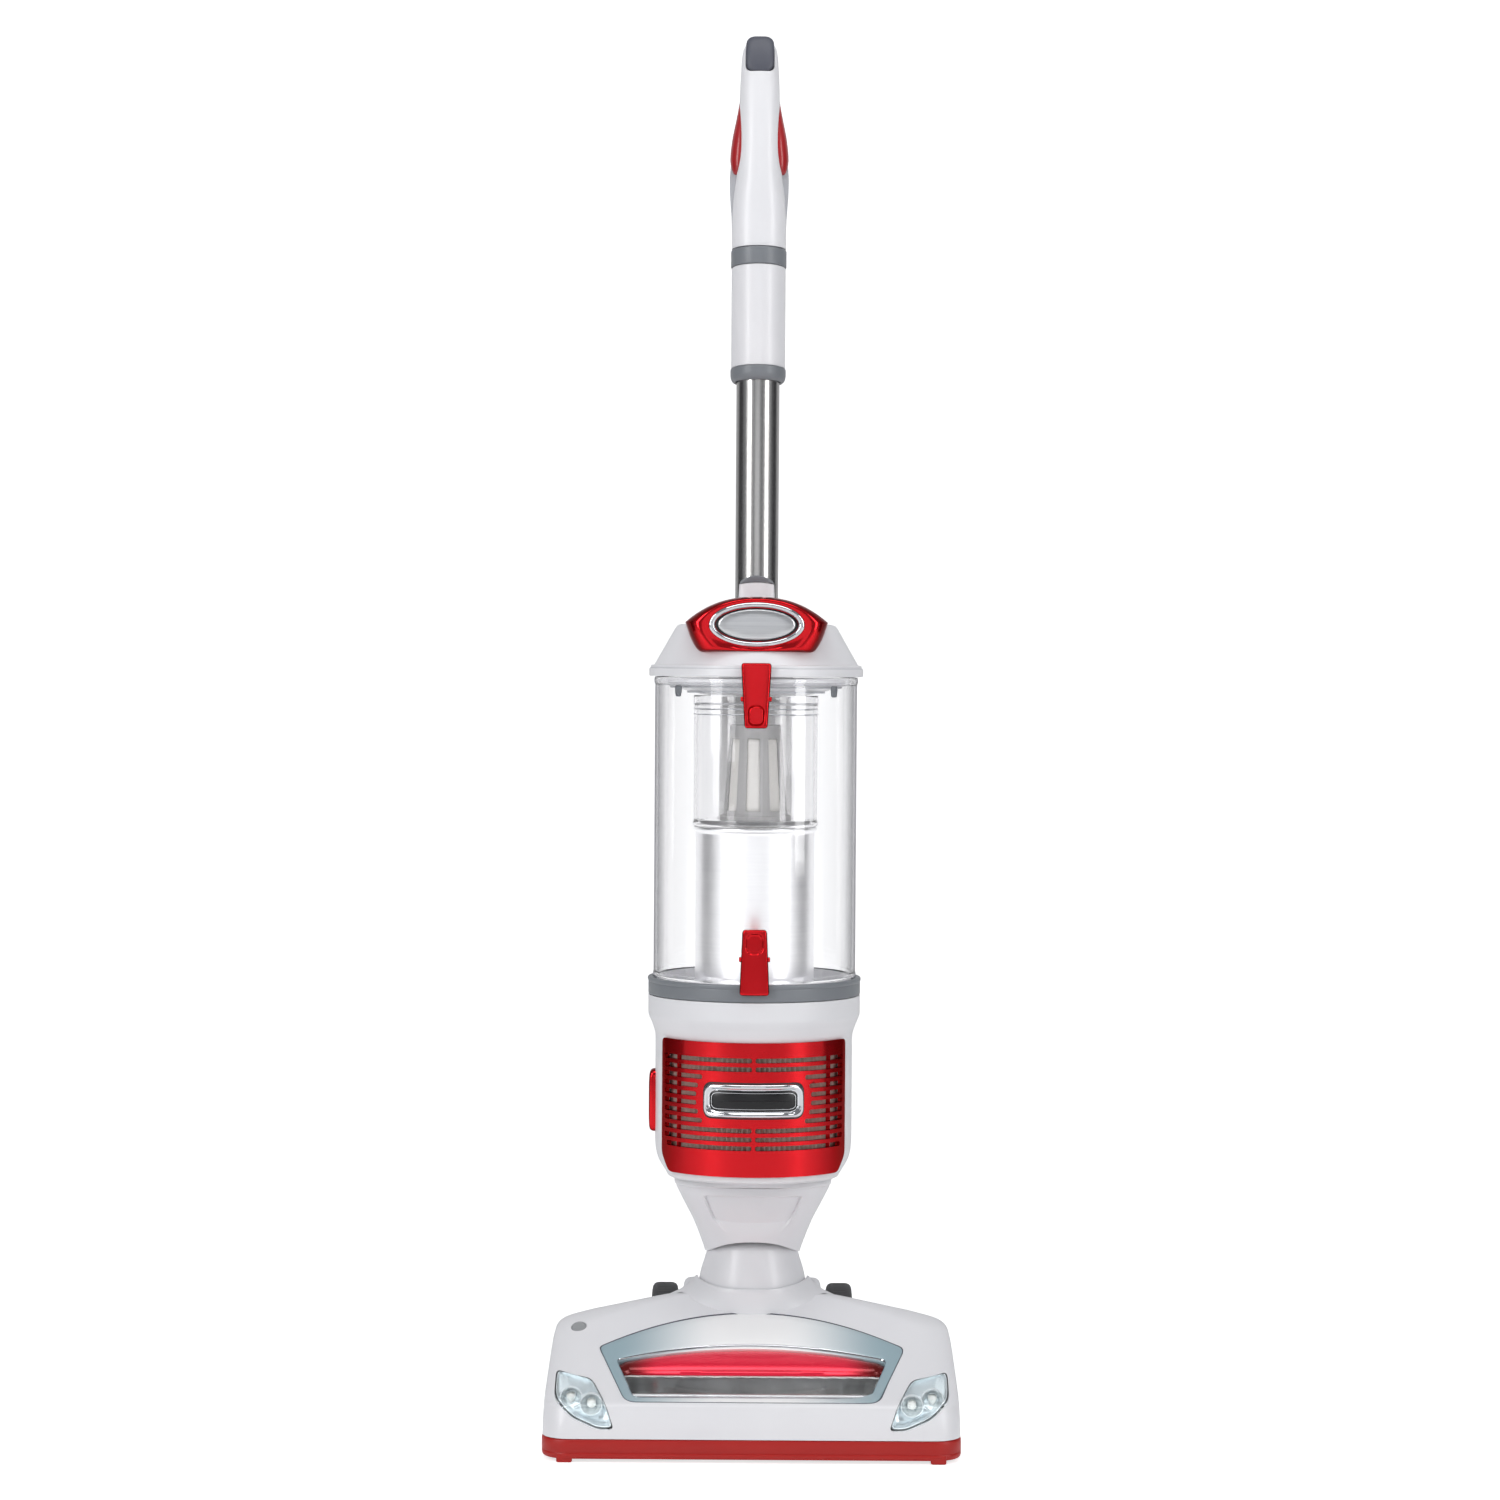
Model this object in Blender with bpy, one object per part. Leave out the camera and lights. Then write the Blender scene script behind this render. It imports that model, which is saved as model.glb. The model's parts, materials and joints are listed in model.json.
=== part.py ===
"""Upright vacuum cleaner with a lift-away canister, built as separate named pieces.

Metres, +Z up. The front faces -Y and +X is to the right of someone facing the machine.
The origin is the middle of the footprint, on the floor.
"""

import math

import bmesh
import bpy
from mathutils import Matrix, Vector

# ---- clearances and walls -------------------------------------------------
GAP = 0.0003
WALL = 0.003
THIN_WALL = 0.0025
OVERCUT = 0.02
SEGMENTS = 28
CORNER_STEPS = 5

# ---- floor nozzle ---------------------------------------------------------
NOZZLE_WIDTH = 0.330
NOZZLE_FRONT_Y = -0.150
COVER_BACK_Y = 0.005
BUMPER_BOTTOM = 0.003
BUMPER_TOP = 0.0185
BUMPER_DEPTH = 0.006
BUMPER_END_Y = -0.045
GLIDE_X = 0.1465
GLIDE_SIZE = 0.012
COVER_SLOPE = math.radians(25)
SLOPE_FOOT_Y = -0.1435
SLOPE_FOOT_Z = 0.045
COVER_SHOULDER_Z = 0.0870
COVER_TOP_Z = 0.1075
COVER_TOP_HALF = 0.060
SOLE_BOTTOM = 0.006
SOLE_TOP = 0.012

# ---- brush, brush motor and belt -----------------------------------------
BRUSH_Y = -0.110
BRUSH_Z = 0.026
BRUSH_CORE_R = 0.015
BRUSH_TIP_R = 0.022
BRUSH_HALF = 0.1296
MOUTH_HALF_DEPTH = 0.0265
CHAMBER_TOP = 0.043
BRISTLE_WIDTH = 0.003
BRISTLE_START_X = -0.104
BRISTLE_END_X = 0.124
BRISTLE_TURNS = 0.9
BRISTLE_STEPS = 20
BRUSH_MOTOR_Y = -0.045
BRUSH_MOTOR_R = 0.020
BRUSH_MOTOR_X = (-0.104, -0.030)
PULLEY_R = 0.007
BELT_X = (-0.119, -0.110)
BELT_THICK = 0.0015
BELT_CLEAR = 0.0005

# ---- window and bezel on the sloping cover face ---------------------------
BEZEL_FOOT_HALF = 0.099
BEZEL_SIDE_HALF = 0.122
BEZEL_FOOT = 0.003
BEZEL_SIDE = 0.075
BEZEL_PEAK = 0.122
OPENING_FOOT_HALF = 0.0925
OPENING_SIDE_HALF = 0.107
OPENING_FOOT = 0.0095
OPENING_SIDE = 0.0585
OPENING_PEAK = 0.077
WINDOW_SPLIT = 0.042
BEZEL_PROUD = 0.001
BEZEL_DEPTH = 0.004
ARCH_STEPS = 12

# ---- headlights and indicator --------------------------------------------
LIGHT_OUTER_X = 0.1550
LIGHT_INNER_TOP_X = 0.116
LIGHT_INNER_FOOT_X = 0.1067
LIGHT_TOP_Z = 0.0630
LIGHT_FOOT_Z = 0.0265
LIGHT_BACK_Y = -0.080
LENS_THICK = 0.0025
BOWL_GAP = 0.0004
BOWL_THICK = 0.002
INDICATOR_X = -0.1400
INDICATOR_Y = -0.0485
INDICATOR_R = 0.006
INDICATOR_Z = (0.0815, 0.0895)

# ---- rear wheels, pivot towers and neck -----------------------------------
WHEEL_R = 0.050
WHEEL_Y = 0.095
WHEEL_INNER_X = 0.0625
WHEEL_OUTER_X = 0.0845
AXLE_R = 0.004
TAIL_HALF = 0.0600
TAIL_TOP = BUMPER_TOP
TAIL_BACK_Y = 0.108
BRACKET_THICK = 0.008
PIVOT_Y = 0.035
PIVOT_Z = 0.085
TOWER_R = 0.026
TOWER_INNER_X = 0.0438
TOWER_OUTER_X = 0.0560
BARREL_R = 0.022
BARREL_HALF = 0.0430
NECK_Y = 0.012
BALL_R = 0.0432
BALL_BOTTOM = 0.112
BALL_TOP = 0.141
SEAL_TOP = 0.146
SEAL_R = 0.0385

# ---- upright: funnel, cradle, spine and wand socket -----------------------
FUNNEL_FOOT_R = 0.0398
FUNNEL_TOP = 0.2012
CRADLE_HALF = 0.0640
CRADLE_FRONT_Y = -0.050
CRADLE_TOP = 0.2082
SPINE_FRONT_Y = 0.089
SPINE_BACK_Y = 0.130
SPINE_HALF = 0.034
SOCKET_R = 0.0245
SOCKET_FOOT = 0.655
SOCKET_TOP = 0.6735
HOOK_BACK_Y = 0.150
UPPER_HOOK_Z = 0.575
LOWER_HOOK_Z = 0.300
HOOK_LENGTH = 0.040

# ---- wand and handle ------------------------------------------------------
WAND_Y = 0.101
TUBE_R = 0.0182
TUBE_WALL = 0.0015
TUBE_FOOT = 0.6483
TUBE_TOP = 0.9720
LOWER_RING = (0.8615, 0.873)
SLEEVE_R = 0.0228
RING_R = 0.0234
UPPER_RING = (0.9580, 0.9722)
HANDLE_TOP = 1.1515
HANDLE_LEAN = 0.028
HANDLE_HALF_DEPTH = (0.0190, 0.0130)
HANDLE_STEPS = 9
GRIP_FOOT = 1.038
GRIP_TOP = 1.1146
PAD_HALF = 0.012
PAD_FOOT = 1.125
PAD_TOP = 1.1565
PAD_TRAVEL = 0.0025
LATCH_BUTTON_HALF = 0.0165
LATCH_BUTTON_Z = (0.6610, 0.6990)
LATCH_BUTTON_Y = (0.0738, 0.0808)
LATCH_BUTTON_TRAVEL = 0.0015

# ---- canister -------------------------------------------------------------
HOUSING_R = 0.0806
COLLAR_R = 0.0867
HOUSING_FOOT = CRADLE_TOP + GAP
HOUSING_TOP = 0.3550
SHOULDER_Z = 0.313
FILTER_LEDGE_Z = 0.3165
FILTER_LEDGE_R = 0.070
COLLAR_TOP = 0.3694
CUP_R = 0.0826
CUP_TOP = 0.6145
COLUMN_R = 0.0487
COLUMN_TOP = 0.4885
CYCLONE_R = 0.0511
CYCLONE_TOP = 0.6000
CONE_FOOT_R = 0.0262
CONE_TOP_R = 0.0209
CONE_TOP = 0.5746
CONE_FLANGE_R = 0.029
CONE_WINDOWS = 6
LID_RIM_R = 0.0875
LID_RIM = (0.6148, 0.6240)
LID_SHOULDER_Z = 0.6537
LID_SHOULDER_R = 0.067
LID_TOP_Z = 0.6575
LID_TOP_R = 0.060

# ---- crown on the lid -----------------------------------------------------
CROWN_HALF = 0.0575
CROWN_FOOT_Z = 0.6338
CROWN_MIDDLE_Z = 0.6540
CROWN_TOP_Z = 0.6790
CROWN_FRONT_Y = -0.078
CROWN_BACK_Y = 0.050
BADGE_Z = 0.6565
OVAL_HALF_WIDTH = 0.0386
OVAL_HALF_HEIGHT = 0.0180
DISC_HALF_WIDTH = 0.0305
DISC_HALF_HEIGHT = 0.0128
OVAL_THICK = 0.003

# ---- grille, filter, badge and controls on the motor housing --------------
GRILLE_R = 0.0832
GRILLE_THICK = 0.004
GRILLE_ANGLE = math.radians(63)
GRILLE_Z = (0.2150, 0.3225)
GRILLE_CHAMFER = 0.014
SLOT_HEIGHT = 0.0032
SLOT_PITCH = 0.0070
HEPA_R = (0.0635, 0.0765)
HEPA_PLEATS = 22
PLATE_HALF = 0.0345
PLATE_HALF_HEIGHT = 0.0080
FRAME_HALF = 0.0410
FRAME_HALF_HEIGHT = 0.0135
FRAME_Z = 0.2762
FRAME_R = (GRILLE_R + GAP, GRILLE_R + 0.0030)
MOTOR_R = 0.052
MOTOR_TOP = 0.288
IMPELLER_R = 0.048
IMPELLER_THICK = 0.010
LIFT_BUTTON_Z = (0.2418, 0.2926)
LIFT_BUTTON_HALF = 0.010
LIFT_BUTTON_OUT = 0.0859
SWITCH_ANGLE = math.radians(125)
SWITCH_Z = 0.270
INLET_R = 0.0175
INLET_X = -0.0640
INLET_Y = (0.0661, 0.0860)
INLET_Z = 0.262
GLAND_ANGLE = math.radians(142)
GLAND_Z = 0.232
TOP_LATCH_Z = (0.5737, 0.6259)
LOW_LATCH_Z = (0.3592, 0.4100)
LATCH_WIDE = 0.0120
LATCH_NARROW = 0.0095
LATCH_THICK = 0.0050
LATCH_LUG_TIP_Y = -CUP_R - 0.0008

# ---- colours: red, green, blue, roughness, metallic, alpha ----------------
LOOKS = {
    "gloss_white": (0.88, 0.88, 0.90, 0.22, 0.0, 1.0),
    "candy_red": (0.60, 0.01, 0.05, 0.18, 0.65, 1.0),
    "flat_red": (0.55, 0.03, 0.02, 0.40, 0.0, 1.0),
    "slate_grey": (0.13, 0.14, 0.17, 0.50, 0.0, 1.0),
    "ring_grey": (0.24, 0.26, 0.28, 0.45, 0.0, 1.0),
    "pale_grey": (0.62, 0.63, 0.66, 0.40, 0.0, 1.0),
    "silver_blue": (0.62, 0.72, 0.76, 0.25, 0.6, 1.0),
    "chrome": (0.85, 0.86, 0.88, 0.08, 1.0, 1.0),
    "brushed_steel": (0.62, 0.62, 0.64, 0.30, 1.0, 1.0),
    "satin_silver": (0.80, 0.80, 0.82, 0.32, 0.8, 1.0),
    "clear": (0.90, 0.91, 0.95, 0.05, 0.0, 0.3),
    "dark_plastic": (0.04, 0.04, 0.045, 0.50, 0.0, 1.0),
    "rubber": (0.03, 0.03, 0.03, 0.80, 0.0, 1.0),
    "bristle": (0.08, 0.08, 0.09, 0.90, 0.0, 1.0),
    "pleat_paper": (0.52, 0.48, 0.42, 0.90, 0.0, 1.0),
    "foam_blue": (0.10, 0.20, 0.42, 0.95, 0.0, 1.0),
    "mesh_grey": (0.55, 0.55, 0.55, 0.60, 0.3, 1.0),
    "motor_metal": (0.30, 0.30, 0.32, 0.40, 0.9, 1.0),
}


# ---- general helpers ------------------------------------------------------
def clear_scene():
    """Empties the startup scene."""
    for thing in list(bpy.data.objects):
        bpy.data.objects.remove(thing, do_unlink=True)


def look(name):
    """The Principled material of one colour, made at its first use."""
    found = bpy.data.materials.get(name)
    if found:
        return found
    red, green, blue, roughness, metallic, alpha = LOOKS[name]
    made = bpy.data.materials.new(name)
    made.use_nodes = True
    shader = made.node_tree.nodes["Principled BSDF"]
    shader.inputs["Base Color"].default_value = (red, green, blue, 1.0)
    shader.inputs["Roughness"].default_value = roughness
    shader.inputs["Metallic"].default_value = metallic
    shader.inputs["Alpha"].default_value = alpha
    made.diffuse_color = (red, green, blue, alpha)
    return made


def finish(mesh_data, name, colour=None, smooth=True):
    """Turns a bmesh into an object of the scene; one with no colour is a cutter."""
    bmesh.ops.recalc_face_normals(mesh_data, faces=mesh_data.faces[:])
    mesh = bpy.data.meshes.new(name)
    mesh_data.to_mesh(mesh)
    mesh_data.free()
    made = bpy.data.objects.new(name, mesh)
    bpy.context.scene.collection.objects.link(made)
    if colour is None:
        made.hide_render = True
        made.display_type = "WIRE"
        return made
    mesh.materials.append(look(colour))
    if smooth:
        mesh.shade_smooth()
        mesh.set_sharp_from_angle(angle=math.radians(35))
    return made


def skin(rings, name, colour=None, looped=False):
    """A closed body whose wall joins each ring of points to the next.

    The end rings are capped, or joined to each other when looped.
    """
    shape = bmesh.new()
    loops = [[shape.verts.new(point) for point in ring] for ring in rings]
    pairs = list(zip(loops[:-1], loops[1:]))
    if looped:
        pairs.append((loops[-1], loops[0]))
    else:
        shape.faces.new(loops[0])
        shape.faces.new(loops[-1])
    count = len(loops[0])
    for low, high in pairs:
        for place in range(count):
            after = (place + 1) % count
            shape.faces.new((low[place], low[after], high[after], high[place]))
    return finish(shape, name, colour)


def revolve(profile, name, colour=None, centre=(0.0, 0.0), segments=SEGMENTS):
    """A closed body of revolution about a vertical axis through the centre.

    The profile is a closed loop of (radius, height), or starts and ends on the axis.
    """
    shape = bmesh.new()
    points = [shape.verts.new((centre[0] + r, centre[1], z)) for r, z in profile]
    on_axis = profile[0][0] == 0 and profile[-1][0] == 0
    edges = [shape.edges.new(pair) for pair in zip(points[:-1], points[1:])]
    if not on_axis:
        edges.append(shape.edges.new((points[-1], points[0])))
    bmesh.ops.spin(
        shape,
        geom=points + edges,
        cent=(centre[0], centre[1], 0),
        axis=(0, 0, 1),
        angle=math.tau,
        steps=segments,
        use_merge=True,
        use_duplicate=False,
    )
    bmesh.ops.remove_doubles(shape, verts=shape.verts[:], dist=1e-6)
    return finish(shape, name, colour)


def tube_profile(inner, outer, low, high):
    """The section of a plain ring."""
    return [(outer, low), (outer, high), (inner, high), (inner, low)]


def disc_profile(radius, low, high, edge=0.0):
    """The section of a solid disc, with a chamfered edge where one is asked for."""
    if not edge:
        return [(0, low), (radius, low), (radius, high), (0, high)]
    return [
        (0, low),
        (radius - edge, low),
        (radius, low + edge),
        (radius, high - edge),
        (radius - edge, high),
        (0, high),
    ]


def turn_to_x(thing, place_x, place_y, place_z):
    """Lays a body that stands about the Z axis along +X, from the given place."""
    turn = Matrix.Translation((place_x, place_y, place_z)) @ Matrix.Rotation(math.pi / 2, 4, "Y")
    thing.data.transform(turn)
    return thing


def turn_about_axis(thing, angle):
    """Turns a body about the canister's own upright axis."""
    thing.data.transform(Matrix.Rotation(angle, 4, "Z"))
    return thing


def block(low, high, name, colour=None, edge=0.0):
    """A box between two corners, with bevelled edges where asked for."""
    shape = bmesh.new()
    bmesh.ops.create_cube(shape, size=1.0)
    size = [b - a for a, b in zip(low, high)]
    middle = [(a + b) / 2 for a, b in zip(low, high)]
    bmesh.ops.scale(shape, vec=size, verts=shape.verts[:])
    bmesh.ops.translate(shape, vec=middle, verts=shape.verts[:])
    if edge:
        bmesh.ops.bevel(shape, geom=shape.edges[:], offset=edge, segments=2, affect="EDGES", profile=0.5)
    return finish(shape, name, colour)


def rod(radius, start_x, end_x, y, z, name, colour=None, segments=SEGMENTS, edge=0.0):
    """A solid rod along X."""
    made = revolve(disc_profile(radius, 0, end_x - start_x, edge), name, colour, segments=segments)
    return turn_to_x(made, start_x, y, z)


def boolean(target, others, operation):
    """Applies one boolean of each helper to the target, then drops the helpers."""
    for other in others:
        step = target.modifiers.new(operation.lower(), "BOOLEAN")
        step.operation = operation
        step.solver = "EXACT"
        step.object = other
        graph = bpy.context.evaluated_depsgraph_get()
        mesh = bpy.data.meshes.new_from_object(target.evaluated_get(graph))
        target.modifiers.remove(step)
        old = target.data
        target.data = mesh
        mesh.name = target.name
        bpy.data.meshes.remove(old)
        bpy.data.objects.remove(other, do_unlink=True)
    return target


def cut(target, *others):
    """Takes the helpers away from the target."""
    return boolean(target, others, "DIFFERENCE")


def fuse(target, *others):
    """Makes the helpers one body with the target."""
    return boolean(target, others, "UNION")


def keep_inside(target, *others):
    """Keeps only what lies inside the helpers."""
    return boolean(target, others, "INTERSECT")


def gather(pieces, name):
    """Joins separate cutters that don't touch into one mesh."""
    shape = bmesh.new()
    for piece in pieces:
        shape.from_mesh(piece.data)
        bpy.data.objects.remove(piece, do_unlink=True)
    return finish(shape, name)


def set_origin(thing, place):
    """Moves a body's origin onto its joint, leaving its shape where it is."""
    thing.data.transform(Matrix.Translation(-Vector(place)))
    thing.location = place
    return thing


def plan_ring(half_front, half_back, front_y, back_y, radius, z):
    """A rounded plan outline at one height, anticlockwise from the right front corner."""
    corners = (
        (half_front, front_y, -math.pi / 2, -1, 1),
        (half_back, back_y, 0.0, -1, -1),
        (-half_back, back_y, math.pi / 2, 1, -1),
        (-half_front, front_y, math.pi, 1, 1),
    )
    ring = []
    for x, y, start, inward_x, inward_y in corners:
        centre_x = x + inward_x * radius
        centre_y = y + inward_y * radius
        for step in range(CORNER_STEPS + 1):
            angle = start + math.pi / 2 * step / CORNER_STEPS
            ring.append((centre_x + radius * math.cos(angle), centre_y + radius * math.sin(angle), z))
    return ring


def oval_ring(half_width, half_height, y, z, count=SEGMENTS):
    """An upright oval that faces forward."""
    angles = [math.tau * step / count for step in range(count)]
    return [(half_width * math.cos(a), y, z + half_height * math.sin(a)) for a in angles]


# ---- floor nozzle ---------------------------------------------------------
def slope_y(z):
    """Where the sloping front face stands at a height."""
    return SLOPE_FOOT_Y + (z - SLOPE_FOOT_Z) / math.tan(COVER_SLOPE)


def cover_rings(inset):
    """The cover's outlines from the bottom edge to the crest, drawn in by an inset."""
    half = NOZZLE_WIDTH / 2
    levels = (
        (BUMPER_TOP + GAP, half - 0.0005, NOZZLE_FRONT_Y + 0.0005, 0.022),
        (SLOPE_FOOT_Z, half - 0.0015, SLOPE_FOOT_Y, 0.024),
        (0.060, half - 0.0022, slope_y(0.060), 0.026),
        (0.075, half - 0.0038, slope_y(0.075), 0.025),
        (COVER_SHOULDER_Z, half - 0.0065, slope_y(COVER_SHOULDER_Z), 0.022),
        (0.0915, half - 0.0180, slope_y(0.0915), 0.020),
        (0.0958, half - 0.0385, slope_y(0.0958), 0.016),
        (0.1015, half - 0.0650, slope_y(0.1015), 0.012),
        (COVER_TOP_Z, COVER_TOP_HALF, slope_y(COVER_TOP_Z), 0.006),
    )
    rings = []
    for z, half_width, front_y, radius in levels:
        drop = inset if z > SLOPE_FOOT_Z else 0.0
        rings.append(
            plan_ring(
                half_width - inset,
                half_width - inset,
                front_y + inset,
                COVER_BACK_Y - inset,
                max(radius - inset, 0.002),
                z - drop,
            )
        )
    return rings


def cover_shell(inset, wall, name, colour=None):
    """A hollow cover, open underneath, whose outside is drawn in by an inset."""
    outside = cover_rings(inset)
    inside = cover_rings(inset + wall)
    return skin(outside[::-1] + inside, name, colour)


def on_slope(outline, depth, height):
    """A flat outline (across, up the slope) as two rings below and above the sloping face."""
    along = Vector((0, math.cos(COVER_SLOPE), math.sin(COVER_SLOPE)))
    out = Vector((0, -math.sin(COVER_SLOPE), math.cos(COVER_SLOPE)))
    foot = Vector((0, SLOPE_FOOT_Y, SLOPE_FOOT_Z))
    rings = []
    for level in (-depth, height):
        rings.append([foot + Vector((x, 0, 0)) + along * up + out * level for x, up in outline])
    return rings


def arch(foot_half, side_half, foot, side, peak, grow=0.0):
    """A trapezoid with an arched top, anticlockwise from its lower left corner."""
    outline = [(-foot_half - grow, foot - grow), (foot_half + grow, foot - grow)]
    for step in range(ARCH_STEPS + 1):
        share = 1 - 2 * step / ARCH_STEPS
        outline.append(((side_half + grow) * share, peak + grow - (peak - side) * share * share))
    return outline


def bezel_outline(grow=0.0):
    return arch(BEZEL_FOOT_HALF, BEZEL_SIDE_HALF, BEZEL_FOOT, BEZEL_SIDE, BEZEL_PEAK, grow)


def opening_outline(grow=0.0):
    return arch(OPENING_FOOT_HALF, OPENING_SIDE_HALF, OPENING_FOOT, OPENING_SIDE, OPENING_PEAK, grow)


def opening_half(up):
    """Half the opening's width at a distance up the slope."""
    share = (up - OPENING_FOOT) / (OPENING_SIDE - OPENING_FOOT)
    return OPENING_FOOT_HALF + share * (OPENING_SIDE_HALF - OPENING_FOOT_HALF)


def light_prism(side, grow, name):
    """A prism through the front corner of the cover, the shape of one headlight."""
    low = LIGHT_FOOT_Z - grow
    high = LIGHT_TOP_Z + grow
    outline = (
        (LIGHT_OUTER_X + grow, high),
        (LIGHT_INNER_TOP_X - grow, high - 0.0015),
        (LIGHT_INNER_FOOT_X - grow, low),
        (LIGHT_OUTER_X - 0.020, low),
        (LIGHT_OUTER_X + grow, low + 0.014),
    )
    rings = [[(side * x, y, z) for x, z in outline] for y in (NOZZLE_FRONT_Y - OVERCUT, LIGHT_BACK_Y)]
    return skin(rings, name)


def make_cover():
    cover = cover_shell(0.0, WALL, "nozzle_cover", "gloss_white")
    cut(
        cover,
        skin(on_slope(bezel_outline(GAP), OVERCUT, OVERCUT), "bezel_hole"),
        light_prism(1, 0.0, "right_light_hole"),
        light_prism(-1, 0.0, "left_light_hole"),
        revolve(disc_profile(INDICATOR_R + GAP, 0.07, 0.11), "indicator_hole", None, (INDICATOR_X, INDICATOR_Y), 16),
    )
    revolve(disc_profile(INDICATOR_R, *INDICATOR_Z, 0.001), "brush_indicator", "slate_grey",
            (INDICATOR_X, INDICATOR_Y), 16)


def make_bezel_and_window():
    outer = on_slope(bezel_outline(), BEZEL_DEPTH, BEZEL_PROUD)
    bezel = skin(outer, "window_bezel", "silver_blue")
    cut(bezel, skin(on_slope(opening_outline(), OVERCUT, OVERCUT), "opening"))
    low = OPENING_FOOT + GAP
    window = [
        (-opening_half(low) + GAP, low),
        (opening_half(low) - GAP, low),
        (opening_half(WINDOW_SPLIT) - GAP, WINDOW_SPLIT),
        (-opening_half(WINDOW_SPLIT) + GAP, WINDOW_SPLIT),
    ]
    skin(on_slope(window, BEZEL_DEPTH - 0.0005, -0.001), "brush_window", "clear")
    split = WINDOW_SPLIT + GAP
    half = opening_half(split) - GAP
    band = arch(half, OPENING_SIDE_HALF - GAP, split, OPENING_SIDE - GAP, OPENING_PEAK - GAP)
    skin(on_slope(band, BEZEL_DEPTH - 0.0005, -0.0005), "window_red_band", "candy_red")


def make_headlights():
    for side, word in ((-1, "left"), (1, "right")):
        lens = cover_shell(0.0, LENS_THICK, f"{word}_headlight_lens", "clear")
        keep_inside(lens, light_prism(side, -GAP, "lens_prism"))
        bowl = cover_shell(LENS_THICK + BOWL_GAP, BOWL_THICK, f"{word}_headlight_bowl", "chrome")
        keep_inside(bowl, light_prism(side, -2 * GAP, "bowl_prism"))


def make_bumper():
    half = NOZZLE_WIDTH / 2
    back = COVER_BACK_Y - GAP

    def outline(inset, z):
        return plan_ring(half - inset, half - inset, NOZZLE_FRONT_Y + inset, back, 0.022 - inset, z)

    rings = [
        outline(0.001, BUMPER_BOTTOM),
        outline(0.0, BUMPER_BOTTOM + 0.002),
        outline(0.0, BUMPER_TOP),
        outline(BUMPER_DEPTH, BUMPER_TOP),
        outline(BUMPER_DEPTH, BUMPER_BOTTOM),
    ]
    bumper = skin(rings, "front_bumper", "flat_red", looped=True)
    cut(bumper, block((-half - 0.01, BUMPER_END_Y, -0.01), (half + 0.01, 0.05, 0.05), "bumper_end"))
    for side in (-1, 1):
        middle = side * GLIDE_X
        glide = block(
            (middle - GLIDE_SIZE / 2, NOZZLE_FRONT_Y + 0.0012, 0.0),
            (middle + GLIDE_SIZE / 2, NOZZLE_FRONT_Y + 0.0052, BUMPER_BOTTOM + 0.004),
            "glide",
            None,
            0.0008,
        )
        fuse(bumper, glide)


def make_sole():
    inset = BUMPER_DEPTH + GAP
    half = NOZZLE_WIDTH / 2 - inset
    front = NOZZLE_FRONT_Y + inset
    rings = [plan_ring(half, half, front, COVER_BACK_Y - WALL - GAP, 0.022 - inset, z) for z in (SOLE_BOTTOM, SOLE_TOP)]
    sole = skin(rings, "nozzle_sole", "dark_plastic")
    mouth = block(
        (-BRUSH_HALF - 0.0004, BRUSH_Y - MOUTH_HALF_DEPTH, SOLE_BOTTOM - 0.01),
        (BRUSH_HALF + 0.0004, BRUSH_Y + MOUTH_HALF_DEPTH, SOLE_TOP + 0.01),
        "mouth",
    )
    cut(sole, mouth)
    wall_back = BRUSH_Y + MOUTH_HALF_DEPTH
    low = SOLE_BOTTOM + 0.002
    wall_low = BRUSH_HALF + 0.0004
    walls = [
        block((-0.104, wall_back, low), (wall_low + 0.004, wall_back + 0.003, CHAMBER_TOP), "rear_wall"),
        block((wall_low, BRUSH_Y - 0.018, low), (wall_low + 0.004, wall_back + 0.001, CHAMBER_TOP), "right_wall"),
        block((-wall_low - 0.004, BRUSH_Y - 0.018, low), (-wall_low, wall_back, CHAMBER_TOP), "left_wall"),
        block((-TAIL_HALF, BRUSH_MOTOR_Y + BRUSH_MOTOR_R + 0.003, SOLE_BOTTOM + 0.0005), (TAIL_HALF, TAIL_BACK_Y, TAIL_TOP - 0.0005), "tail"),
    ]
    fuse(sole, *walls)
    for side in (-1, 1):
        tower_low = min(side * TOWER_INNER_X, side * TOWER_OUTER_X)
        tower_high = max(side * TOWER_INNER_X, side * TOWER_OUTER_X)
        tower = rod(TOWER_R, tower_low, tower_high, PIVOT_Y, PIVOT_Z, "tower", None, 28, 0.0015)
        leg = block((tower_low + 0.001, PIVOT_Y - 0.022, TAIL_TOP - 0.004), (tower_high - 0.001, PIVOT_Y + 0.022, PIVOT_Z - 0.004), "leg")
        bracket_low = min(side * (TAIL_HALF - BRACKET_THICK), side * TAIL_HALF)
        bracket = block(
            (bracket_low, WHEEL_Y - 0.012, TAIL_TOP - 0.004),
            (bracket_low + BRACKET_THICK, WHEEL_Y + 0.012, WHEEL_R + 0.012),
            "bracket",
        )
        fuse(sole, tower, leg, bracket)
    cut(
        sole,
        rod(AXLE_R + GAP, -0.1, 0.1, WHEEL_Y, WHEEL_R, "axle_bore", None, 20),
    )


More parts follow.
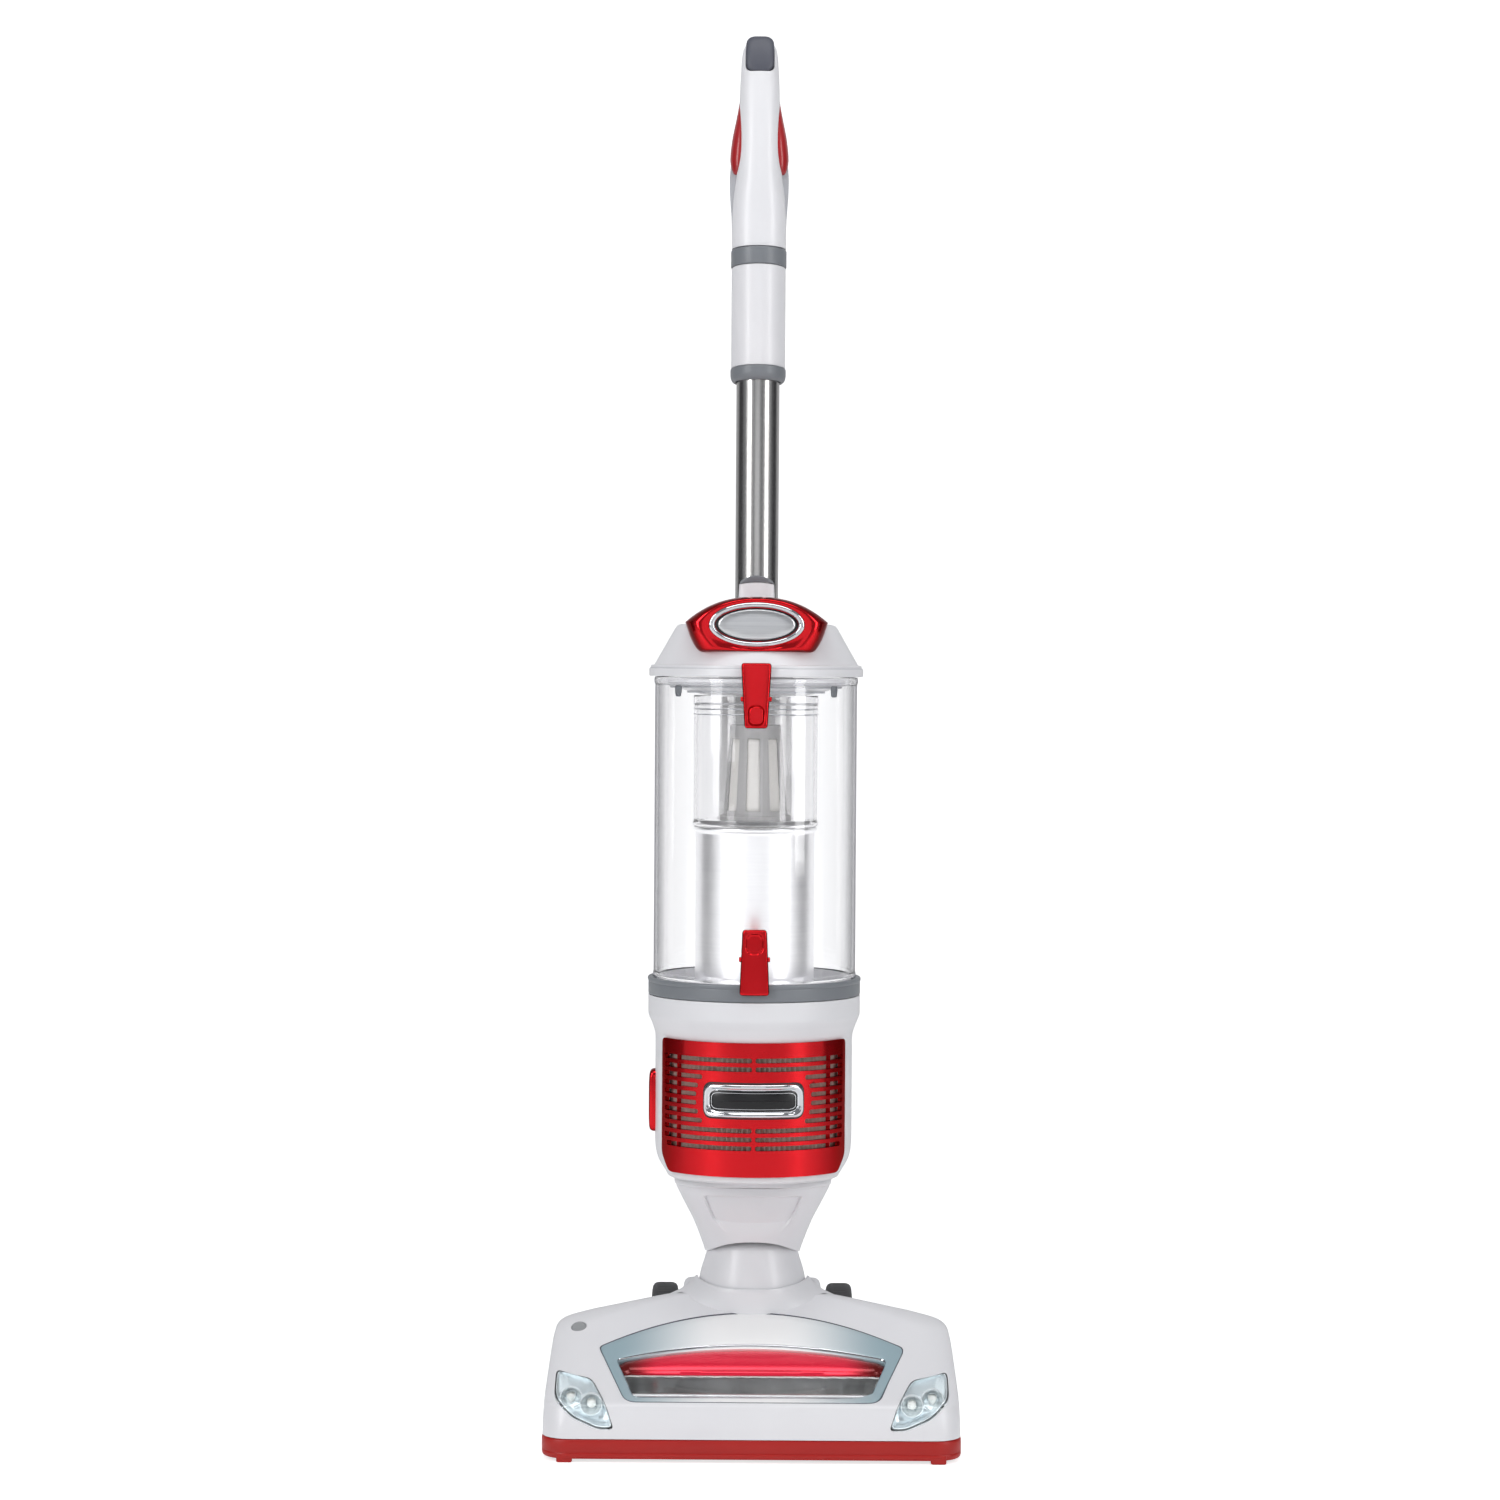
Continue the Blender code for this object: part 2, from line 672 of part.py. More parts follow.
def make_brush():
    core = rod(BRUSH_CORE_R, -BRUSH_HALF, BRUSH_HALF, BRUSH_Y, BRUSH_Z, "brushroll_core", "dark_plastic", 32, 0.001)
    set_origin(core, (0, BRUSH_Y, BRUSH_Z))
    for count, word in enumerate(("a", "b")):
        rings = []
        for step in range(BRISTLE_STEPS + 1):
            share = step / BRISTLE_STEPS
            x = BRISTLE_START_X + share * (BRISTLE_END_X - BRISTLE_START_X)
            angle = math.tau * BRISTLE_TURNS * share + math.pi * count
            out = Vector((0, math.cos(angle), math.sin(angle)))
            side = Vector((0, -math.sin(angle), math.cos(angle))) * BRISTLE_WIDTH / 2
            centre = Vector((x, BRUSH_Y, BRUSH_Z))
            near = out * (BRUSH_CORE_R + GAP)
            far = out * BRUSH_TIP_R
            rings.append([centre + near - side, centre + far - side, centre + far + side, centre + near + side])
        strip = skin(rings, f"bristle_strip_{word}", "bristle")
        set_origin(strip, (0, BRUSH_Y, BRUSH_Z))


def motor_axis_z():
    return SOLE_TOP + GAP + BRUSH_MOTOR_R


def belt_ring(grow, x):
    """One edge of the belt: the hull round the brush core and the pulley."""
    start = Vector((BRUSH_Y, BRUSH_Z))
    end = Vector((BRUSH_MOTOR_Y, motor_axis_z()))
    line = end - start
    lean = math.asin((BRUSH_CORE_R - PULLEY_R) / line.length)
    heading = math.atan2(line.y, line.x)
    ring = []
    spans = (
        (start, BRUSH_CORE_R, heading + math.pi / 2 - lean, heading + 3 * math.pi / 2 + lean, 12),
        (end, PULLEY_R, heading - math.pi / 2 + lean, heading + math.pi / 2 - lean, 8),
    )
    for centre, radius, first, last, steps in spans:
        for step in range(steps + 1):
            angle = first + (last - first) * step / steps
            ring.append((x, centre.x + (radius + grow) * math.cos(angle), centre.y + (radius + grow) * math.sin(angle)))
    return ring


def make_brush_drive():
    axis_z = motor_axis_z()
    rod(BRUSH_MOTOR_R, *BRUSH_MOTOR_X, BRUSH_MOTOR_Y, axis_z, "brush_motor", "motor_metal", 28, 0.002)
    pulley = rod(PULLEY_R, BELT_X[0] - 0.001, BRUSH_MOTOR_X[0] - GAP, BRUSH_MOTOR_Y, axis_z, "motor_pulley", "brushed_steel", 24)
    set_origin(pulley, (0, BRUSH_MOTOR_Y, axis_z))
    inner = BELT_CLEAR
    outer = BELT_CLEAR + BELT_THICK
    rings = [
        belt_ring(inner, BELT_X[0]),
        belt_ring(outer, BELT_X[0]),
        belt_ring(outer, BELT_X[1]),
        belt_ring(inner, BELT_X[1]),
    ]
    skin(rings, "drive_belt", "rubber", looped=True)


def make_wheels():
    axle_end = WHEEL_OUTER_X - 0.002
    rod(AXLE_R, -axle_end, axle_end, WHEEL_Y, WHEEL_R, "wheel_axle", "brushed_steel", 20, 0.0008)
    width = WHEEL_OUTER_X - WHEEL_INNER_X
    for side, word in ((-1, "left"), (1, "right")):
        profile = [
            (AXLE_R + GAP, 0),
            (WHEEL_R - 0.004, 0),
            (WHEEL_R, 0.004),
            (WHEEL_R, width - 0.004),
            (WHEEL_R - 0.004, width),
            (WHEEL_R - 0.010, width),
            (WHEEL_R - 0.012, width - 0.004),
            (0.014, width - 0.004),
            (0.012, width),
            (AXLE_R + GAP, width),
        ]
        wheel = revolve(profile, f"{word}_rear_wheel", "slate_grey", segments=32)
        wheel.data.transform(Matrix.Rotation(side * math.pi / 2, 4, "Y"))
        wheel.data.transform(Matrix.Translation((side * WHEEL_INNER_X, WHEEL_Y, WHEEL_R)))
        set_origin(wheel, (0, WHEEL_Y, WHEEL_R))


# ---- neck -----------------------------------------------------------------
def make_neck():
    knuckle = revolve(
        [
            (0, BALL_BOTTOM - 0.004),
            (0.026, BALL_BOTTOM - 0.004),
            (BALL_R - 0.006, BALL_BOTTOM + 0.002),
            (BALL_R - 0.001, BALL_BOTTOM + 0.009),
            (BALL_R, BALL_BOTTOM + 0.016),
            (BALL_R - 0.001, BALL_TOP - 0.006),
            (BALL_R - 0.003, BALL_TOP),
            (0, BALL_TOP),
        ],
        "neck_knuckle",
        "gloss_white",
        (0, NECK_Y),
    )
    fuse(
        knuckle,
        rod(BARREL_R, -BARREL_HALF, BARREL_HALF, PIVOT_Y, PIVOT_Z, "barrel", None, 28, 0.001),
        block((-0.034, PIVOT_Y - 0.019, PIVOT_Z + 0.002), (0.034, PIVOT_Y + 0.018, BALL_BOTTOM + 0.004), "stub"),
    )
    set_origin(knuckle, (0, PIVOT_Y, PIVOT_Z))
    seal = [(0.030, BALL_TOP + GAP), (SEAL_R, BALL_TOP + GAP), (SEAL_R, SEAL_TOP), (0.030, SEAL_TOP)]
    revolve(seal, "swivel_seal", "rubber", (0, NECK_Y))


def funnel_rings(inset):
    """The funnel's outlines, from the round foot to the wide top."""
    rings = []
    foot_z = SEAL_TOP + GAP
    for step in range(6):
        share = step / 5
        ease = share ** 0.9
        half = FUNNEL_FOOT_R + (CRADLE_HALF - FUNNEL_FOOT_R) * ease
        front = (NECK_Y - FUNNEL_FOOT_R) * (1 - share) + (CRADLE_FRONT_Y + 0.001) * share
        back = (NECK_Y + FUNNEL_FOOT_R) * (1 - share) + 0.075 * share
        radius = FUNNEL_FOOT_R - 0.0006 - 0.008 * share
        z = foot_z + (FUNNEL_TOP - foot_z) * share
        rings.append(plan_ring(half - inset, half - inset, front + inset, back - inset, radius - inset, z))
    return rings


def make_upright():
    funnel = skin(funnel_rings(0.0) + funnel_rings(WALL)[::-1], "neck_funnel", "gloss_white", looped=True)
    set_origin(funnel, (0, NECK_Y, SEAL_TOP))
    levels = (
        (FUNNEL_TOP + 0.004, SPINE_HALF, SPINE_FRONT_Y, SPINE_BACK_Y, 0.010),
        (0.595, SPINE_HALF - 0.002, SPINE_FRONT_Y, SPINE_BACK_Y, 0.012),
        (0.625, SPINE_HALF - 0.010, SPINE_FRONT_Y, SPINE_BACK_Y, 0.014),
        (SOCKET_FOOT, SOCKET_R + 0.001, WAND_Y - SOCKET_R, WAND_Y + SOCKET_R, 0.0225),
        (SOCKET_TOP - 0.003, SOCKET_R, WAND_Y - SOCKET_R, WAND_Y + SOCKET_R, 0.0240),
        (SOCKET_TOP, SOCKET_R - 0.002, WAND_Y - SOCKET_R + 0.002, WAND_Y + SOCKET_R - 0.002, 0.0220),
    )
    rings = [plan_ring(half, half, front, back, radius, z) for z, half, front, back, radius in levels]
    spine = skin(rings, "upright_spine", "gloss_white")
    cradle = skin(
        [plan_ring(CRADLE_HALF, CRADLE_HALF, CRADLE_FRONT_Y, SPINE_BACK_Y - 0.002, 0.03, z) for z in (FUNNEL_TOP + GAP, CRADLE_TOP)],
        "cradle",
    )
    hook_foot = block((-0.012, SPINE_BACK_Y - 0.004, LOWER_HOOK_Z - 0.010), (0.012, HOOK_BACK_Y - 0.004, LOWER_HOOK_Z + 0.010), "hook_foot")
    hook_bar = block((-0.014, HOOK_BACK_Y - 0.007, LOWER_HOOK_Z - HOOK_LENGTH), (0.014, HOOK_BACK_Y - 0.001, LOWER_HOOK_Z + 0.0105), "hook_bar")
    fuse(spine, cradle, hook_foot, hook_bar)
    button_room = block(
        (-LATCH_BUTTON_HALF - GAP, LATCH_BUTTON_Y[0] - OVERCUT, LATCH_BUTTON_Z[0] - GAP),
        (LATCH_BUTTON_HALF + GAP, LATCH_BUTTON_Y[1] + LATCH_BUTTON_TRAVEL + GAP, LATCH_BUTTON_Z[1] + GAP),
        "button_room",
    )
    bore = revolve(disc_profile(TUBE_R + GAP, TUBE_FOOT - GAP, SOCKET_TOP + 0.01), "wand_bore", None, (0, WAND_Y))
    channel = block(
        (-SPINE_HALF + WALL, SPINE_FRONT_Y - OVERCUT, CRADLE_TOP + 0.004),
        (SPINE_HALF - WALL, SPINE_BACK_Y - 0.004, 0.590),
        "spine_channel",
    )
    cut(spine, bore, button_room, channel)
    button = block(
        (-LATCH_BUTTON_HALF, LATCH_BUTTON_Y[0], LATCH_BUTTON_Z[0]),
        (LATCH_BUTTON_HALF, LATCH_BUTTON_Y[1], LATCH_BUTTON_Z[1]),
        "wand_latch_button",
        "ring_grey",
        0.0025,
    )
    set_origin(button, (0, LATCH_BUTTON_Y[0], (LATCH_BUTTON_Z[0] + LATCH_BUTTON_Z[1]) / 2))
    make_upper_hook()


def make_upper_hook():
    """The upper cord hook turns about a short pin behind the spine."""
    foot = SPINE_BACK_Y + GAP
    plate = block((-0.014, foot + 0.012, UPPER_HOOK_Z - 0.010), (0.014, HOOK_BACK_Y, UPPER_HOOK_Z + HOOK_LENGTH), "upper_cord_hook", "gloss_white")
    post = block((-0.009, foot, UPPER_HOOK_Z - 0.009), (0.009, foot + 0.014, UPPER_HOOK_Z + 0.009), "hook_post")
    fuse(plate, post)
    set_origin(plate, (0, foot, UPPER_HOOK_Z))


# ---- wand and handle ------------------------------------------------------
def make_wand():
    centre = (0, WAND_Y)
    revolve(tube_profile(TUBE_R - TUBE_WALL, TUBE_R, TUBE_FOOT, TUBE_TOP), "wand_tube", "brushed_steel", centre)
    bore = TUBE_R + GAP
    low, high = LOWER_RING
    ring = [(bore, low + 0.0005), (RING_R - 0.004, low), (RING_R, low + 0.004), (RING_R, high), (bore, high)]
    revolve(ring, "lower_wand_ring", "ring_grey", centre)
    revolve(tube_profile(bore, SLEEVE_R, high + GAP, UPPER_RING[0] - GAP), "wand_sleeve", "gloss_white", centre)
    revolve(tube_profile(bore, RING_R, *UPPER_RING), "upper_wand_ring", "ring_grey", centre)


def handle_middle(z):
    """How far back the handle's middle is at a height."""
    share = (z - UPPER_RING[1]) / (HANDLE_TOP - UPPER_RING[1])
    return WAND_Y + HANDLE_LEAN * max(share, 0.0) ** 1.5


def handle_half(z, core=True):
    """Half the handle's width at a height, without or with the side inserts."""
    share = (z - UPPER_RING[1]) / (HANDLE_TOP - UPPER_RING[1])
    swell = 0.0034 * math.exp(-(((z - 1.046) / 0.032) ** 2))
    plain = 0.0228 - 0.0078 * max(0.0, (share - 0.55) / 0.45) ** 0.8
    if not core:
        return plain + swell
    hollow = 0.0058 * math.exp(-(((z - 1.078) / 0.034) ** 2))
    return plain - hollow


def handle_depth(z):
    share = (z - UPPER_RING[1]) / (HANDLE_TOP - UPPER_RING[1])
    return HANDLE_HALF_DEPTH[0] + (HANDLE_HALF_DEPTH[1] - HANDLE_HALF_DEPTH[0]) * share


def handle_half_ring(z, front):
    """The front or back half of the handle's oval section at a height."""
    start = math.pi if front else 0.0
    split = -GAP / 2 if front else GAP / 2
    count = 12
    ring = []
    for step in range(count + 1):
        angle = start + math.pi * step / count
        y = handle_middle(z) + handle_depth(z) * math.sin(angle) + split
        ring.append((handle_half(z) * math.cos(angle), y, z))
    return ring


def make_handle():
    low = UPPER_RING[1] + GAP
    heights = [low + (HANDLE_TOP - low) * step / HANDLE_STEPS for step in range(HANDLE_STEPS + 1)]
    for front, name, colour in ((True, "handle_front", "gloss_white"), (False, "handle_back", "pale_grey")):
        rings = [handle_half_ring(z, front) for z in heights]
        shell = skin(rings, name, colour)
        if front:
            pad_front = handle_middle(PAD_FOOT) - handle_depth(PAD_FOOT)
            room = block(
                (-PAD_HALF - GAP, pad_front - 0.010, PAD_FOOT - GAP),
                (PAD_HALF + GAP, pad_front + 0.0106, PAD_TOP + 0.01),
                "pad_room",
            )
            cut(shell, room)
            pad = block(
                (-PAD_HALF, pad_front - 0.0010, PAD_FOOT),
                (PAD_HALF, pad_front + 0.0106 - PAD_TRAVEL - GAP, PAD_TOP),
                "handle_release_pad",
                "slate_grey",
                0.0028,
            )
            set_origin(pad, (0, pad_front, (PAD_FOOT + PAD_TOP) / 2))
    for side, word in ((-1, "left"), (1, "right")):
        rings = []
        steps = 8
        for step in range(steps + 1):
            z = GRIP_FOOT + (GRIP_TOP - GRIP_FOOT) * step / steps
            inner = handle_half(z) + 0.0008
            outer = max(handle_half(z, False), inner + 0.0006)
            deep = 0.011 * math.sin(math.pi * (0.08 + 0.84 * step / steps)) ** 0.5
            middle = handle_middle(z)
            outline = [(inner, middle - deep), (inner + (outer - inner) * 0.8, middle - deep * 0.6), (outer, middle)]
            outline += [(inner + (outer - inner) * 0.8, middle + deep * 0.6), (inner, middle + deep)]
            rings.append([(side * x, y, z) for x, y in outline])
        skin(rings, f"{word}_grip_insert", "flat_red")


# ---- canister -------------------------------------------------------------
def canister_panel(angle_half, inner, outer, low, high, name, colour=None, steps=24, corner=0.0, middle=0.0):
    """A piece of a cylinder wall about the canister axis, with its corners drawn in."""
    rings = []
    for step in range(steps + 1):
        share = 2 * step / steps - 1
        angle = middle + angle_half * share
        edge = max(0.0, abs(share) * angle_half * outer - (angle_half * outer - corner))
        draw = corner - math.sqrt(max(corner * corner - edge * edge, 0.0)) if corner else 0.0
        ring = []
        for radius, z in ((inner, low + draw), (outer, low + draw), (outer, high - draw), (inner, high - draw)):
            ring.append((radius * math.sin(angle), -radius * math.cos(angle), z))
        rings.append(ring)
    return skin(rings, name, colour)


def make_housing():
    inner = HOUSING_R - WALL
    profile = [
        (0, HOUSING_FOOT),
        (HOUSING_R - 0.006, HOUSING_FOOT),
        (HOUSING_R, HOUSING_FOOT + 0.006),
        (HOUSING_R, SHOULDER_Z),
        (0.0850, 0.328),
        (COLLAR_R, 0.338),
        (COLLAR_R, HOUSING_TOP),
        (COLLAR_R - WALL, HOUSING_TOP),
        (HOUSING_R - 0.001, FILTER_LEDGE_Z),
        (FILTER_LEDGE_R, FILTER_LEDGE_Z),
        (FILTER_LEDGE_R, FILTER_LEDGE_Z - 0.003),
        (inner, FILTER_LEDGE_Z - 0.006),
        (inner, HOUSING_FOOT + WALL),
        (0, HOUSING_FOOT + WALL),
    ]
    housing = revolve(profile, "motor_housing", "gloss_white", segments=32)
    low, high = GRILLE_Z
    margin = GAP / GRILLE_R
    window = canister_panel(GRILLE_ANGLE - 0.035, 0.066, 0.1, low + 0.002, high - 0.0135, "grille_window", steps=14)
    seat = canister_panel(GRILLE_ANGLE + margin, GRILLE_R - GRILLE_THICK - GAP, 0.1, low - GAP, high + GAP, "grille_seat", steps=16)
    button_room = block(
        (-0.1, -LIFT_BUTTON_HALF - GAP, LIFT_BUTTON_Z[0] - GAP),
        (-0.066, LIFT_BUTTON_HALF + GAP, LIFT_BUTTON_Z[1] + GAP),
        "button_room",
    )
    switch_room = block((-0.0113, -0.1, SWITCH_Z - 0.0183), (0.0113, -0.072, SWITCH_Z + 0.0183), "switch_room")
    turn_about_axis(switch_room, SWITCH_ANGLE)
    cut(housing, window, seat, button_room, switch_room)
    button = block(
        (-LIFT_BUTTON_OUT, -LIFT_BUTTON_HALF, LIFT_BUTTON_Z[0]),
        (-0.0745, LIFT_BUTTON_HALF, LIFT_BUTTON_Z[1]),
        "lift_away_button",
        "candy_red",
        0.003,
    )
    set_origin(button, (-LIFT_BUTTON_OUT, 0, sum(LIFT_BUTTON_Z) / 2))
    switch = block((-0.0105, -HOUSING_R - 0.0010, SWITCH_Z - 0.0165), (0.0105, -0.0755, SWITCH_Z + 0.0165), "power_switch", "flat_red", 0.001)
    turn_about_axis(switch, SWITCH_ANGLE)
    pivot = 0.0775
    set_origin(switch, (pivot * math.sin(SWITCH_ANGLE), -pivot * math.cos(SWITCH_ANGLE), SWITCH_Z))


def make_grille():
    low, high = GRILLE_Z
    grille = canister_panel(GRILLE_ANGLE, GRILLE_R - GRILLE_THICK, GRILLE_R, low, high, "exhaust_grille", "candy_red", 18, GRILLE_CHAMFER)
    slots = []
    top = high - 0.0135
    rows = int((top - low - 0.012) / SLOT_PITCH) + 1
    for row in range(rows):
        z = top - row * SLOT_PITCH
        beside_badge = abs(z - FRAME_Z) < FRAME_HALF_HEIGHT + SLOT_PITCH
        near = (FRAME_HALF + 0.006) / GRILLE_R if beside_badge else 0.030
        far = GRILLE_ANGLE - 0.09
        for side in (-1, 1):
            slots.append(
                canister_panel(
                    (far - near) / 2,
                    GRILLE_R - 0.012,
                    GRILLE_R + 0.012,
                    z - SLOT_HEIGHT / 2,
                    z + SLOT_HEIGHT / 2,
                    "slot",
                    None,
                    2 if beside_badge else 4,
                    0.0,
                    side * (far + near) / 2,
                )
            )
    cut(grille, gather(slots, "slots"))
    inner, outer = HEPA_R
    span = GRILLE_ANGLE - 0.02
    count = HEPA_PLEATS * 2
    front = []
    back = []
    for step in range(count + 1):
        angle = -span + 2 * span * step / count
        reach = outer if step % 2 else outer - 0.006
        front.append((reach * math.sin(angle), -reach * math.cos(angle)))
        back.append((inner * math.sin(angle), -inner * math.cos(angle)))
    outline = front + back[::-1]
    rings = [[(x, y, z) for x, y in outline] for z in (low + 0.002, FILTER_LEDGE_Z - 0.0065)]
    skin(rings, "hepa_filter", "pleat_paper")


def badge_panel(half, half_height, inner, outer, name, colour=None, steps=14):
    """A curved plate with rounded ends on the grille's face."""
    return canister_panel(
        half / FRAME_R[1], inner, outer, FRAME_Z - half_height, FRAME_Z + half_height, name, colour, steps, half_height * 0.6
    )


def make_badge():
    inner, outer = FRAME_R
    frame = badge_panel(FRAME_HALF, FRAME_HALF_HEIGHT, inner, outer, "badge_frame", "chrome", 18)
    hole = badge_panel(PLATE_HALF + GAP, PLATE_HALF_HEIGHT + GAP, inner - 0.01, outer + 0.01, "plate_hole")
    cut(frame, hole)
    badge_panel(PLATE_HALF - GAP, PLATE_HALF_HEIGHT, inner, outer - 0.0012, "badge_plate", "dark_plastic")


def make_motor():
    floor = HOUSING_FOOT + WALL + GAP
    profile = [
        (0, floor),
        (MOTOR_R - 0.004, floor),
        (MOTOR_R, floor + 0.006),
        (MOTOR_R, 0.262),
        (MOTOR_R - 0.008, 0.268),
        (MOTOR_R - 0.008, MOTOR_TOP),
        (0, MOTOR_TOP),
    ]
    revolve(profile, "vacuum_motor", "motor_metal")
    low = MOTOR_TOP + GAP
    fan = [
        (0, low),
        (0.012, low),
        (0.012, low + 0.003),
        (IMPELLER_R, low + 0.003),
        (IMPELLER_R, low + 0.003 + IMPELLER_THICK * 0.5),
        (0.018, low + 0.003 + IMPELLER_THICK),
        (0, low + 0.003 + IMPELLER_THICK),
    ]
    set_origin(revolve(fan, "suction_fan", "brushed_steel"), (0, 0, low))
    revolve(disc_profile(HOUSING_R - 0.0016, FILTER_LEDGE_Z + GAP, 0.342, 0.002), "foam_filter", "foam_blue")


def make_cup():
    ring = [
        (COLLAR_R - 0.008, HOUSING_TOP + GAP),
        (COLLAR_R, HOUSING_TOP + GAP),
        (COLLAR_R, COLLAR_TOP - 0.001),
        (COLLAR_R - 0.001, COLLAR_TOP),
        (COLLAR_R - 0.008, COLLAR_TOP),
    ]
    revolve(ring, "cup_collar", "ring_grey", segments=32)
    revolve(disc_profile(COLLAR_R - 0.008 - GAP, 0.3490, 0.3530), "cup_floor_door", "clear", segments=32)
    revolve(tube_profile(CUP_R - THIN_WALL, CUP_R, COLLAR_TOP + GAP, CUP_TOP), "dust_cup", "clear", segments=32)
    floor = 0.3530 + GAP
    column = [
        (0, COLUMN_TOP),
        (COLUMN_R, COLUMN_TOP),
        (COLUMN_R, floor),
        (COLUMN_R - 0.002, floor),
        (COLUMN_R - 0.002, COLUMN_TOP - 0.003),
        (0, COLUMN_TOP - 0.003),
    ]
    revolve(column, "inner_column", "satin_silver")
    low = COLUMN_TOP + GAP
    revolve(tube_profile(CYCLONE_R - 0.002, CYCLONE_R, low, CYCLONE_TOP), "cyclone_cylinder", "clear")
    cone = [
        (CONE_FLANGE_R - 0.006, low),
        (CONE_FLANGE_R, low),
        (CONE_FLANGE_R, low + 0.006),
        (CONE_FOOT_R, low + 0.0065),
        (CONE_TOP_R, CONE_TOP - 0.006),
        (CONE_TOP_R + 0.0015, CONE_TOP - 0.005),
        (CONE_TOP_R + 0.0015, CONE_TOP),
        (CONE_TOP_R - 0.003, CONE_TOP),
        (CONE_TOP_R - 0.003, CONE_TOP - 0.006),
        (CONE_FOOT_R - 0.0032, low + 0.0065),
    ]
    frame = revolve(cone, "filter_cone", "pale_grey", segments=24)
    windows = []
    for count in range(CONE_WINDOWS):
        windows.append(
            canister_panel(0.36, 0.008, 0.04, low + 0.012, CONE_TOP - 0.012, "cone_window", None, 2, 0.0, math.tau * count / CONE_WINDOWS)
        )
    cut(frame, gather(windows, "cone_windows"))


def crown_rings(grow):
    """The crown's upright outlines from its front to its back, grown by a clearance."""
    stations = (
        (CROWN_FRONT_Y - grow, 0.80, 0.86, 0.96),
        (CROWN_FRONT_Y + 0.004, 0.93, 0.97, 0.92),
        (CROWN_FRONT_Y + 0.020, 1.0, 1.0, 1.0),
        (-0.020, 0.98, 1.0, 1.0),
        (0.020, 0.80, 0.86, 1.0),
        (CROWN_BACK_Y + grow, 0.52, 0.50, 1.0),
    )
    middle = CROWN_MIDDLE_Z
    rings = []
    for y, wide, tall, deep in stations:
        ring = []
        for step in range(28):
            angle = math.tau * step / 28
            across = math.copysign(abs(math.cos(angle)) ** 0.85, math.cos(angle))
            up = math.sin(angle)
            rise = (CROWN_TOP_Z - middle) * tall if up > 0 else (middle - CROWN_FOOT_Z) * deep
            x = (CROWN_HALF * wide + grow) * across
            ring.append((x, y, middle + (rise + grow) * up))
        rings.append(ring)
    return rings


def make_lid():
    low, high = LID_RIM
    profile = [
        (0, LID_TOP_Z),
        (LID_TOP_R, LID_TOP_Z),
        (LID_SHOULDER_R, LID_SHOULDER_Z),
        (0.0845, high + 0.001),
        (LID_RIM_R - 0.001, high),
        (LID_RIM_R, high - 0.001),
        (LID_RIM_R, low),
        (CYCLONE_R + 0.004, low),
        (CYCLONE_R, CYCLONE_TOP + GAP),
        (0, CYCLONE_TOP + GAP),
    ]
    lid = revolve(profile, "cup_lid", "gloss_white", segments=32)
    cut(lid, skin(crown_rings(2 * GAP), "crown_room"))
    skin(crown_rings(0.0), "lid_crown", "candy_red")
    front = CROWN_FRONT_Y - GAP
    ring = [
        oval_ring(OVAL_HALF_WIDTH, OVAL_HALF_HEIGHT, front, BADGE_Z),
        oval_ring(OVAL_HALF_WIDTH - 0.001, OVAL_HALF_HEIGHT - 0.001, front - OVAL_THICK, BADGE_Z),
        oval_ring(DISC_HALF_WIDTH + 0.003, DISC_HALF_HEIGHT + 0.002, front - OVAL_THICK, BADGE_Z),
        oval_ring(DISC_HALF_WIDTH + GAP, DISC_HALF_HEIGHT + GAP, front - 0.001, BADGE_Z),
        oval_ring(DISC_HALF_WIDTH + GAP, DISC_HALF_HEIGHT + GAP, front, BADGE_Z),
    ]
    skin(ring, "crown_oval_frame", "chrome", looped=True)
    disc = [
        oval_ring(DISC_HALF_WIDTH, DISC_HALF_HEIGHT, front, BADGE_Z),
        oval_ring(DISC_HALF_WIDTH, DISC_HALF_HEIGHT, front - 0.001, BADGE_Z),
        oval_ring(DISC_HALF_WIDTH - 0.002, DISC_HALF_HEIGHT - 0.002, front - 0.0016, BADGE_Z),
    ]
    skin(disc, "crown_oval_disc", "satin_silver")


def make_latch(name, span, wide_end_up, front_y):
    """A cup latch: a tapered bar with a lug that rocks on the cup wall."""
    low, high = span
    wide, narrow = LATCH_WIDE, LATCH_NARROW
    foot, head = (narrow, wide) if wide_end_up else (wide, narrow)
    rings = []
    inner = front_y + LATCH_THICK
    for share in (0.0, 0.04, 0.5, 0.96, 1.0):
        z = low + (high - low) * share
        half = foot + (head - foot) * share - (0.001 if share in (0.0, 1.0) else 0.0)
        proud = 0.001 if share in (0.0, 1.0) else 0.0
        rings.append([(-half, inner, z), (-half + 0.001, front_y + proud, z), (half - 0.001, front_y + proud, z), (half, inner, z)])
    latch = skin(rings, name, "candy_red")
    pivot_z = low + (high - low) * (0.51 if wide_end_up else 0.59)
    lug = block((-0.006, inner - 0.002, pivot_z - 0.003), (0.006, LATCH_LUG_TIP_Y, pivot_z + 0.003), "lug")
    fuse(latch, lug)
    set_origin(latch, (0, inner + 0.001, pivot_z))


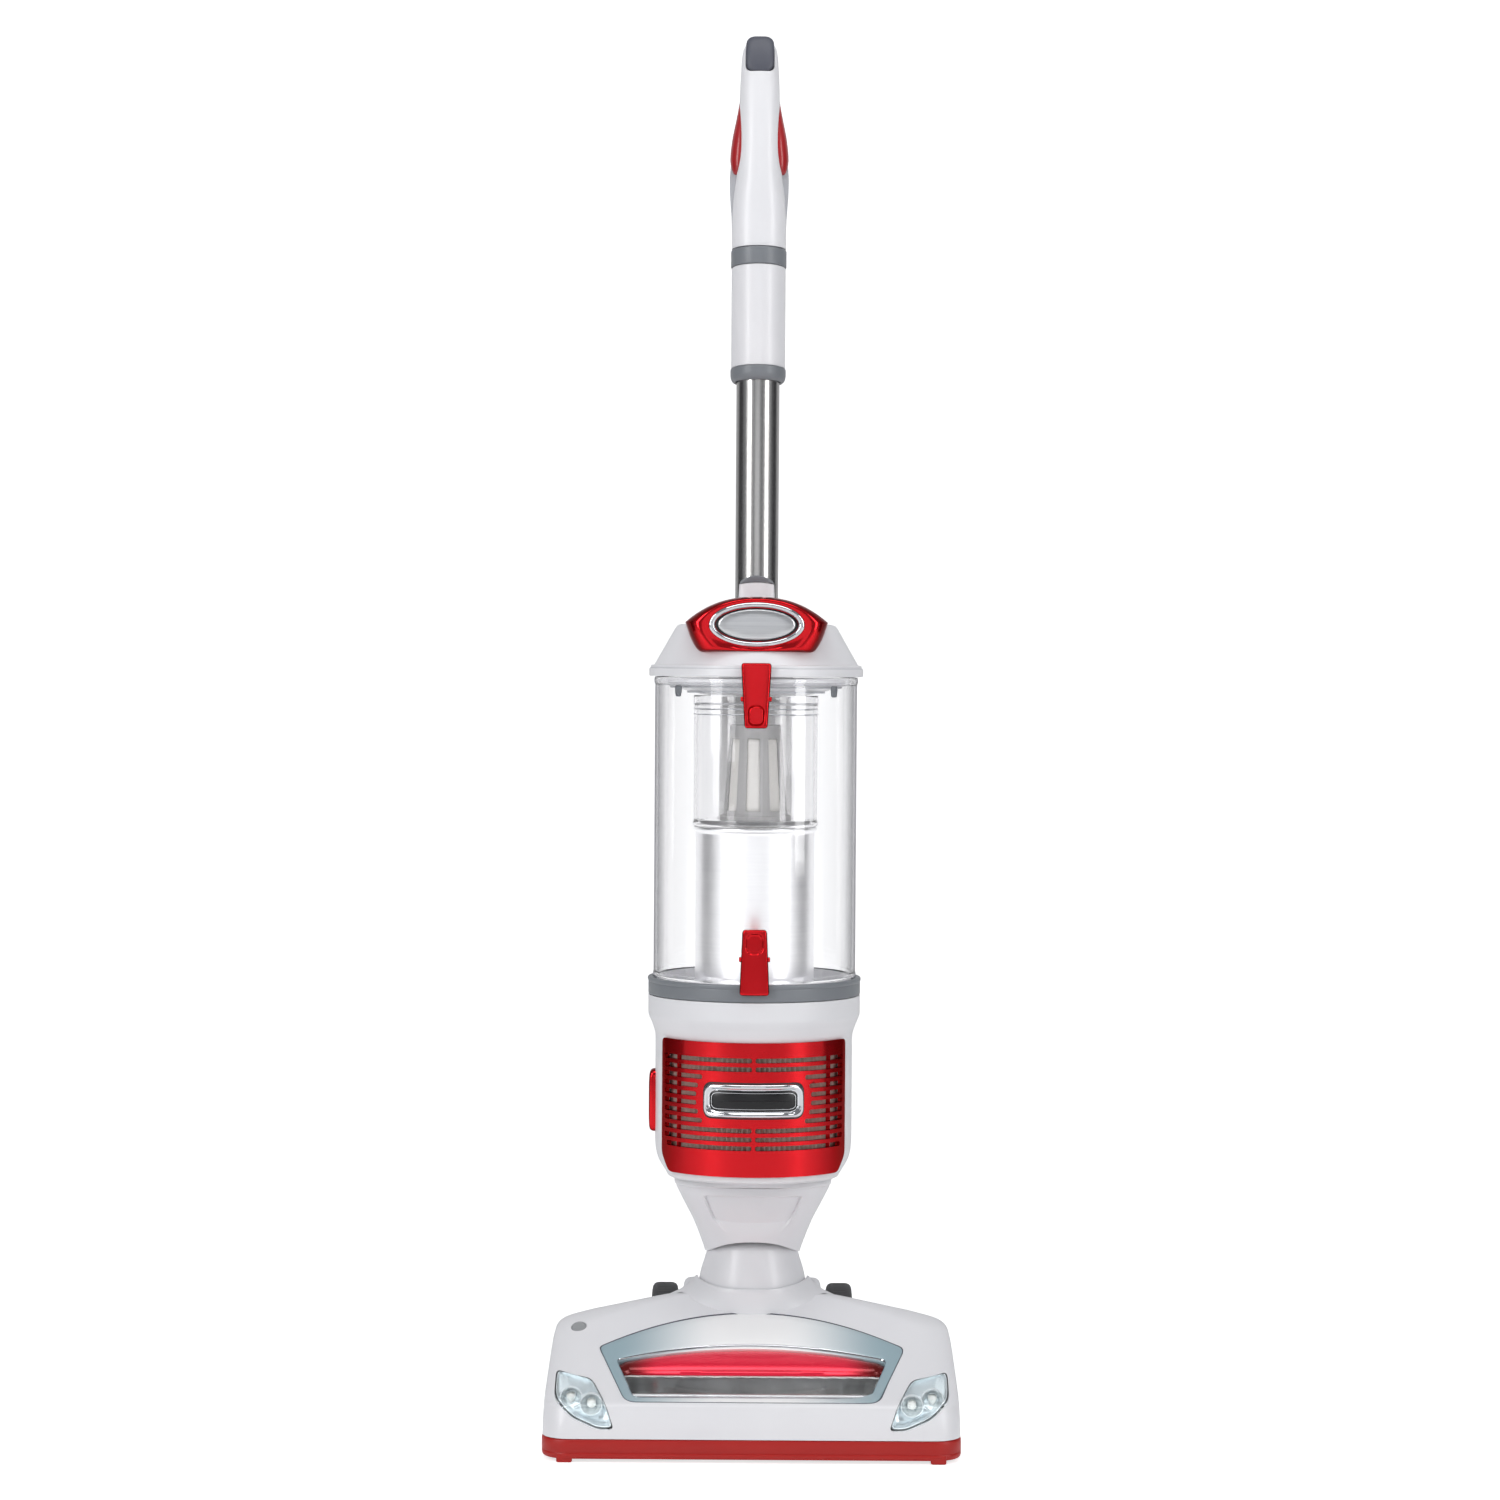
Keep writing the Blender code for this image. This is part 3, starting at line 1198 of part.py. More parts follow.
def make_ports():
    length = INLET_Y[1] - INLET_Y[0]
    stub = revolve(tube_profile(INLET_R - 0.002, INLET_R, 0, length), "hose_inlet", "ring_grey")
    stub.data.transform(Matrix.Rotation(-math.pi / 2, 4, "X"))
    stub.data.transform(Matrix.Translation((INLET_X, INLET_Y[0], INLET_Z)))
    gland = revolve([(0, 0), (0.008, 0), (0.008, 0.003), (0.0055, 0.012), (0, 0.012)], "cord_gland", "dark_plastic", segments=20)
    gland.data.transform(Matrix.Rotation(math.pi / 2, 4, "X"))
    gland.data.transform(Matrix.Translation((0, -HOUSING_R - 0.0004, GLAND_Z)))
    turn_about_axis(gland, GLAND_ANGLE)
    port_z = 1.000
    port = revolve(tube_profile(0.0125, 0.0150, 0, 0.014), "handle_hose_port", "ring_grey", segments=28)
    port.data.transform(Matrix.Rotation(-math.pi / 2, 4, "X"))
    back = handle_middle(port_z) + handle_depth(port_z)
    port.data.transform(Matrix.Translation((0, back + 0.0016, port_z)))


def main():
    clear_scene()
    make_cover()
    make_bezel_and_window()
    make_headlights()
    make_bumper()
    make_sole()
    make_brush()
    make_brush_drive()
    make_wheels()
    make_neck()
    make_upright()
    make_wand()
    make_handle()
    make_housing()
    make_grille()
    make_badge()
    make_motor()
    make_cup()
    make_lid()
    make_latch("top_latch", TOP_LATCH_Z, True, -LID_RIM_R - 0.0008 - LATCH_THICK)
    make_latch("bottom_latch", LOW_LATCH_Z, False, -COLLAR_R - 0.0008 - LATCH_THICK)
    make_ports()


main()
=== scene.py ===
import json
import math

import bmesh
import bpy
import numpy as np
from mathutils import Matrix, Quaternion, Vector

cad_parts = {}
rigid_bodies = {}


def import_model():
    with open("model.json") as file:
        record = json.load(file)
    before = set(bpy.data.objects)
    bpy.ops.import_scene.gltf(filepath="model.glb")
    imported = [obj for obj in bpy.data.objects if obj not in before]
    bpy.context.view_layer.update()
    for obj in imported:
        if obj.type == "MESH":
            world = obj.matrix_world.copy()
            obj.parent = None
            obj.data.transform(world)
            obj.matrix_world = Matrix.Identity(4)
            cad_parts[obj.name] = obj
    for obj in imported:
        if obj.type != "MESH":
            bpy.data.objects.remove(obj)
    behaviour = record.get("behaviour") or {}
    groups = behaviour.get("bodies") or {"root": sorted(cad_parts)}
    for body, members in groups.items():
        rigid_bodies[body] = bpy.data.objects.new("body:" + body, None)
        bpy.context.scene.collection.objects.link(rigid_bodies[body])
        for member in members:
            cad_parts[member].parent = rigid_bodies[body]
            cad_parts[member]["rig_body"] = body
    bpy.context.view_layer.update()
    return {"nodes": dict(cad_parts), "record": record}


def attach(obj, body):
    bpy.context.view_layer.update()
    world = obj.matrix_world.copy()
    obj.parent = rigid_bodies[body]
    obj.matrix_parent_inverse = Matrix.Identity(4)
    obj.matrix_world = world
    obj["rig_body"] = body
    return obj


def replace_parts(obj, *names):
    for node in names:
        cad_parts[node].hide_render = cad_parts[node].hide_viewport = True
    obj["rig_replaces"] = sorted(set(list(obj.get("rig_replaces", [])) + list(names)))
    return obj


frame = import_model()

TAU = math.tau
NODES = frame["nodes"]
BODY_OF = {node: thing["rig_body"] for node, thing in NODES.items()}
SLOT_OF = {entry["node"]: entry["material_slot"] for entry in frame["record"]["subparts"]}


# ---- node groups and materials --------------------------------------------
def new_group(name, inputs, outputs):
    """An empty shader group with named float inputs and outputs."""
    group = bpy.data.node_groups.new(name, "ShaderNodeTree")
    for word, value in inputs:
        socket = group.interface.new_socket(word, in_out="INPUT", socket_type="NodeSocketFloat")
        socket.default_value = value
    for word, kind in outputs:
        group.interface.new_socket(word, in_out="OUTPUT", socket_type=kind)
    return group, group.nodes.new("NodeGroupInput"), group.nodes.new("NodeGroupOutput")


def make_surface_group():
    """Fine moulding grain, faint smears in the gloss and a little settled dust, in object space."""
    group, given, made = new_group(
        "SurfaceDetail",
        (("Grain Scale", 900.0), ("Smear Scale", 14.0), ("Smear", 0.06), ("Roughness", 0.3)),
        (("Roughness", "NodeSocketFloat"), ("Height", "NodeSocketFloat"), ("Shade", "NodeSocketFloat")),
    )
    nodes, links = group.nodes, group.links
    place = nodes.new("ShaderNodeTexCoord")
    grain = nodes.new("ShaderNodeTexNoise")
    grain.inputs["Detail"].default_value = 3.0
    smear = nodes.new("ShaderNodeTexNoise")
    smear.inputs["Detail"].default_value = 5.0
    smear.inputs["Distortion"].default_value = 0.6
    links.new(place.outputs["Object"], grain.inputs["Vector"])
    links.new(place.outputs["Object"], smear.inputs["Vector"])
    links.new(given.outputs["Grain Scale"], grain.inputs["Scale"])
    links.new(given.outputs["Smear Scale"], smear.inputs["Scale"])
    centred = nodes.new("ShaderNodeMath")
    centred.operation = "SUBTRACT"
    centred.inputs[1].default_value = 0.5
    links.new(smear.outputs["Fac"], centred.inputs[0])
    scaled = nodes.new("ShaderNodeMath")
    scaled.operation = "MULTIPLY"
    links.new(centred.outputs[0], scaled.inputs[0])
    links.new(given.outputs["Smear"], scaled.inputs[1])
    total = nodes.new("ShaderNodeMath")
    total.operation = "ADD"
    total.use_clamp = True
    links.new(scaled.outputs[0], total.inputs[0])
    links.new(given.outputs["Roughness"], total.inputs[1])
    links.new(total.outputs[0], made.inputs["Roughness"])
    links.new(grain.outputs["Fac"], made.inputs["Height"])
    links.new(smear.outputs["Fac"], made.inputs["Shade"])
    return group


def make_brush_lines_group():
    """Long fine scratches along one direction: noise stretched by a set of scales."""
    group, given, made = new_group(
        "BrushLines",
        (("Across X", 900.0), ("Across Y", 900.0), ("Along Z", 6.0)),
        (("Height", "NodeSocketFloat"), ("Streak", "NodeSocketFloat")),
    )
    nodes, links = group.nodes, group.links
    place = nodes.new("ShaderNodeTexCoord")
    scales = nodes.new("ShaderNodeCombineXYZ")
    for count, word in enumerate(("Across X", "Across Y", "Along Z")):
        links.new(given.outputs[word], scales.inputs[count])
    stretched = nodes.new("ShaderNodeVectorMath")
    stretched.operation = "MULTIPLY"
    links.new(place.outputs["Object"], stretched.inputs[0])
    links.new(scales.outputs[0], stretched.inputs[1])
    noise = nodes.new("ShaderNodeTexNoise")
    noise.inputs["Scale"].default_value = 1.0
    noise.inputs["Detail"].default_value = 4.0
    links.new(stretched.outputs[0], noise.inputs["Vector"])
    links.new(noise.outputs["Fac"], made.inputs["Height"])
    links.new(noise.outputs["Fac"], made.inputs["Streak"])
    return group


SURFACE = make_surface_group()
BRUSH_LINES = make_brush_lines_group()


def start_material(name):
    """An empty node material: its own tree and its Principled shader."""
    made = bpy.data.materials.new(name)
    made.use_nodes = True
    tree = made.node_tree
    shader = tree.nodes["Principled BSDF"]
    return made, tree, shader


def solid_material(name, dark, light, roughness, metallic=0.0, coat=0.0, coat_roughness=0.03,
                   grain=900.0, bump=0.02, smear=0.08, sheen=0.0, edge_tint=(1.0, 1.0, 1.0)):
    """A moulded or plated finish: two near shades mixed by slow noise, with grain in the bump."""
    made, tree, shader = start_material(name)
    detail = tree.nodes.new("ShaderNodeGroup")
    detail.node_tree = SURFACE
    detail.inputs["Grain Scale"].default_value = grain
    detail.inputs["Smear"].default_value = smear
    detail.inputs["Roughness"].default_value = roughness
    shades = tree.nodes.new("ShaderNodeMix")
    shades.data_type = "RGBA"
    shades.inputs[6].default_value = (*dark, 1.0)
    shades.inputs[7].default_value = (*light, 1.0)
    tree.links.new(detail.outputs["Shade"], shades.inputs[0])
    tree.links.new(shades.outputs[2], shader.inputs["Base Color"])
    tree.links.new(detail.outputs["Roughness"], shader.inputs["Roughness"])
    relief = tree.nodes.new("ShaderNodeBump")
    relief.inputs["Strength"].default_value = bump
    relief.inputs["Distance"].default_value = 0.001
    tree.links.new(detail.outputs["Height"], relief.inputs["Height"])
    tree.links.new(relief.outputs["Normal"], shader.inputs["Normal"])
    shader.inputs["Metallic"].default_value = metallic
    shader.inputs["Coat Weight"].default_value = coat
    shader.inputs["Coat Roughness"].default_value = coat_roughness
    shader.inputs["Sheen Weight"].default_value = sheen
    shader.inputs["Specular Tint"].default_value = (*edge_tint, 1.0)
    return made


def brushed_material(name, dark, light, roughness, scales, bump=0.05):
    """Plain metal with long fine scratches that shade the colour and the gloss."""
    made, tree, shader = start_material(name)
    lines = tree.nodes.new("ShaderNodeGroup")
    lines.node_tree = BRUSH_LINES
    for word, value in zip(("Across X", "Across Y", "Along Z"), scales):
        lines.inputs[word].default_value = value
    shades = tree.nodes.new("ShaderNodeMix")
    shades.data_type = "RGBA"
    shades.inputs[6].default_value = (*dark, 1.0)
    shades.inputs[7].default_value = (*light, 1.0)
    tree.links.new(lines.outputs["Streak"], shades.inputs[0])
    tree.links.new(shades.outputs[2], shader.inputs["Base Color"])
    gloss = tree.nodes.new("ShaderNodeMapRange")
    gloss.inputs["To Min"].default_value = roughness - 0.07
    gloss.inputs["To Max"].default_value = roughness + 0.10
    tree.links.new(lines.outputs["Streak"], gloss.inputs["Value"])
    tree.links.new(gloss.outputs["Result"], shader.inputs["Roughness"])
    relief = tree.nodes.new("ShaderNodeBump")
    relief.inputs["Strength"].default_value = bump
    relief.inputs["Distance"].default_value = 0.0005
    tree.links.new(lines.outputs["Height"], relief.inputs["Height"])
    tree.links.new(relief.outputs["Normal"], shader.inputs["Normal"])
    shader.inputs["Metallic"].default_value = 1.0
    return made


def woven_material(name, dark, light, pitch):
    """A fine weave: two crossed bands of waves, in height and round the part, shade the threads and their relief."""
    made, tree, shader = start_material(name)
    place = tree.nodes.new("ShaderNodeTexCoord")
    split = tree.nodes.new("ShaderNodeSeparateXYZ")
    tree.links.new(place.outputs["Object"], split.inputs[0])
    turn = tree.nodes.new("ShaderNodeMath")
    turn.operation = "ARCTAN2"
    tree.links.new(split.outputs["Y"], turn.inputs[0])
    tree.links.new(split.outputs["X"], turn.inputs[1])
    waves = []
    for source, scale in ((turn.outputs[0], 0.023 * TAU / pitch), (split.outputs["Z"], TAU / pitch)):
        scaled = tree.nodes.new("ShaderNodeMath")
        scaled.operation = "MULTIPLY"
        scaled.inputs[1].default_value = scale
        tree.links.new(source, scaled.inputs[0])
        wave = tree.nodes.new("ShaderNodeMath")
        wave.operation = "SINE"
        tree.links.new(scaled.outputs[0], wave.inputs[0])
        waves.append(wave)
    thread = tree.nodes.new("ShaderNodeMath")
    thread.operation = "MAXIMUM"
    tree.links.new(waves[0].outputs[0], thread.inputs[0])
    tree.links.new(waves[1].outputs[0], thread.inputs[1])
    shades = tree.nodes.new("ShaderNodeMix")
    shades.data_type = "RGBA"
    shades.inputs[6].default_value = (*dark, 1.0)
    shades.inputs[7].default_value = (*light, 1.0)
    tree.links.new(thread.outputs[0], shades.inputs[0])
    tree.links.new(shades.outputs[2], shader.inputs["Base Color"])
    relief = tree.nodes.new("ShaderNodeBump")
    relief.inputs["Strength"].default_value = 0.4
    relief.inputs["Distance"].default_value = 0.0003
    tree.links.new(thread.outputs[0], relief.inputs["Height"])
    tree.links.new(relief.outputs["Normal"], shader.inputs["Normal"])
    shader.inputs["Roughness"].default_value = 0.6
    return made


def painted_highlight_material(name, end, middle, near, far, roughness=0.36, metallic=0.25):
    """A paint with a painted highlight and painted shade: its colour changes from a pale middle colour to a darker
    end colour, by distance across the part.
    """
    made = solid_material(name, end, end, roughness, metallic=metallic, coat=0.15, bump=0.02)
    tree = made.node_tree
    shader = tree.nodes["Principled BSDF"]
    place = tree.nodes.new("ShaderNodeTexCoord")
    split = tree.nodes.new("ShaderNodeSeparateXYZ")
    tree.links.new(place.outputs["Object"], split.inputs[0])
    away = tree.nodes.new("ShaderNodeMath")
    away.operation = "ABSOLUTE"
    tree.links.new(split.outputs["X"], away.inputs[0])
    share = tree.nodes.new("ShaderNodeMapRange")
    share.interpolation_type = "SMOOTHSTEP"
    share.inputs["From Min"].default_value = near
    share.inputs["From Max"].default_value = far
    tree.links.new(away.outputs[0], share.inputs["Value"])
    shades = tree.nodes.new("ShaderNodeMix")
    shades.data_type = "RGBA"
    shades.inputs[6].default_value = (*middle, 1.0)
    shades.inputs[7].default_value = (*end, 1.0)
    tree.links.new(share.outputs["Result"], shades.inputs[0])
    tree.links.new(shades.outputs[2], shader.inputs["Base Color"])
    return made


def paint_edge_shade(made, dark, low, high):
    """Turns a lacquer's colour dark where it is seen at a slant: partly the deeper tint of a longer way through
    tinted lacquer, partly painted shade for the dark reflections at the edges.
    """
    tree = made.node_tree
    shader = tree.nodes["Principled BSDF"]
    source = shader.inputs["Base Color"].links[0].from_socket
    facing = tree.nodes.new("ShaderNodeLayerWeight")
    share = tree.nodes.new("ShaderNodeMapRange")
    share.interpolation_type = "SMOOTHSTEP"
    share.inputs["From Min"].default_value = low
    share.inputs["From Max"].default_value = high
    tree.links.new(facing.outputs["Facing"], share.inputs["Value"])
    shades = tree.nodes.new("ShaderNodeMix")
    shades.data_type = "RGBA"
    shades.inputs[7].default_value = (*dark, 1.0)
    tree.links.new(share.outputs["Result"], shades.inputs[0])
    tree.links.new(source, shades.inputs[6])
    tree.links.new(shades.outputs[2], shader.inputs["Base Color"])


def clear_material(name, tint, roughness=0.02, ior=1.46, smear=0.03, rim=(0.03, 0.027, 0.050), blend=0.5,
                   start=0.42, full=1.0):
    """Clear moulded plastic: full transmission with faint smears in its gloss, and painted shade at its edges, where
    colour and specular tint turn to the rim colour as the surface is seen at a slant.
    """
    made, tree, shader = start_material(name)
    detail = tree.nodes.new("ShaderNodeGroup")
    detail.node_tree = SURFACE
    detail.inputs["Smear"].default_value = smear
    detail.inputs["Roughness"].default_value = roughness
    tree.links.new(detail.outputs["Roughness"], shader.inputs["Roughness"])
    # Painted shade: the colour and the specular tint go to the rim colour where the glass is seen at a slant.
    facing = tree.nodes.new("ShaderNodeLayerWeight")
    facing.inputs["Blend"].default_value = blend
    edge = tree.nodes.new("ShaderNodeMapRange")
    edge.inputs["From Min"].default_value = start
    edge.inputs["From Max"].default_value = full
    tree.links.new(facing.outputs["Facing"], edge.inputs["Value"])
    shades = tree.nodes.new("ShaderNodeMix")
    shades.data_type = "RGBA"
    shades.inputs[6].default_value = (*tint, 1.0)
    shades.inputs[7].default_value = (*rim, 1.0)
    tree.links.new(edge.outputs["Result"], shades.inputs[0])
    tree.links.new(shades.outputs[2], shader.inputs["Base Color"])
    tree.links.new(shades.outputs[2], shader.inputs["Specular Tint"])
    path = tree.nodes.new("ShaderNodeLightPath")
    cover = tree.nodes.new("ShaderNodeMapRange")
    cover.inputs["To Min"].default_value = 1.0
    cover.inputs["To Max"].default_value = 0.02
    tree.links.new(path.outputs["Is Shadow Ray"], cover.inputs["Value"])
    tree.links.new(cover.outputs["Result"], shader.inputs["Alpha"])
    shader.inputs["Transmission Weight"].default_value = 1.0
    shader.inputs["IOR"].default_value = ior
    shader.inputs["Metallic"].default_value = 0.0
    return made


WHITE = solid_material("gloss_white", (0.80, 0.80, 0.83), (0.86, 0.86, 0.88), 0.34, coat=0.12, bump=0.015)
CANDY = solid_material("candy_red", (0.70, 0.012, 0.016), (0.86, 0.020, 0.030), 0.17, metallic=0.88,
                       coat=0.12,
                       bump=0.006, smear=0.05, edge_tint=(0.55, 0.04, 0.05))
# Painted shade on the candy red: darker where the surface turns away from view.
paint_edge_shade(CANDY, (0.20, 0.003, 0.003), 0.12, 0.75)
FLAT_RED = solid_material("flat_red", (0.40, 0.006, 0.003), (0.48, 0.010, 0.006), 0.42, bump=0.03)
SLATE = solid_material("slate_grey", (0.075, 0.080, 0.105), (0.10, 0.105, 0.13), 0.46, bump=0.10,
                       grain=1400.0)
RING_GREY = solid_material("ring_grey", (0.19, 0.205, 0.225), (0.23, 0.245, 0.265), 0.38, bump=0.05)
PALE_GREY = solid_material("pale_grey", (0.50, 0.51, 0.54), (0.56, 0.57, 0.60), 0.38, bump=0.05)
# Painted reflection on the bezel: white across its middle, blue-grey toward its ends.
SILVER_BLUE = painted_highlight_material("silver_blue", (0.33, 0.45, 0.50), (1.0, 1.0, 1.0), 0.020, 0.110, 0.42, 0.05)
# Painted highlight on the red band: bright pink across its middle, dark red toward its ends.
BAND_RED = painted_highlight_material("band_red", (0.16, 0.003, 0.003), (0.95, 0.018, 0.060), 0.070, 0.100, 0.22, 0.35)
# Painted light: the spine's white is lighter than the body's, to lift it out of the shade behind the cup.
SPINE_LIT_WHITE = solid_material("spine_white_painted_light", (0.88, 0.875, 0.87), (0.92, 0.915, 0.91), 0.75, bump=0.03)
CHROME = solid_material("chrome_trim", (0.74, 0.75, 0.78), (0.84, 0.85, 0.88), 0.06, metallic=1.0,
                        bump=0.004,
                        smear=0.05)
SATIN = brushed_material("satin_silver", (0.88, 0.88, 0.90), (1.0, 1.0, 1.0), 0.36, (6.0, 6.0, 700.0), 0.03)
DISC_METAL = brushed_material("disc_metal", (0.62, 0.63, 0.65), (0.88, 0.89, 0.90), 0.30,
                              (8.0, 700.0, 900.0), 0.04)
TUBE_METAL = brushed_material("wand_metal", (0.50, 0.49, 0.48), (0.70, 0.69, 0.68), 0.22,
                              (1200.0, 1200.0, 5.0), 0.05)
# Painted reflection: large light and dark blotches on the panel behind the window, for the reflections seen in it.
HOOD_PAINTED_REFLECTION = brushed_material("hood_painted_reflection", (0.10, 0.09, 0.088), (1.0, 0.98, 0.97), 0.35, (26.0, 9.0, 9.0),
                              0.05)
HOOD_PAINTED_REFLECTION.node_tree.nodes["Principled BSDF"].inputs["Metallic"].default_value = 0.1
STEEL = brushed_material("pin_steel", (0.42, 0.42, 0.43), (0.60, 0.60, 0.61), 0.28, (7.0, 900.0, 900.0),
                         0.04)
MOTOR_METAL = brushed_material("motor_metal", (0.26, 0.26, 0.27), (0.40, 0.40, 0.41), 0.34,
                               (500.0, 500.0, 30.0), 0.06)
DARK = solid_material("dark_plastic", (0.016, 0.016, 0.018), (0.028, 0.028, 0.030), 0.42, bump=0.06)
BLACK_GLOSS = solid_material("black_gloss", (0.004, 0.004, 0.005), (0.010, 0.010, 0.012), 0.30, bump=0.01)
INDICATOR_GREY = solid_material("indicator_grey", (0.30, 0.31, 0.32), (0.36, 0.37, 0.38), 0.35, coat=0.2,
                                bump=0.03)
RUBBER = solid_material("rubber_black", (0.012, 0.012, 0.012), (0.022, 0.022, 0.022), 0.72, bump=0.14)
BRISTLE = solid_material("bristle", (0.05, 0.05, 0.055), (0.16, 0.16, 0.17), 0.72, bump=0.10, sheen=0.3)
PAPER = solid_material("pleat_paper", (0.84, 0.76, 0.68), (0.96, 0.90, 0.83), 0.88, bump=0.4, grain=600.0)
FOAM = solid_material("foam_blue", (0.05, 0.10, 0.24), (0.09, 0.16, 0.34), 0.95, bump=0.9, grain=420.0)
MESH = woven_material("mesh_grey", (0.40, 0.39, 0.37), (0.88, 0.86, 0.83), 0.00075)
GRIP_RED = solid_material("grip_red", (0.36, 0.010, 0.014), (0.44, 0.016, 0.020), 0.30, coat=0.3, bump=0.02)
WHEEL_GREY = solid_material("wheel_grey", (0.055, 0.055, 0.058), (0.085, 0.085, 0.088), 0.55, bump=0.15)
ROLL_GREY = solid_material("roll_grey", (0.16, 0.16, 0.165), (0.24, 0.24, 0.245), 0.30, coat=0.3, bump=0.03)
CONE_GREY = solid_material("cone_grey", (0.30, 0.295, 0.295), (0.36, 0.355, 0.355), 0.5, bump=0.05)
# Painted shade on the clear parts' edges: dark violet on the cup, pale grey on the cyclone, pale blue-grey on the
# lenses.
CLEAR = clear_material("clear_cup", (0.99, 0.99, 0.995), rim=(0.03, 0.027, 0.045), start=0.50, full=0.86)
CLEAR_INNER = clear_material("clear_inner", (0.995, 0.994, 0.998), rim=(0.42, 0.40, 0.46), start=0.66)
LENS = clear_material("clear_lens", (0.95, 0.985, 0.995), 0.03, rim=(0.75, 0.80, 0.84), blend=0.35,
                      start=0.6)
BOWL_SILVER = solid_material("bowl_silver", (0.84, 0.90, 0.93), (0.94, 0.98, 1.0), 0.24, metallic=0.65,
                             bump=0.01)
LAMP = solid_material("lamp_face", (0.75, 0.75, 0.72), (0.90, 0.90, 0.86), 0.15, coat=0.6)
MATERIAL_OF = {
    "gloss_white": WHITE, "candy_red": CANDY, "flat_red": FLAT_RED, "slate_grey": SLATE,
    "ring_grey": RING_GREY, "pale_grey": PALE_GREY, "silver_blue": SILVER_BLUE, "chrome_trim": CHROME,
    "wand_metal": TUBE_METAL, "satin_silver": SATIN, "clear_plastic": CLEAR, "dark_plastic": DARK,
    "rubber_black": RUBBER, "bristle": BRISTLE, "pleat_paper": PAPER, "foam_blue": FOAM,
    "motor_metal": MOTOR_METAL, "pin_steel": STEEL,
}


# ---- building pieces ------------------------------------------------------
def quads(rows, columns, wrap=True, loop=False):
    """The quads of a grid of points, wrapped round its columns, and joined end to end if looped."""
    down = np.arange(rows if loop else rows - 1)
    across = np.arange(columns if wrap else columns - 1)
    row, column = np.meshgrid(down, across, indexing="ij")
    after_row = (row + 1) % rows
    after_column = (column + 1) % columns
    corners = (row * columns + column, row * columns + after_column,
               after_row * columns + after_column, after_row * columns + column)
    return np.stack([corner.ravel() for corner in corners], axis=1)


def add_mesh(name, points, faces):
    """An object from arrays of points and of quads."""
    mesh = bpy.data.meshes.new(name)
    points = np.asarray(points, np.float32).reshape(-1, 3)
    faces = np.asarray(faces, np.int32)
    mesh.vertices.add(len(points))
    mesh.vertices.foreach_set("co", points.ravel())
    mesh.loops.add(faces.size)
    mesh.loops.foreach_set("vertex_index", faces.ravel())
    mesh.polygons.add(len(faces))
    mesh.polygons.foreach_set("loop_start", np.arange(0, faces.size, faces.shape[1], dtype=np.int32))
    mesh.update(calc_edges=True)
    mesh.validate()
    made = bpy.data.objects.new(name, mesh)
    bpy.context.scene.collection.objects.link(made)
    return made


def settle(made, material, node, hides=(), sharp=38.0, merge=1e-6, recalculate=True, body=None):
    """Merges doubles, turns faces outward, shades smooth, gives the finish and lets it ride on its body."""
    shape = bmesh.new()
    shape.from_mesh(made.data)
    bmesh.ops.remove_doubles(shape, verts=shape.verts[:], dist=merge)
    if recalculate:
        bmesh.ops.recalc_face_normals(shape, faces=shape.faces[:])
    shape.to_mesh(made.data)
    shape.free()
    made.data.materials.clear()
    made.data.materials.append(material)
    made.data.shade_smooth()
    made.data.set_sharp_from_angle(angle=math.radians(sharp))
    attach(made, body or BODY_OF[node])
    if hides:
        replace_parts(made, *hides)
    return made


def capped(name, grid, cap_start=True, cap_end=True):
    """A grid of rings as a body, with each open end drawn in to its middle."""
    rings = [grid]
    if cap_start:
        rings.insert(0, np.repeat(grid[0].mean(0)[None], grid.shape[1], 0)[None])
    if cap_end:
        rings.append(np.repeat(grid[-1].mean(0)[None], grid.shape[1], 0)[None])
    whole = np.concatenate(rings)
    return add_mesh(name, whole, quads(len(whole), whole.shape[1]))


def rounded(profile, radius, steps=4, closed=False):
    """A polyline with each corner replaced by a short curve, cut back by at most the radius."""
    points = np.asarray(profile, float)
    count = len(points)
    out = []
    for place in range(count):
        if not closed and place in (0, count - 1):
            out.append(points[place])
            continue
        here = points[place]
        before = points[place - 1]
        after = points[(place + 1) % count]
        cut_before = min(radius, 0.45 * np.linalg.norm(before - here))
        cut_after = min(radius, 0.45 * np.linalg.norm(after - here))
        start = here + (before - here) * cut_before / max(np.linalg.norm(before - here), 1e-9)
        end = here + (after - here) * cut_after / max(np.linalg.norm(after - here), 1e-9)
        share = np.linspace(0, 1, steps + 1)[:, None]
        out.extend((1 - share) ** 2 * start + 2 * share * (1 - share) * here + share ** 2 * end)
    return np.array(out)


def lathe(name, profile, centre=(0.0, 0.0), count=128, radius=0.0008, steps=4, ripple=None):
    """A turned body: each (radius, height) of the profile swept round the upright line at the centre.

    A closed loop stays off the axis, and an open profile starts and ends on it.
    """
    profile = np.asarray(profile, float)
    closed = profile[0][0] > 1e-6 or profile[-1][0] > 1e-6
    line = rounded(profile, radius, steps, closed)
    angle = np.arange(count) * TAU / count
    reach = line[:, 0][:, None] * np.ones(count)[None]
    height = line[:, 1][:, None] * np.ones(count)[None]
    if ripple is not None:
        reach = reach + ripple(reach, height, angle[None])
    grid = np.stack([centre[0] + reach * np.cos(angle), centre[1] + reach * np.sin(angle), height], axis=-1)
    return add_mesh(name, grid, quads(len(grid), count, True, closed))


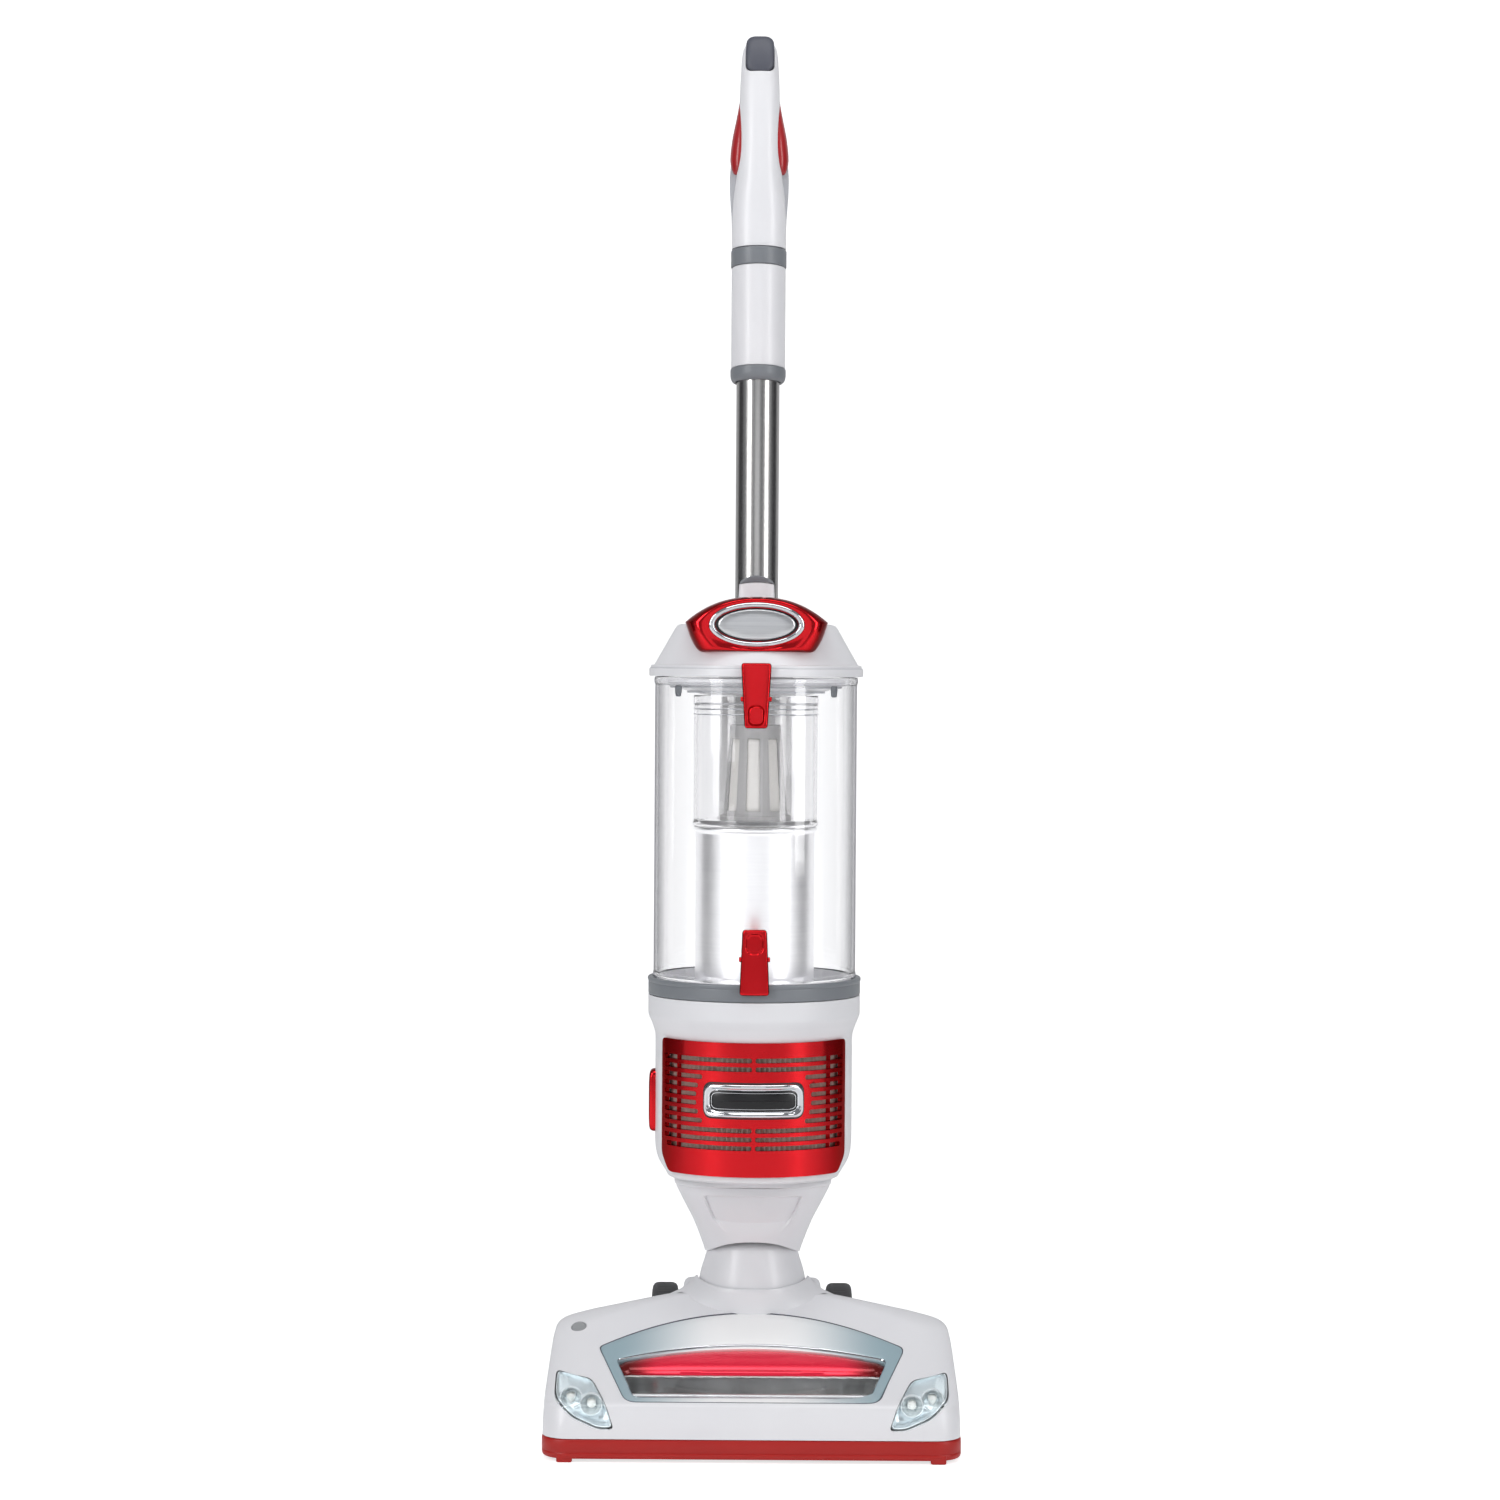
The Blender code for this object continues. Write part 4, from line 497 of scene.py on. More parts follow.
def lay(made, axis, place):
    """Turns the points of an upright body to lie along X or Y, from the given place."""
    points = np.empty(len(made.data.vertices) * 3)
    made.data.vertices.foreach_get("co", points)
    x, y, z = points.reshape(-1, 3).T
    turned = {"x": (z, y, -x), "-x": (-z, y, x), "y": (x, z, -y), "-y": (x, -z, y)}[axis]
    made.data.vertices.foreach_set("co", (np.stack(turned, axis=-1) + np.array(place)).ravel())
    made.data.update()
    return made


def copy_cad(node, material=None, bevel=0.0005, sharp=32.0):
    """A CAD piece as it is, merged, with its edges broken by a fine bevel."""
    made = bpy.data.objects.new(node + "_skin", NODES[node].data.copy())
    bpy.context.scene.collection.objects.link(made)
    settle(made, material or MATERIAL_OF[SLOT_OF[node]], node, (node,), sharp, merge=2e-5,
           recalculate=False)
    if bevel:
        edges = made.modifiers.new("broken_edges", "BEVEL")
        edges.width = bevel
        edges.segments = 2
        edges.limit_method = "ANGLE"
        edges.angle_limit = math.radians(34)
        edges.harden_normals = True
    return made


def shell(made, thickness):
    """Gives a one-sided surface a thickness inward."""
    wall = made.modifiers.new("wall", "SOLIDIFY")
    wall.thickness = thickness
    wall.offset = -1.0
    return made


def drop_faces(made, test):
    """Removes the faces whose middles pass the test, which takes an array of points."""
    shape = bmesh.new()
    shape.from_mesh(made.data)
    middles = np.array([face.calc_center_median() for face in shape.faces])
    chosen = np.flatnonzero(test(middles))
    faces = list(shape.faces)
    bmesh.ops.delete(shape, geom=[faces[place] for place in chosen], context="FACES")
    shape.to_mesh(made.data)
    shape.free()
    return made


def smooth_step(low, high, value):
    """0 below low, 1 above high, and an S-curve between them."""
    share = np.clip((value - low) / (high - low), 0, 1)
    return share * share * (3 - 2 * share)


def box_distance(x, y, half_x, half_y, radius):
    """Signed distance to a rounded rectangle about the origin: negative inside it."""
    away_x = np.abs(x) - (half_x - radius)
    away_y = np.abs(y) - (half_y - radius)
    outside = np.hypot(np.maximum(away_x, 0), np.maximum(away_y, 0))
    return outside + np.minimum(np.maximum(away_x, away_y), 0) - radius


def smooth_levels(levels, steps):
    """Rows of numbers made denser by a cubic through them, in which each row is one level.

    Between two rows, the value is the Hermite blend of both with the mean slopes to their neighbours.
    No slope is more than three times the smaller step beside it, so the rows never double back.
    """
    rows = np.asarray(levels, float)
    slopes = np.gradient(rows, axis=0)
    flat = np.sign(np.diff(rows, axis=0))
    turning = np.zeros_like(rows, bool)
    turning[1:-1] = flat[1:] * flat[:-1] <= 0
    slopes[turning] = 0.0
    between = np.abs(np.diff(rows, axis=0))
    most = 3 * np.minimum(np.vstack([between[:1], between]), np.vstack([between, between[-1:]]))
    slopes = np.clip(slopes, -most, most)
    out = []
    for place in range(len(rows) - 1):
        share = np.linspace(0, 1, steps, endpoint=False)[:, None]
        square, cube = share ** 2, share ** 3
        out.append(
            (2 * cube - 3 * square + 1) * rows[place]
            + (cube - 2 * square + share) * slopes[place]
            + (3 * square - 2 * cube) * rows[place + 1]
            + (cube - square) * slopes[place + 1]
        )
    return np.concatenate([*out, rows[-1:]])


def plan_outline(half, front, back, corner, z, straight=26, curved=14):
    """A rounded rectangle in plan at one height: quarter circles at its corners and dense straights."""
    points = []
    turn = np.linspace(0, math.pi / 2, curved)
    corners = ((half, front, -math.pi / 2, -1, 1), (half, back, 0.0, -1, -1),
               (-half, back, math.pi / 2, 1, -1), (-half, front, math.pi, 1, 1))
    arcs = [np.stack([x + inward_x * corner + corner * np.cos(start + turn),
                      y + inward_y * corner + corner * np.sin(start + turn)], axis=-1)
            for x, y, start, inward_x, inward_y in corners]
    for place, arc in enumerate(arcs):
        share = np.linspace(0, 1, straight)[1:-1, None]
        points += [arc, arc[-1] + (arcs[(place + 1) % 4][0] - arc[-1]) * share]
    flat = np.concatenate(points)
    return np.column_stack([flat, np.full(len(flat), z)])


def apply_cuts(made, others, operation="DIFFERENCE"):
    """Cuts with each helper, keeps the result as the piece's own mesh and drops the helpers."""
    for other in others:
        step = made.modifiers.new("cut", "BOOLEAN")
        step.operation = operation
        step.solver = "EXACT"
        step.object = other
        mesh = bpy.data.meshes.new_from_object(made.evaluated_get(bpy.context.evaluated_depsgraph_get()))
        made.modifiers.remove(step)
        made.data = mesh
        bpy.data.objects.remove(other, do_unlink=True)
    return made


def soften(made, width, segments=3, angle=30.0):
    """Rounds the edges sharper than the angle."""
    edges = made.modifiers.new("softened", "BEVEL")
    edges.width = width
    edges.segments = segments
    edges.limit_method = "ANGLE"
    edges.angle_limit = math.radians(angle)
    edges.harden_normals = True
    return made


# ---- floor nozzle ---------------------------------------------------------
SLOPE = math.radians(25)
SLOPE_FOOT = np.array([0.0, -0.1435, 0.045])
UP_SLOPE = np.array([0.0, math.cos(SLOPE), math.sin(SLOPE)])
OFF_SLOPE = np.array([0.0, -math.sin(SLOPE), math.cos(SLOPE)])
COVER_LEVELS = (
    (0.0189, 0.1646, -0.1497, 0.022), (0.0300, 0.1644, -0.1484, 0.023), (0.0400, 0.1640, -0.1455, 0.024),
    (0.0450, 0.1637, -0.1430, 0.024), (0.0520, 0.1633, -0.1285, 0.025), (0.0600, 0.1627, -0.1113, 0.026),
    (0.0750, 0.1613, -0.0792, 0.025), (0.0820, 0.1602, -0.0642, 0.024), (0.0862, 0.1583, -0.0552, 0.023),
    (0.0892, 0.1545, -0.0487, 0.021), (0.0914, 0.1490, -0.0440, 0.020), (0.0934, 0.1412, -0.0397, 0.019),
    (0.0957, 0.1310, -0.0348, 0.017), (0.0985, 0.1165, -0.0288, 0.015), (0.1018, 0.1000, -0.0217, 0.013),
    (0.1049, 0.0835, -0.0150, 0.011), (0.1072, 0.0700, -0.0101, 0.009), (0.1083, 0.0610, -0.0077, 0.008),
)
COVER_BACK = 0.0047


def cover_surface(inset, top_drop=1.0):
    """The cover's skin: rounded plan outlines that narrow and draw back as they rise, on a cubic."""
    levels = smooth_levels(COVER_LEVELS, 5)
    rings = [plan_outline(half - inset, front + inset, COVER_BACK - inset, max(corner - inset, 0.002),
                          z - inset * top_drop * smooth_step(0.04, 0.05, z))
             for z, half, front, corner in levels]
    return np.stack(rings)


def double_skin(name, outside, inside):
    """A wall between two surfaces of rings, joined at the bottom and closed at both crests."""
    top_out = np.repeat(outside[-1].mean(0)[None], outside.shape[1], 0)[None]
    top_in = np.repeat(inside[-1].mean(0)[None], outside.shape[1], 0)[None]
    whole = np.concatenate([top_out, outside[::-1], inside, top_in])
    return add_mesh(name, whole, quads(len(whole), whole.shape[1]))


def slope_outline(outline, level):
    """A flat outline (across, up the slope) lifted off the sloping face by a level."""
    outline = np.asarray(outline)
    return (SLOPE_FOOT + np.array([1.0, 0, 0]) * outline[:, :1] + UP_SLOPE * outline[:, 1:]
            + OFF_SLOPE * np.asarray(level).reshape(-1, 1))


def arch_outline(foot_half, side_half, foot, side, peak, grow=0.0, round_by=0.006):
    """A trapezoid with an arched top and rounded corners, as even points round it."""
    rise = np.linspace(1, -1, 61)
    top = np.column_stack([(side_half + grow) * rise, peak + grow - (peak - side) * rise * rise])
    corners = np.concatenate([[[-foot_half - grow, foot - grow], [foot_half + grow, foot - grow]], top])
    soft = []
    count = len(corners)
    for place, here in enumerate(corners):
        before, after = corners[place - 1], corners[(place + 1) % count]
        if place in (0, 1, 2, count - 1):
            near_before = here + (before - here) * min(0.45, round_by / np.linalg.norm(before - here))
            far = after - here
            near_after = here + far * min(0.9, round_by / np.linalg.norm(far))
            share = np.linspace(0, 1, 7)[:, None]
            soft.extend((1 - share) ** 2 * near_before + 2 * share * (1 - share) * here + share ** 2 * near_after)
        else:
            soft.append(here)
    soft = np.array(soft + [soft[0]])
    lengths = np.concatenate([[0], np.cumsum(np.linalg.norm(np.diff(soft, axis=0), axis=1))])
    even = np.linspace(0, lengths[-1], 241)[:-1]
    return np.column_stack([np.interp(even, lengths, soft[:, 0]), np.interp(even, lengths, soft[:, 1])])


def slope_prism(name, outline, low=-0.02, high=0.02):
    """A closed prism between an outline on the cover's slope below it and above it."""
    rings = np.stack([slope_outline(outline, low), slope_outline(outline, high)])
    return capped(name, rings)


def light_outline(side, grow):
    """A headlight's outline seen from the front: seven well rounded corners, like a slanted leaf."""
    corners = np.array([
        (0.1553 + grow, 0.0632 + grow), (0.1265 - grow, 0.0590 + grow), (0.1145 - grow, 0.0450),
        (0.1078 - grow, 0.0262 - grow), (0.1205, 0.0262 - grow), (0.1400, 0.0345 - grow),
        (0.1553 + grow, 0.0480 - grow),
    ])
    soft = rounded(corners, 0.0045, 6, True)
    return np.column_stack([side * soft[:, 0], soft[:, 1]])


def light_prism(name, side, grow, front=-0.170, back=-0.085):
    """A closed prism that carries a headlight's outline straight back from the front."""
    outline = light_outline(side, grow)
    rings = np.stack([np.column_stack([outline[:, 0], np.full(len(outline), y), outline[:, 1]])
                      for y in (front, back)])
    return capped(name, rings)


def fix_normals(made):
    """Merges points that lie on each other and turns every face outward."""
    shape = bmesh.new()
    shape.from_mesh(made.data)
    bmesh.ops.remove_doubles(shape, verts=shape.verts[:], dist=1e-6)
    bmesh.ops.recalc_face_normals(shape, faces=shape.faces[:])
    shape.to_mesh(made.data)
    shape.free()
    return made


BEZEL_SHAPE = (0.099, 0.122, 0.003, 0.075, 0.122)
OPENING_SHAPE = (0.0925, 0.107, 0.0095, 0.0585, 0.077)


def make_cover():
    """The white cover, a double skin, cut for the bezel, the headlights and the indicator."""
    cover = fix_normals(double_skin("cover_skin", cover_surface(0.0), cover_surface(0.0028)))
    cuts = [fix_normals(slope_prism("bezel_hole", arch_outline(*BEZEL_SHAPE, grow=0.0003, round_by=0.009))),
            fix_normals(light_prism("light_hole_left", -1, 0.0003)),
            fix_normals(light_prism("light_hole_right", 1, 0.0003)),
            fix_normals(lathe("indicator_hole", [(0, 0.07), (0.0064, 0.07), (0.0064, 0.11), (0, 0.11)],
                              (-0.1400, -0.0485), 48, 0.0))]
    apply_cuts(cover, cuts)
    settle(cover, WHITE, "nozzle_cover", ("nozzle_cover",), 32.0, 1e-7)
    soften(cover, 0.0007)


def make_indicator():
    """The brush indicator: a domed disc with a fine rim, sheared to lie on the cover's slope."""
    disc = lathe("indicator_disc", [(0, -0.0040), (0.0061, -0.0040), (0.0061, 0.0), (0.0058, 0.0004),
                                    (0.0054, 0.0004),
                 (0.0052, 0.0), (0.0049, -0.0001), (0.0030, 0.0003), (0, 0.0004)], (-0.1400, -0.0485), 64,
                 0.0002)
    points = np.empty(len(disc.data.vertices) * 3)
    disc.data.vertices.foreach_get("co", points)
    points = points.reshape(-1, 3)
    points[:, 2] += 0.045 + (points[:, 1] + 0.1435) * math.tan(SLOPE) - 0.10 * (-0.1400 - points[:,
                                                                                                 0]) - 0.0008
    disc.data.vertices.foreach_set("co", points.ravel())
    settle(disc, INDICATOR_GREY, "brush_indicator", ("brush_indicator",), 40.0)


def make_bezel():
    """The silver frame round the window: a rounded outer rim, a crowned face and an inner step down."""
    outer = arch_outline(*BEZEL_SHAPE, round_by=0.009)
    inner = arch_outline(*OPENING_SHAPE, round_by=0.006)
    profile = ((0.0, -0.0038), (0.0, -0.0002), (0.008, 0.0006), (0.03, 0.0010), (0.20, 0.0011),
               (0.50, 0.0008),
               (0.80, 0.0002), (0.89, -0.0001), (0.93, -0.0009), (0.955, -0.0012), (0.985, -0.0013),
               (1.0, -0.0018), (1.0, -0.0060))
    rings = [slope_outline(outer + (inner - outer) * share, level) for share, level in profile]
    back = [slope_outline(outer + (inner - outer) * share, level) for share,
            level in ((0.9, -0.0060), (0.1, -0.0038))]
    grid = np.stack(rings + back)
    bezel = add_mesh("bezel_frame", grid, quads(len(grid), grid.shape[1], True, True))
    # The bezel's face carries a painted reflection: white across its middle, blue-grey at its ends.
    settle(bezel, SILVER_BLUE, "window_bezel", ("window_bezel",), 42.0)
    edge = [slope_outline(outer + (inner - outer) * share, level)
            for share, level in ((0.905, 0.0000), (0.925, 0.0003), (0.950, -0.0001), (0.960, -0.0008),
                                 (0.930, -0.0012))]
    grid = np.stack(edge)
    line = add_mesh("bezel_bright_line", grid, quads(len(grid), grid.shape[1], True, True))
    settle(line, CHROME, "window_bezel", (), 42.0)
    # Painted shade: a dark slate ring round the bezel where it meets the cover.
    seat = [slope_outline(outer + (inner - outer) * share, level)
            for share, level in ((-0.045, -0.0004), (-0.040, 0.0004), (-0.015, 0.0005), (0.004, 0.0002),
                                 (0.0, -0.0008))]
    grid = np.stack(seat)
    shade = add_mesh("bezel_gap_shade", grid, quads(len(grid), grid.shape[1], True, True))
    settle(shade, SLATE, "window_bezel", (), 42.0)


def make_red_band():
    """The red band over the window: a long crowned bar with a step along its lower edge."""
    across = np.linspace(-1, 1, 121)
    low_up, half = 0.0423, 0.1015
    level = np.array([(0.0, -0.0045), (0.0, -0.0030), (0.03, -0.0014), (0.10, -0.0006), (0.16, -0.0013),
                      (0.20, -0.0018),
                      (0.26, -0.0010), (0.40, -0.0002), (0.58, -0.0001), (0.76, -0.0006), (0.90, -0.0016),
                      (0.97, -0.0028), (1.0, -0.0045)])
    rows = []
    for share, height in level:
        top = 0.0767 - 0.0183 * across ** 2
        up = low_up + share * (top - low_up)
        width = half + (0.1066 - half) * (up - low_up) / 0.016
        width = np.minimum(width, 0.1066)
        rows.append(slope_outline(np.column_stack([across * width, up]),
                                  height - 0.0022 * smooth_step(0.93, 1.0, np.abs(across))))
    grid = np.stack(rows)
    base = slope_outline(np.column_stack([across * half, np.full(121, low_up + 0.004)]), -0.0052)
    grid = np.concatenate([base[None], grid, base[None]])
    band = add_mesh("red_band", grid, quads(len(grid), grid.shape[1], False))
    # The band's colour carries a painted highlight across its middle and painted shade at its ends.
    settle(band, BAND_RED, "window_red_band", ("window_red_band",), 40.0)


def make_window():
    """The clear window: a bowed pane with a rounded rim, set under the red band."""
    across = np.linspace(-1, 1, 97)
    profile = ((0.0, -0.0040), (0.0, -0.0030), (0.04, -0.0018), (0.12, -0.0012), (0.5, -0.0008),
               (0.88, -0.0012),
               (0.97, -0.0018), (1.0, -0.0030), (1.0, -0.0040), (0.5, -0.0032))
    rows = []
    for share, height in profile:
        up = 0.0099 + share * (0.0419 - 0.0099)
        width = 0.0924 + (0.1016 - 0.0924) * share
        rows.append(slope_outline(np.column_stack([across * width, np.full(97, up)]),
                                  height - 0.0006 * smooth_step(0.96, 1.0, np.abs(across))))
    grid = np.stack(rows)
    ends = np.repeat(grid.mean(0)[None], len(grid), 0)
    whole = np.concatenate([ends[:, :1], grid, ends[:, -1:]], axis=1)
    pane = add_mesh("window_pane", whole, quads(whole.shape[0], whole.shape[1], False, True))
    settle(pane, LENS, "brush_window", ("brush_window",), 40.0)
    lip = [slope_outline(np.column_stack([across * 0.0922, np.full(97, up)]), height) for up, height in
           ((0.0094, -0.0010), (0.0104, -0.0006), (0.0118, -0.0006), (0.0126, -0.0012), (0.0110, -0.0030))]
    grid = np.stack(lip)
    ends = np.repeat(grid.mean(0)[None], len(grid), 0)
    whole = np.concatenate([ends[:, :1], grid, ends[:, -1:]], axis=1)
    rail = add_mesh("window_lip", whole, quads(whole.shape[0], whole.shape[1], False, True))
    settle(rail, CHROME, "window_bezel", (), 40.0)
    # A curved panel behind the pane, whose blotched colour is painted reflection seen through the window.
    across = np.linspace(-0.1010, 0.1010, 240)
    rows = []
    for depth, height in ((-0.1065, 0.0588), (-0.1030, 0.0580), (-0.0990, 0.0560), (-0.0950, 0.0530),
                          (-0.0915, 0.0495),
                          (-0.0893, 0.0460), (-0.0880, 0.0432)):
        wave = 0.0004 * np.sin(across * TAU / 0.0125)
        rows.append(np.column_stack([across, depth + wave, np.full(240, height)]))
    hood = add_mesh("brush_hood", np.stack(rows)[::-1], quads(len(rows), 240, False))
    settle(hood, HOOD_PAINTED_REFLECTION, "nozzle_cover", (), 60.0)
    shell(hood, 0.0008)
    rail = lathe("hood_rail", [(0, -0.0990), (0.0024, -0.0990), (0.0028, -0.0985), (0.0028, 0.0985),
                               (0.0024, 0.0990),
                 (0, 0.0990)], count=40, radius=0.0003)
    settle(lay(rail, "x", (0, -0.1262, 0.0466)), SATIN, "nozzle_cover", (), 50.0)


def make_headlights():
    """Each headlight: a clear lens cut from the cover's skin, a chrome bowl, and two lamps in cups."""
    for side, word in ((-1, "left"), (1, "right")):
        lens = fix_normals(double_skin(word + "_lens", cover_surface(0.0002), cover_surface(0.0024)))
        apply_cuts(lens, [fix_normals(light_prism("lens_prism", side, -0.0003))], "INTERSECT")
        settle(lens, LENS, f"{word}_headlight_lens", (f"{word}_headlight_lens",), 32.0, 1e-7)
        soften(lens, 0.0006, 2)
        outline = light_outline(side, -0.0008)
        middle = outline.mean(0)
        rows = []
        for share, depth in ((1.0, 0.0040), (0.97, 0.0055), (0.93, 0.0085), (0.86, 0.0120), (0.70, 0.0135),
                             (0.40, 0.0138), (0.0, 0.0138)):
            ring = middle + (outline - middle) * share
            front = light_front(ring[:, 0], ring[:, 1])
            rows.append(np.column_stack([ring[:, 0], front + depth, ring[:, 1]]))
        grid = np.stack(rows)
        bowl = add_mesh(word + "_bowl", grid, quads(len(grid), grid.shape[1]))
        settle(bowl, BOWL_SILVER, f"{word}_headlight_bowl", (f"{word}_headlight_bowl",), 40.0)
        shell(bowl, 0.0006)
        for count, (across, height) in enumerate(((0.1258, 0.0440), (0.1420, 0.0478))):
            front = float(light_front(np.array([side * across]), np.array([height]))[0])
            place = (side * across, front + 0.0045, height)
            cup = lathe(f"{word}_lamp_cup_{count}", [(0.0034, -0.0078), (0.0046, -0.0070),
                                                     (0.0070, -0.0040),
                        (0.0082, 0.0), (0.0087, 0.0004), (0.0090, 0.0), (0.0090, -0.0040),
                                                     (0.0070, -0.0080)],
                        (0, 0), 64, 0.0004, ripple=lambda r, z, a: 0.00012 * np.cos(24 * a) * (r < 0.0081))
            settle(lay(cup, "-y", place), BOWL_SILVER, f"{word}_headlight_bowl", (), 40.0)
            bulb = lathe(f"{word}_lamp_{count}", [(0, -0.0072), (0.0036, -0.0070), (0.0036, -0.0040),
                                                  (0.0030, -0.0022),
                         (0.0016, -0.0012), (0, -0.0009)], (0, 0), 40, 0.0006)
            settle(lay(bulb, "-y", place), LAMP, f"{word}_headlight_bowl", (), 50.0)


def light_front(x, z):
    """Where the cover's front skin stands at a place: its level's front face, or its corner's quarter circle."""
    levels = smooth_levels(COVER_LEVELS, 5)
    half = np.interp(z, levels[:, 0], levels[:, 1])
    front = np.interp(z, levels[:, 0], levels[:, 2])
    corner = np.interp(z, levels[:, 0], levels[:, 3])
    over = np.clip(np.abs(x) - (half - corner), 0, corner * 0.97)
    return front + corner - np.sqrt(np.maximum(corner ** 2 - over ** 2, 0))


# ---- canister: motor housing, grille and badge ----------------------------
GRILLE_ANGLE = math.radians(63)
GRILLE_Z = (0.2150, 0.3225)
GRILLE_R = 0.0832
FIRST_SLOT_Z = 0.3085
SLOT_PITCH = 0.00703
BADGE_Z = 0.2762


def wrap(points, radius):
    """Flat points (arc length, depth outward, height) bent round the upright axis, facing forward."""
    angle = points[:, 0] / radius
    reach = radius + points[:, 1]
    return np.column_stack([reach * np.sin(angle), -reach * np.cos(angle), points[:, 2]])


def wrap_mesh(made, radius):
    """Bends a flat mesh round the upright axis."""
    flat = np.empty(len(made.data.vertices) * 3)
    made.data.vertices.foreach_get("co", flat)
    made.data.vertices.foreach_set("co", wrap(flat.reshape(-1, 3), radius).ravel())
    made.data.update()
    return made


def flat_block(name, outline, low, high, columns=0):
    """A flat outline (arc length, height) given depth; with columns, its faces are sliced for bending."""
    outline = np.asarray(outline)
    rings = np.stack([np.column_stack([outline[:, 0], np.full(len(outline), depth), outline[:, 1]])
                      for depth in (low, high)])
    made = capped(name, rings)
    shape = bmesh.new()
    shape.from_mesh(made.data)
    bmesh.ops.remove_doubles(shape, verts=shape.verts[:], dist=1e-7)
    bmesh.ops.recalc_face_normals(shape, faces=shape.faces[:])
    reach = np.abs(outline[:, 0]).max()
    for place in np.linspace(-reach, reach, columns + 2)[1:-1]:
        bmesh.ops.bisect_plane(shape, geom=shape.verts[:] + shape.edges[:] + shape.faces[:],
                               plane_co=(place, 0, 0), plane_no=(1, 0, 0))
    shape.to_mesh(made.data)
    shape.free()
    return made


def stadium(centre_x, centre_z, half_x, half_z, radius, steps=6):
    """A rectangle round a centre with each corner replaced by an arc of the radius."""
    corners = [(centre_x + side_x * half_x, centre_z + side_z * half_z)
               for side_x, side_z in ((-1, -1), (1, -1), (1, 1), (-1, 1))]
    return rounded(corners, radius, steps, True)


def housing_hole(points):
    """The part of the housing hidden behind the grille."""
    angle = np.arctan2(points[:, 0], -points[:, 1])
    return (np.abs(angle) < math.radians(59.5)) & (points[:, 2] > 0.2235) & (points[:, 2] < 0.3175) & (
        np.hypot(points[:, 0], points[:, 1]) > 0.077)


def make_housing():
    """The white motor housing: a turned wall that flares to the cup, with rails beside the grille."""
    profile = [(0.0605, 0.2087), (0.0690, 0.2105), (0.0755, 0.2160), (0.0790, 0.2235), (0.0803, 0.2320),
               (0.0806, 0.2450), (0.0806, 0.3120), (0.0807, 0.3200), (0.0815, 0.3250), (0.0837, 0.3315),
               (0.0858, 0.3365), (0.0867, 0.3415), (0.0867, 0.3542), (0.0862, 0.3549)]
    line = smooth_levels(profile, 6)
    angle = np.arange(288) * TAU / 288
    front = 0.0806 - 0.0030 * (1 - smooth_step(0.2087, 0.2112, line[:, 1])) ** 2
    full = np.where(line[:, 1] < 0.246, front, line[:, 0])[:, None]
    facing = np.minimum(angle, TAU - angle)[None]
    reach = line[:, 0][:, None] + (full - line[:, 0][:, None]) * smooth_step(math.radians(84),
                                                                             math.radians(52), facing)
    grid = np.stack([reach * np.sin(angle), -reach * np.cos(angle), line[:, 1][:, None] * np.ones(288)],
                    axis=-1)
    housing = add_mesh("housing_wall", grid, quads(len(grid), 288))
    drop_faces(housing, housing_hole)
    settle(housing, WHITE, "motor_housing", ("motor_housing",), 40.0)
    shell(housing, 0.0028)
    foot = lathe("housing_foot", [(0.0, 0.2087), (0.0600, 0.2087), (0.0612, 0.2094), (0.0, 0.2100)],
                 radius=0.0004)
    settle(foot, WHITE, "motor_housing")
    for side, word in ((-1, "left"), (1, "right")):
        levels = np.linspace(0.2290, 0.3120, 60)
        taper = np.sqrt(np.clip(smooth_step(0.2290, 0.2370, levels) * smooth_step(0.3120, 0.3000, levels),
                                0, 1))
        rows = []
        for share, out in ((-1.0, 0.0), (-0.97, 0.55), (-0.8, 0.95), (-0.3, 1.0), (0.3, 0.95), (0.8, 0.6),
                           (1.0, 0.0)):
            turn = side * (math.radians(69.5) + share * math.radians(4.8) * (0.4 + 0.6 * taper))
            radius = 0.0804 + 0.0020 * out * taper
            rows.append(np.column_stack([radius * np.sin(turn), -radius * np.cos(turn), levels]))
        rail = add_mesh(word + "_rail", np.stack(rows), quads(7, 60, False))
        settle(rail, WHITE, "motor_housing", (), 50.0)


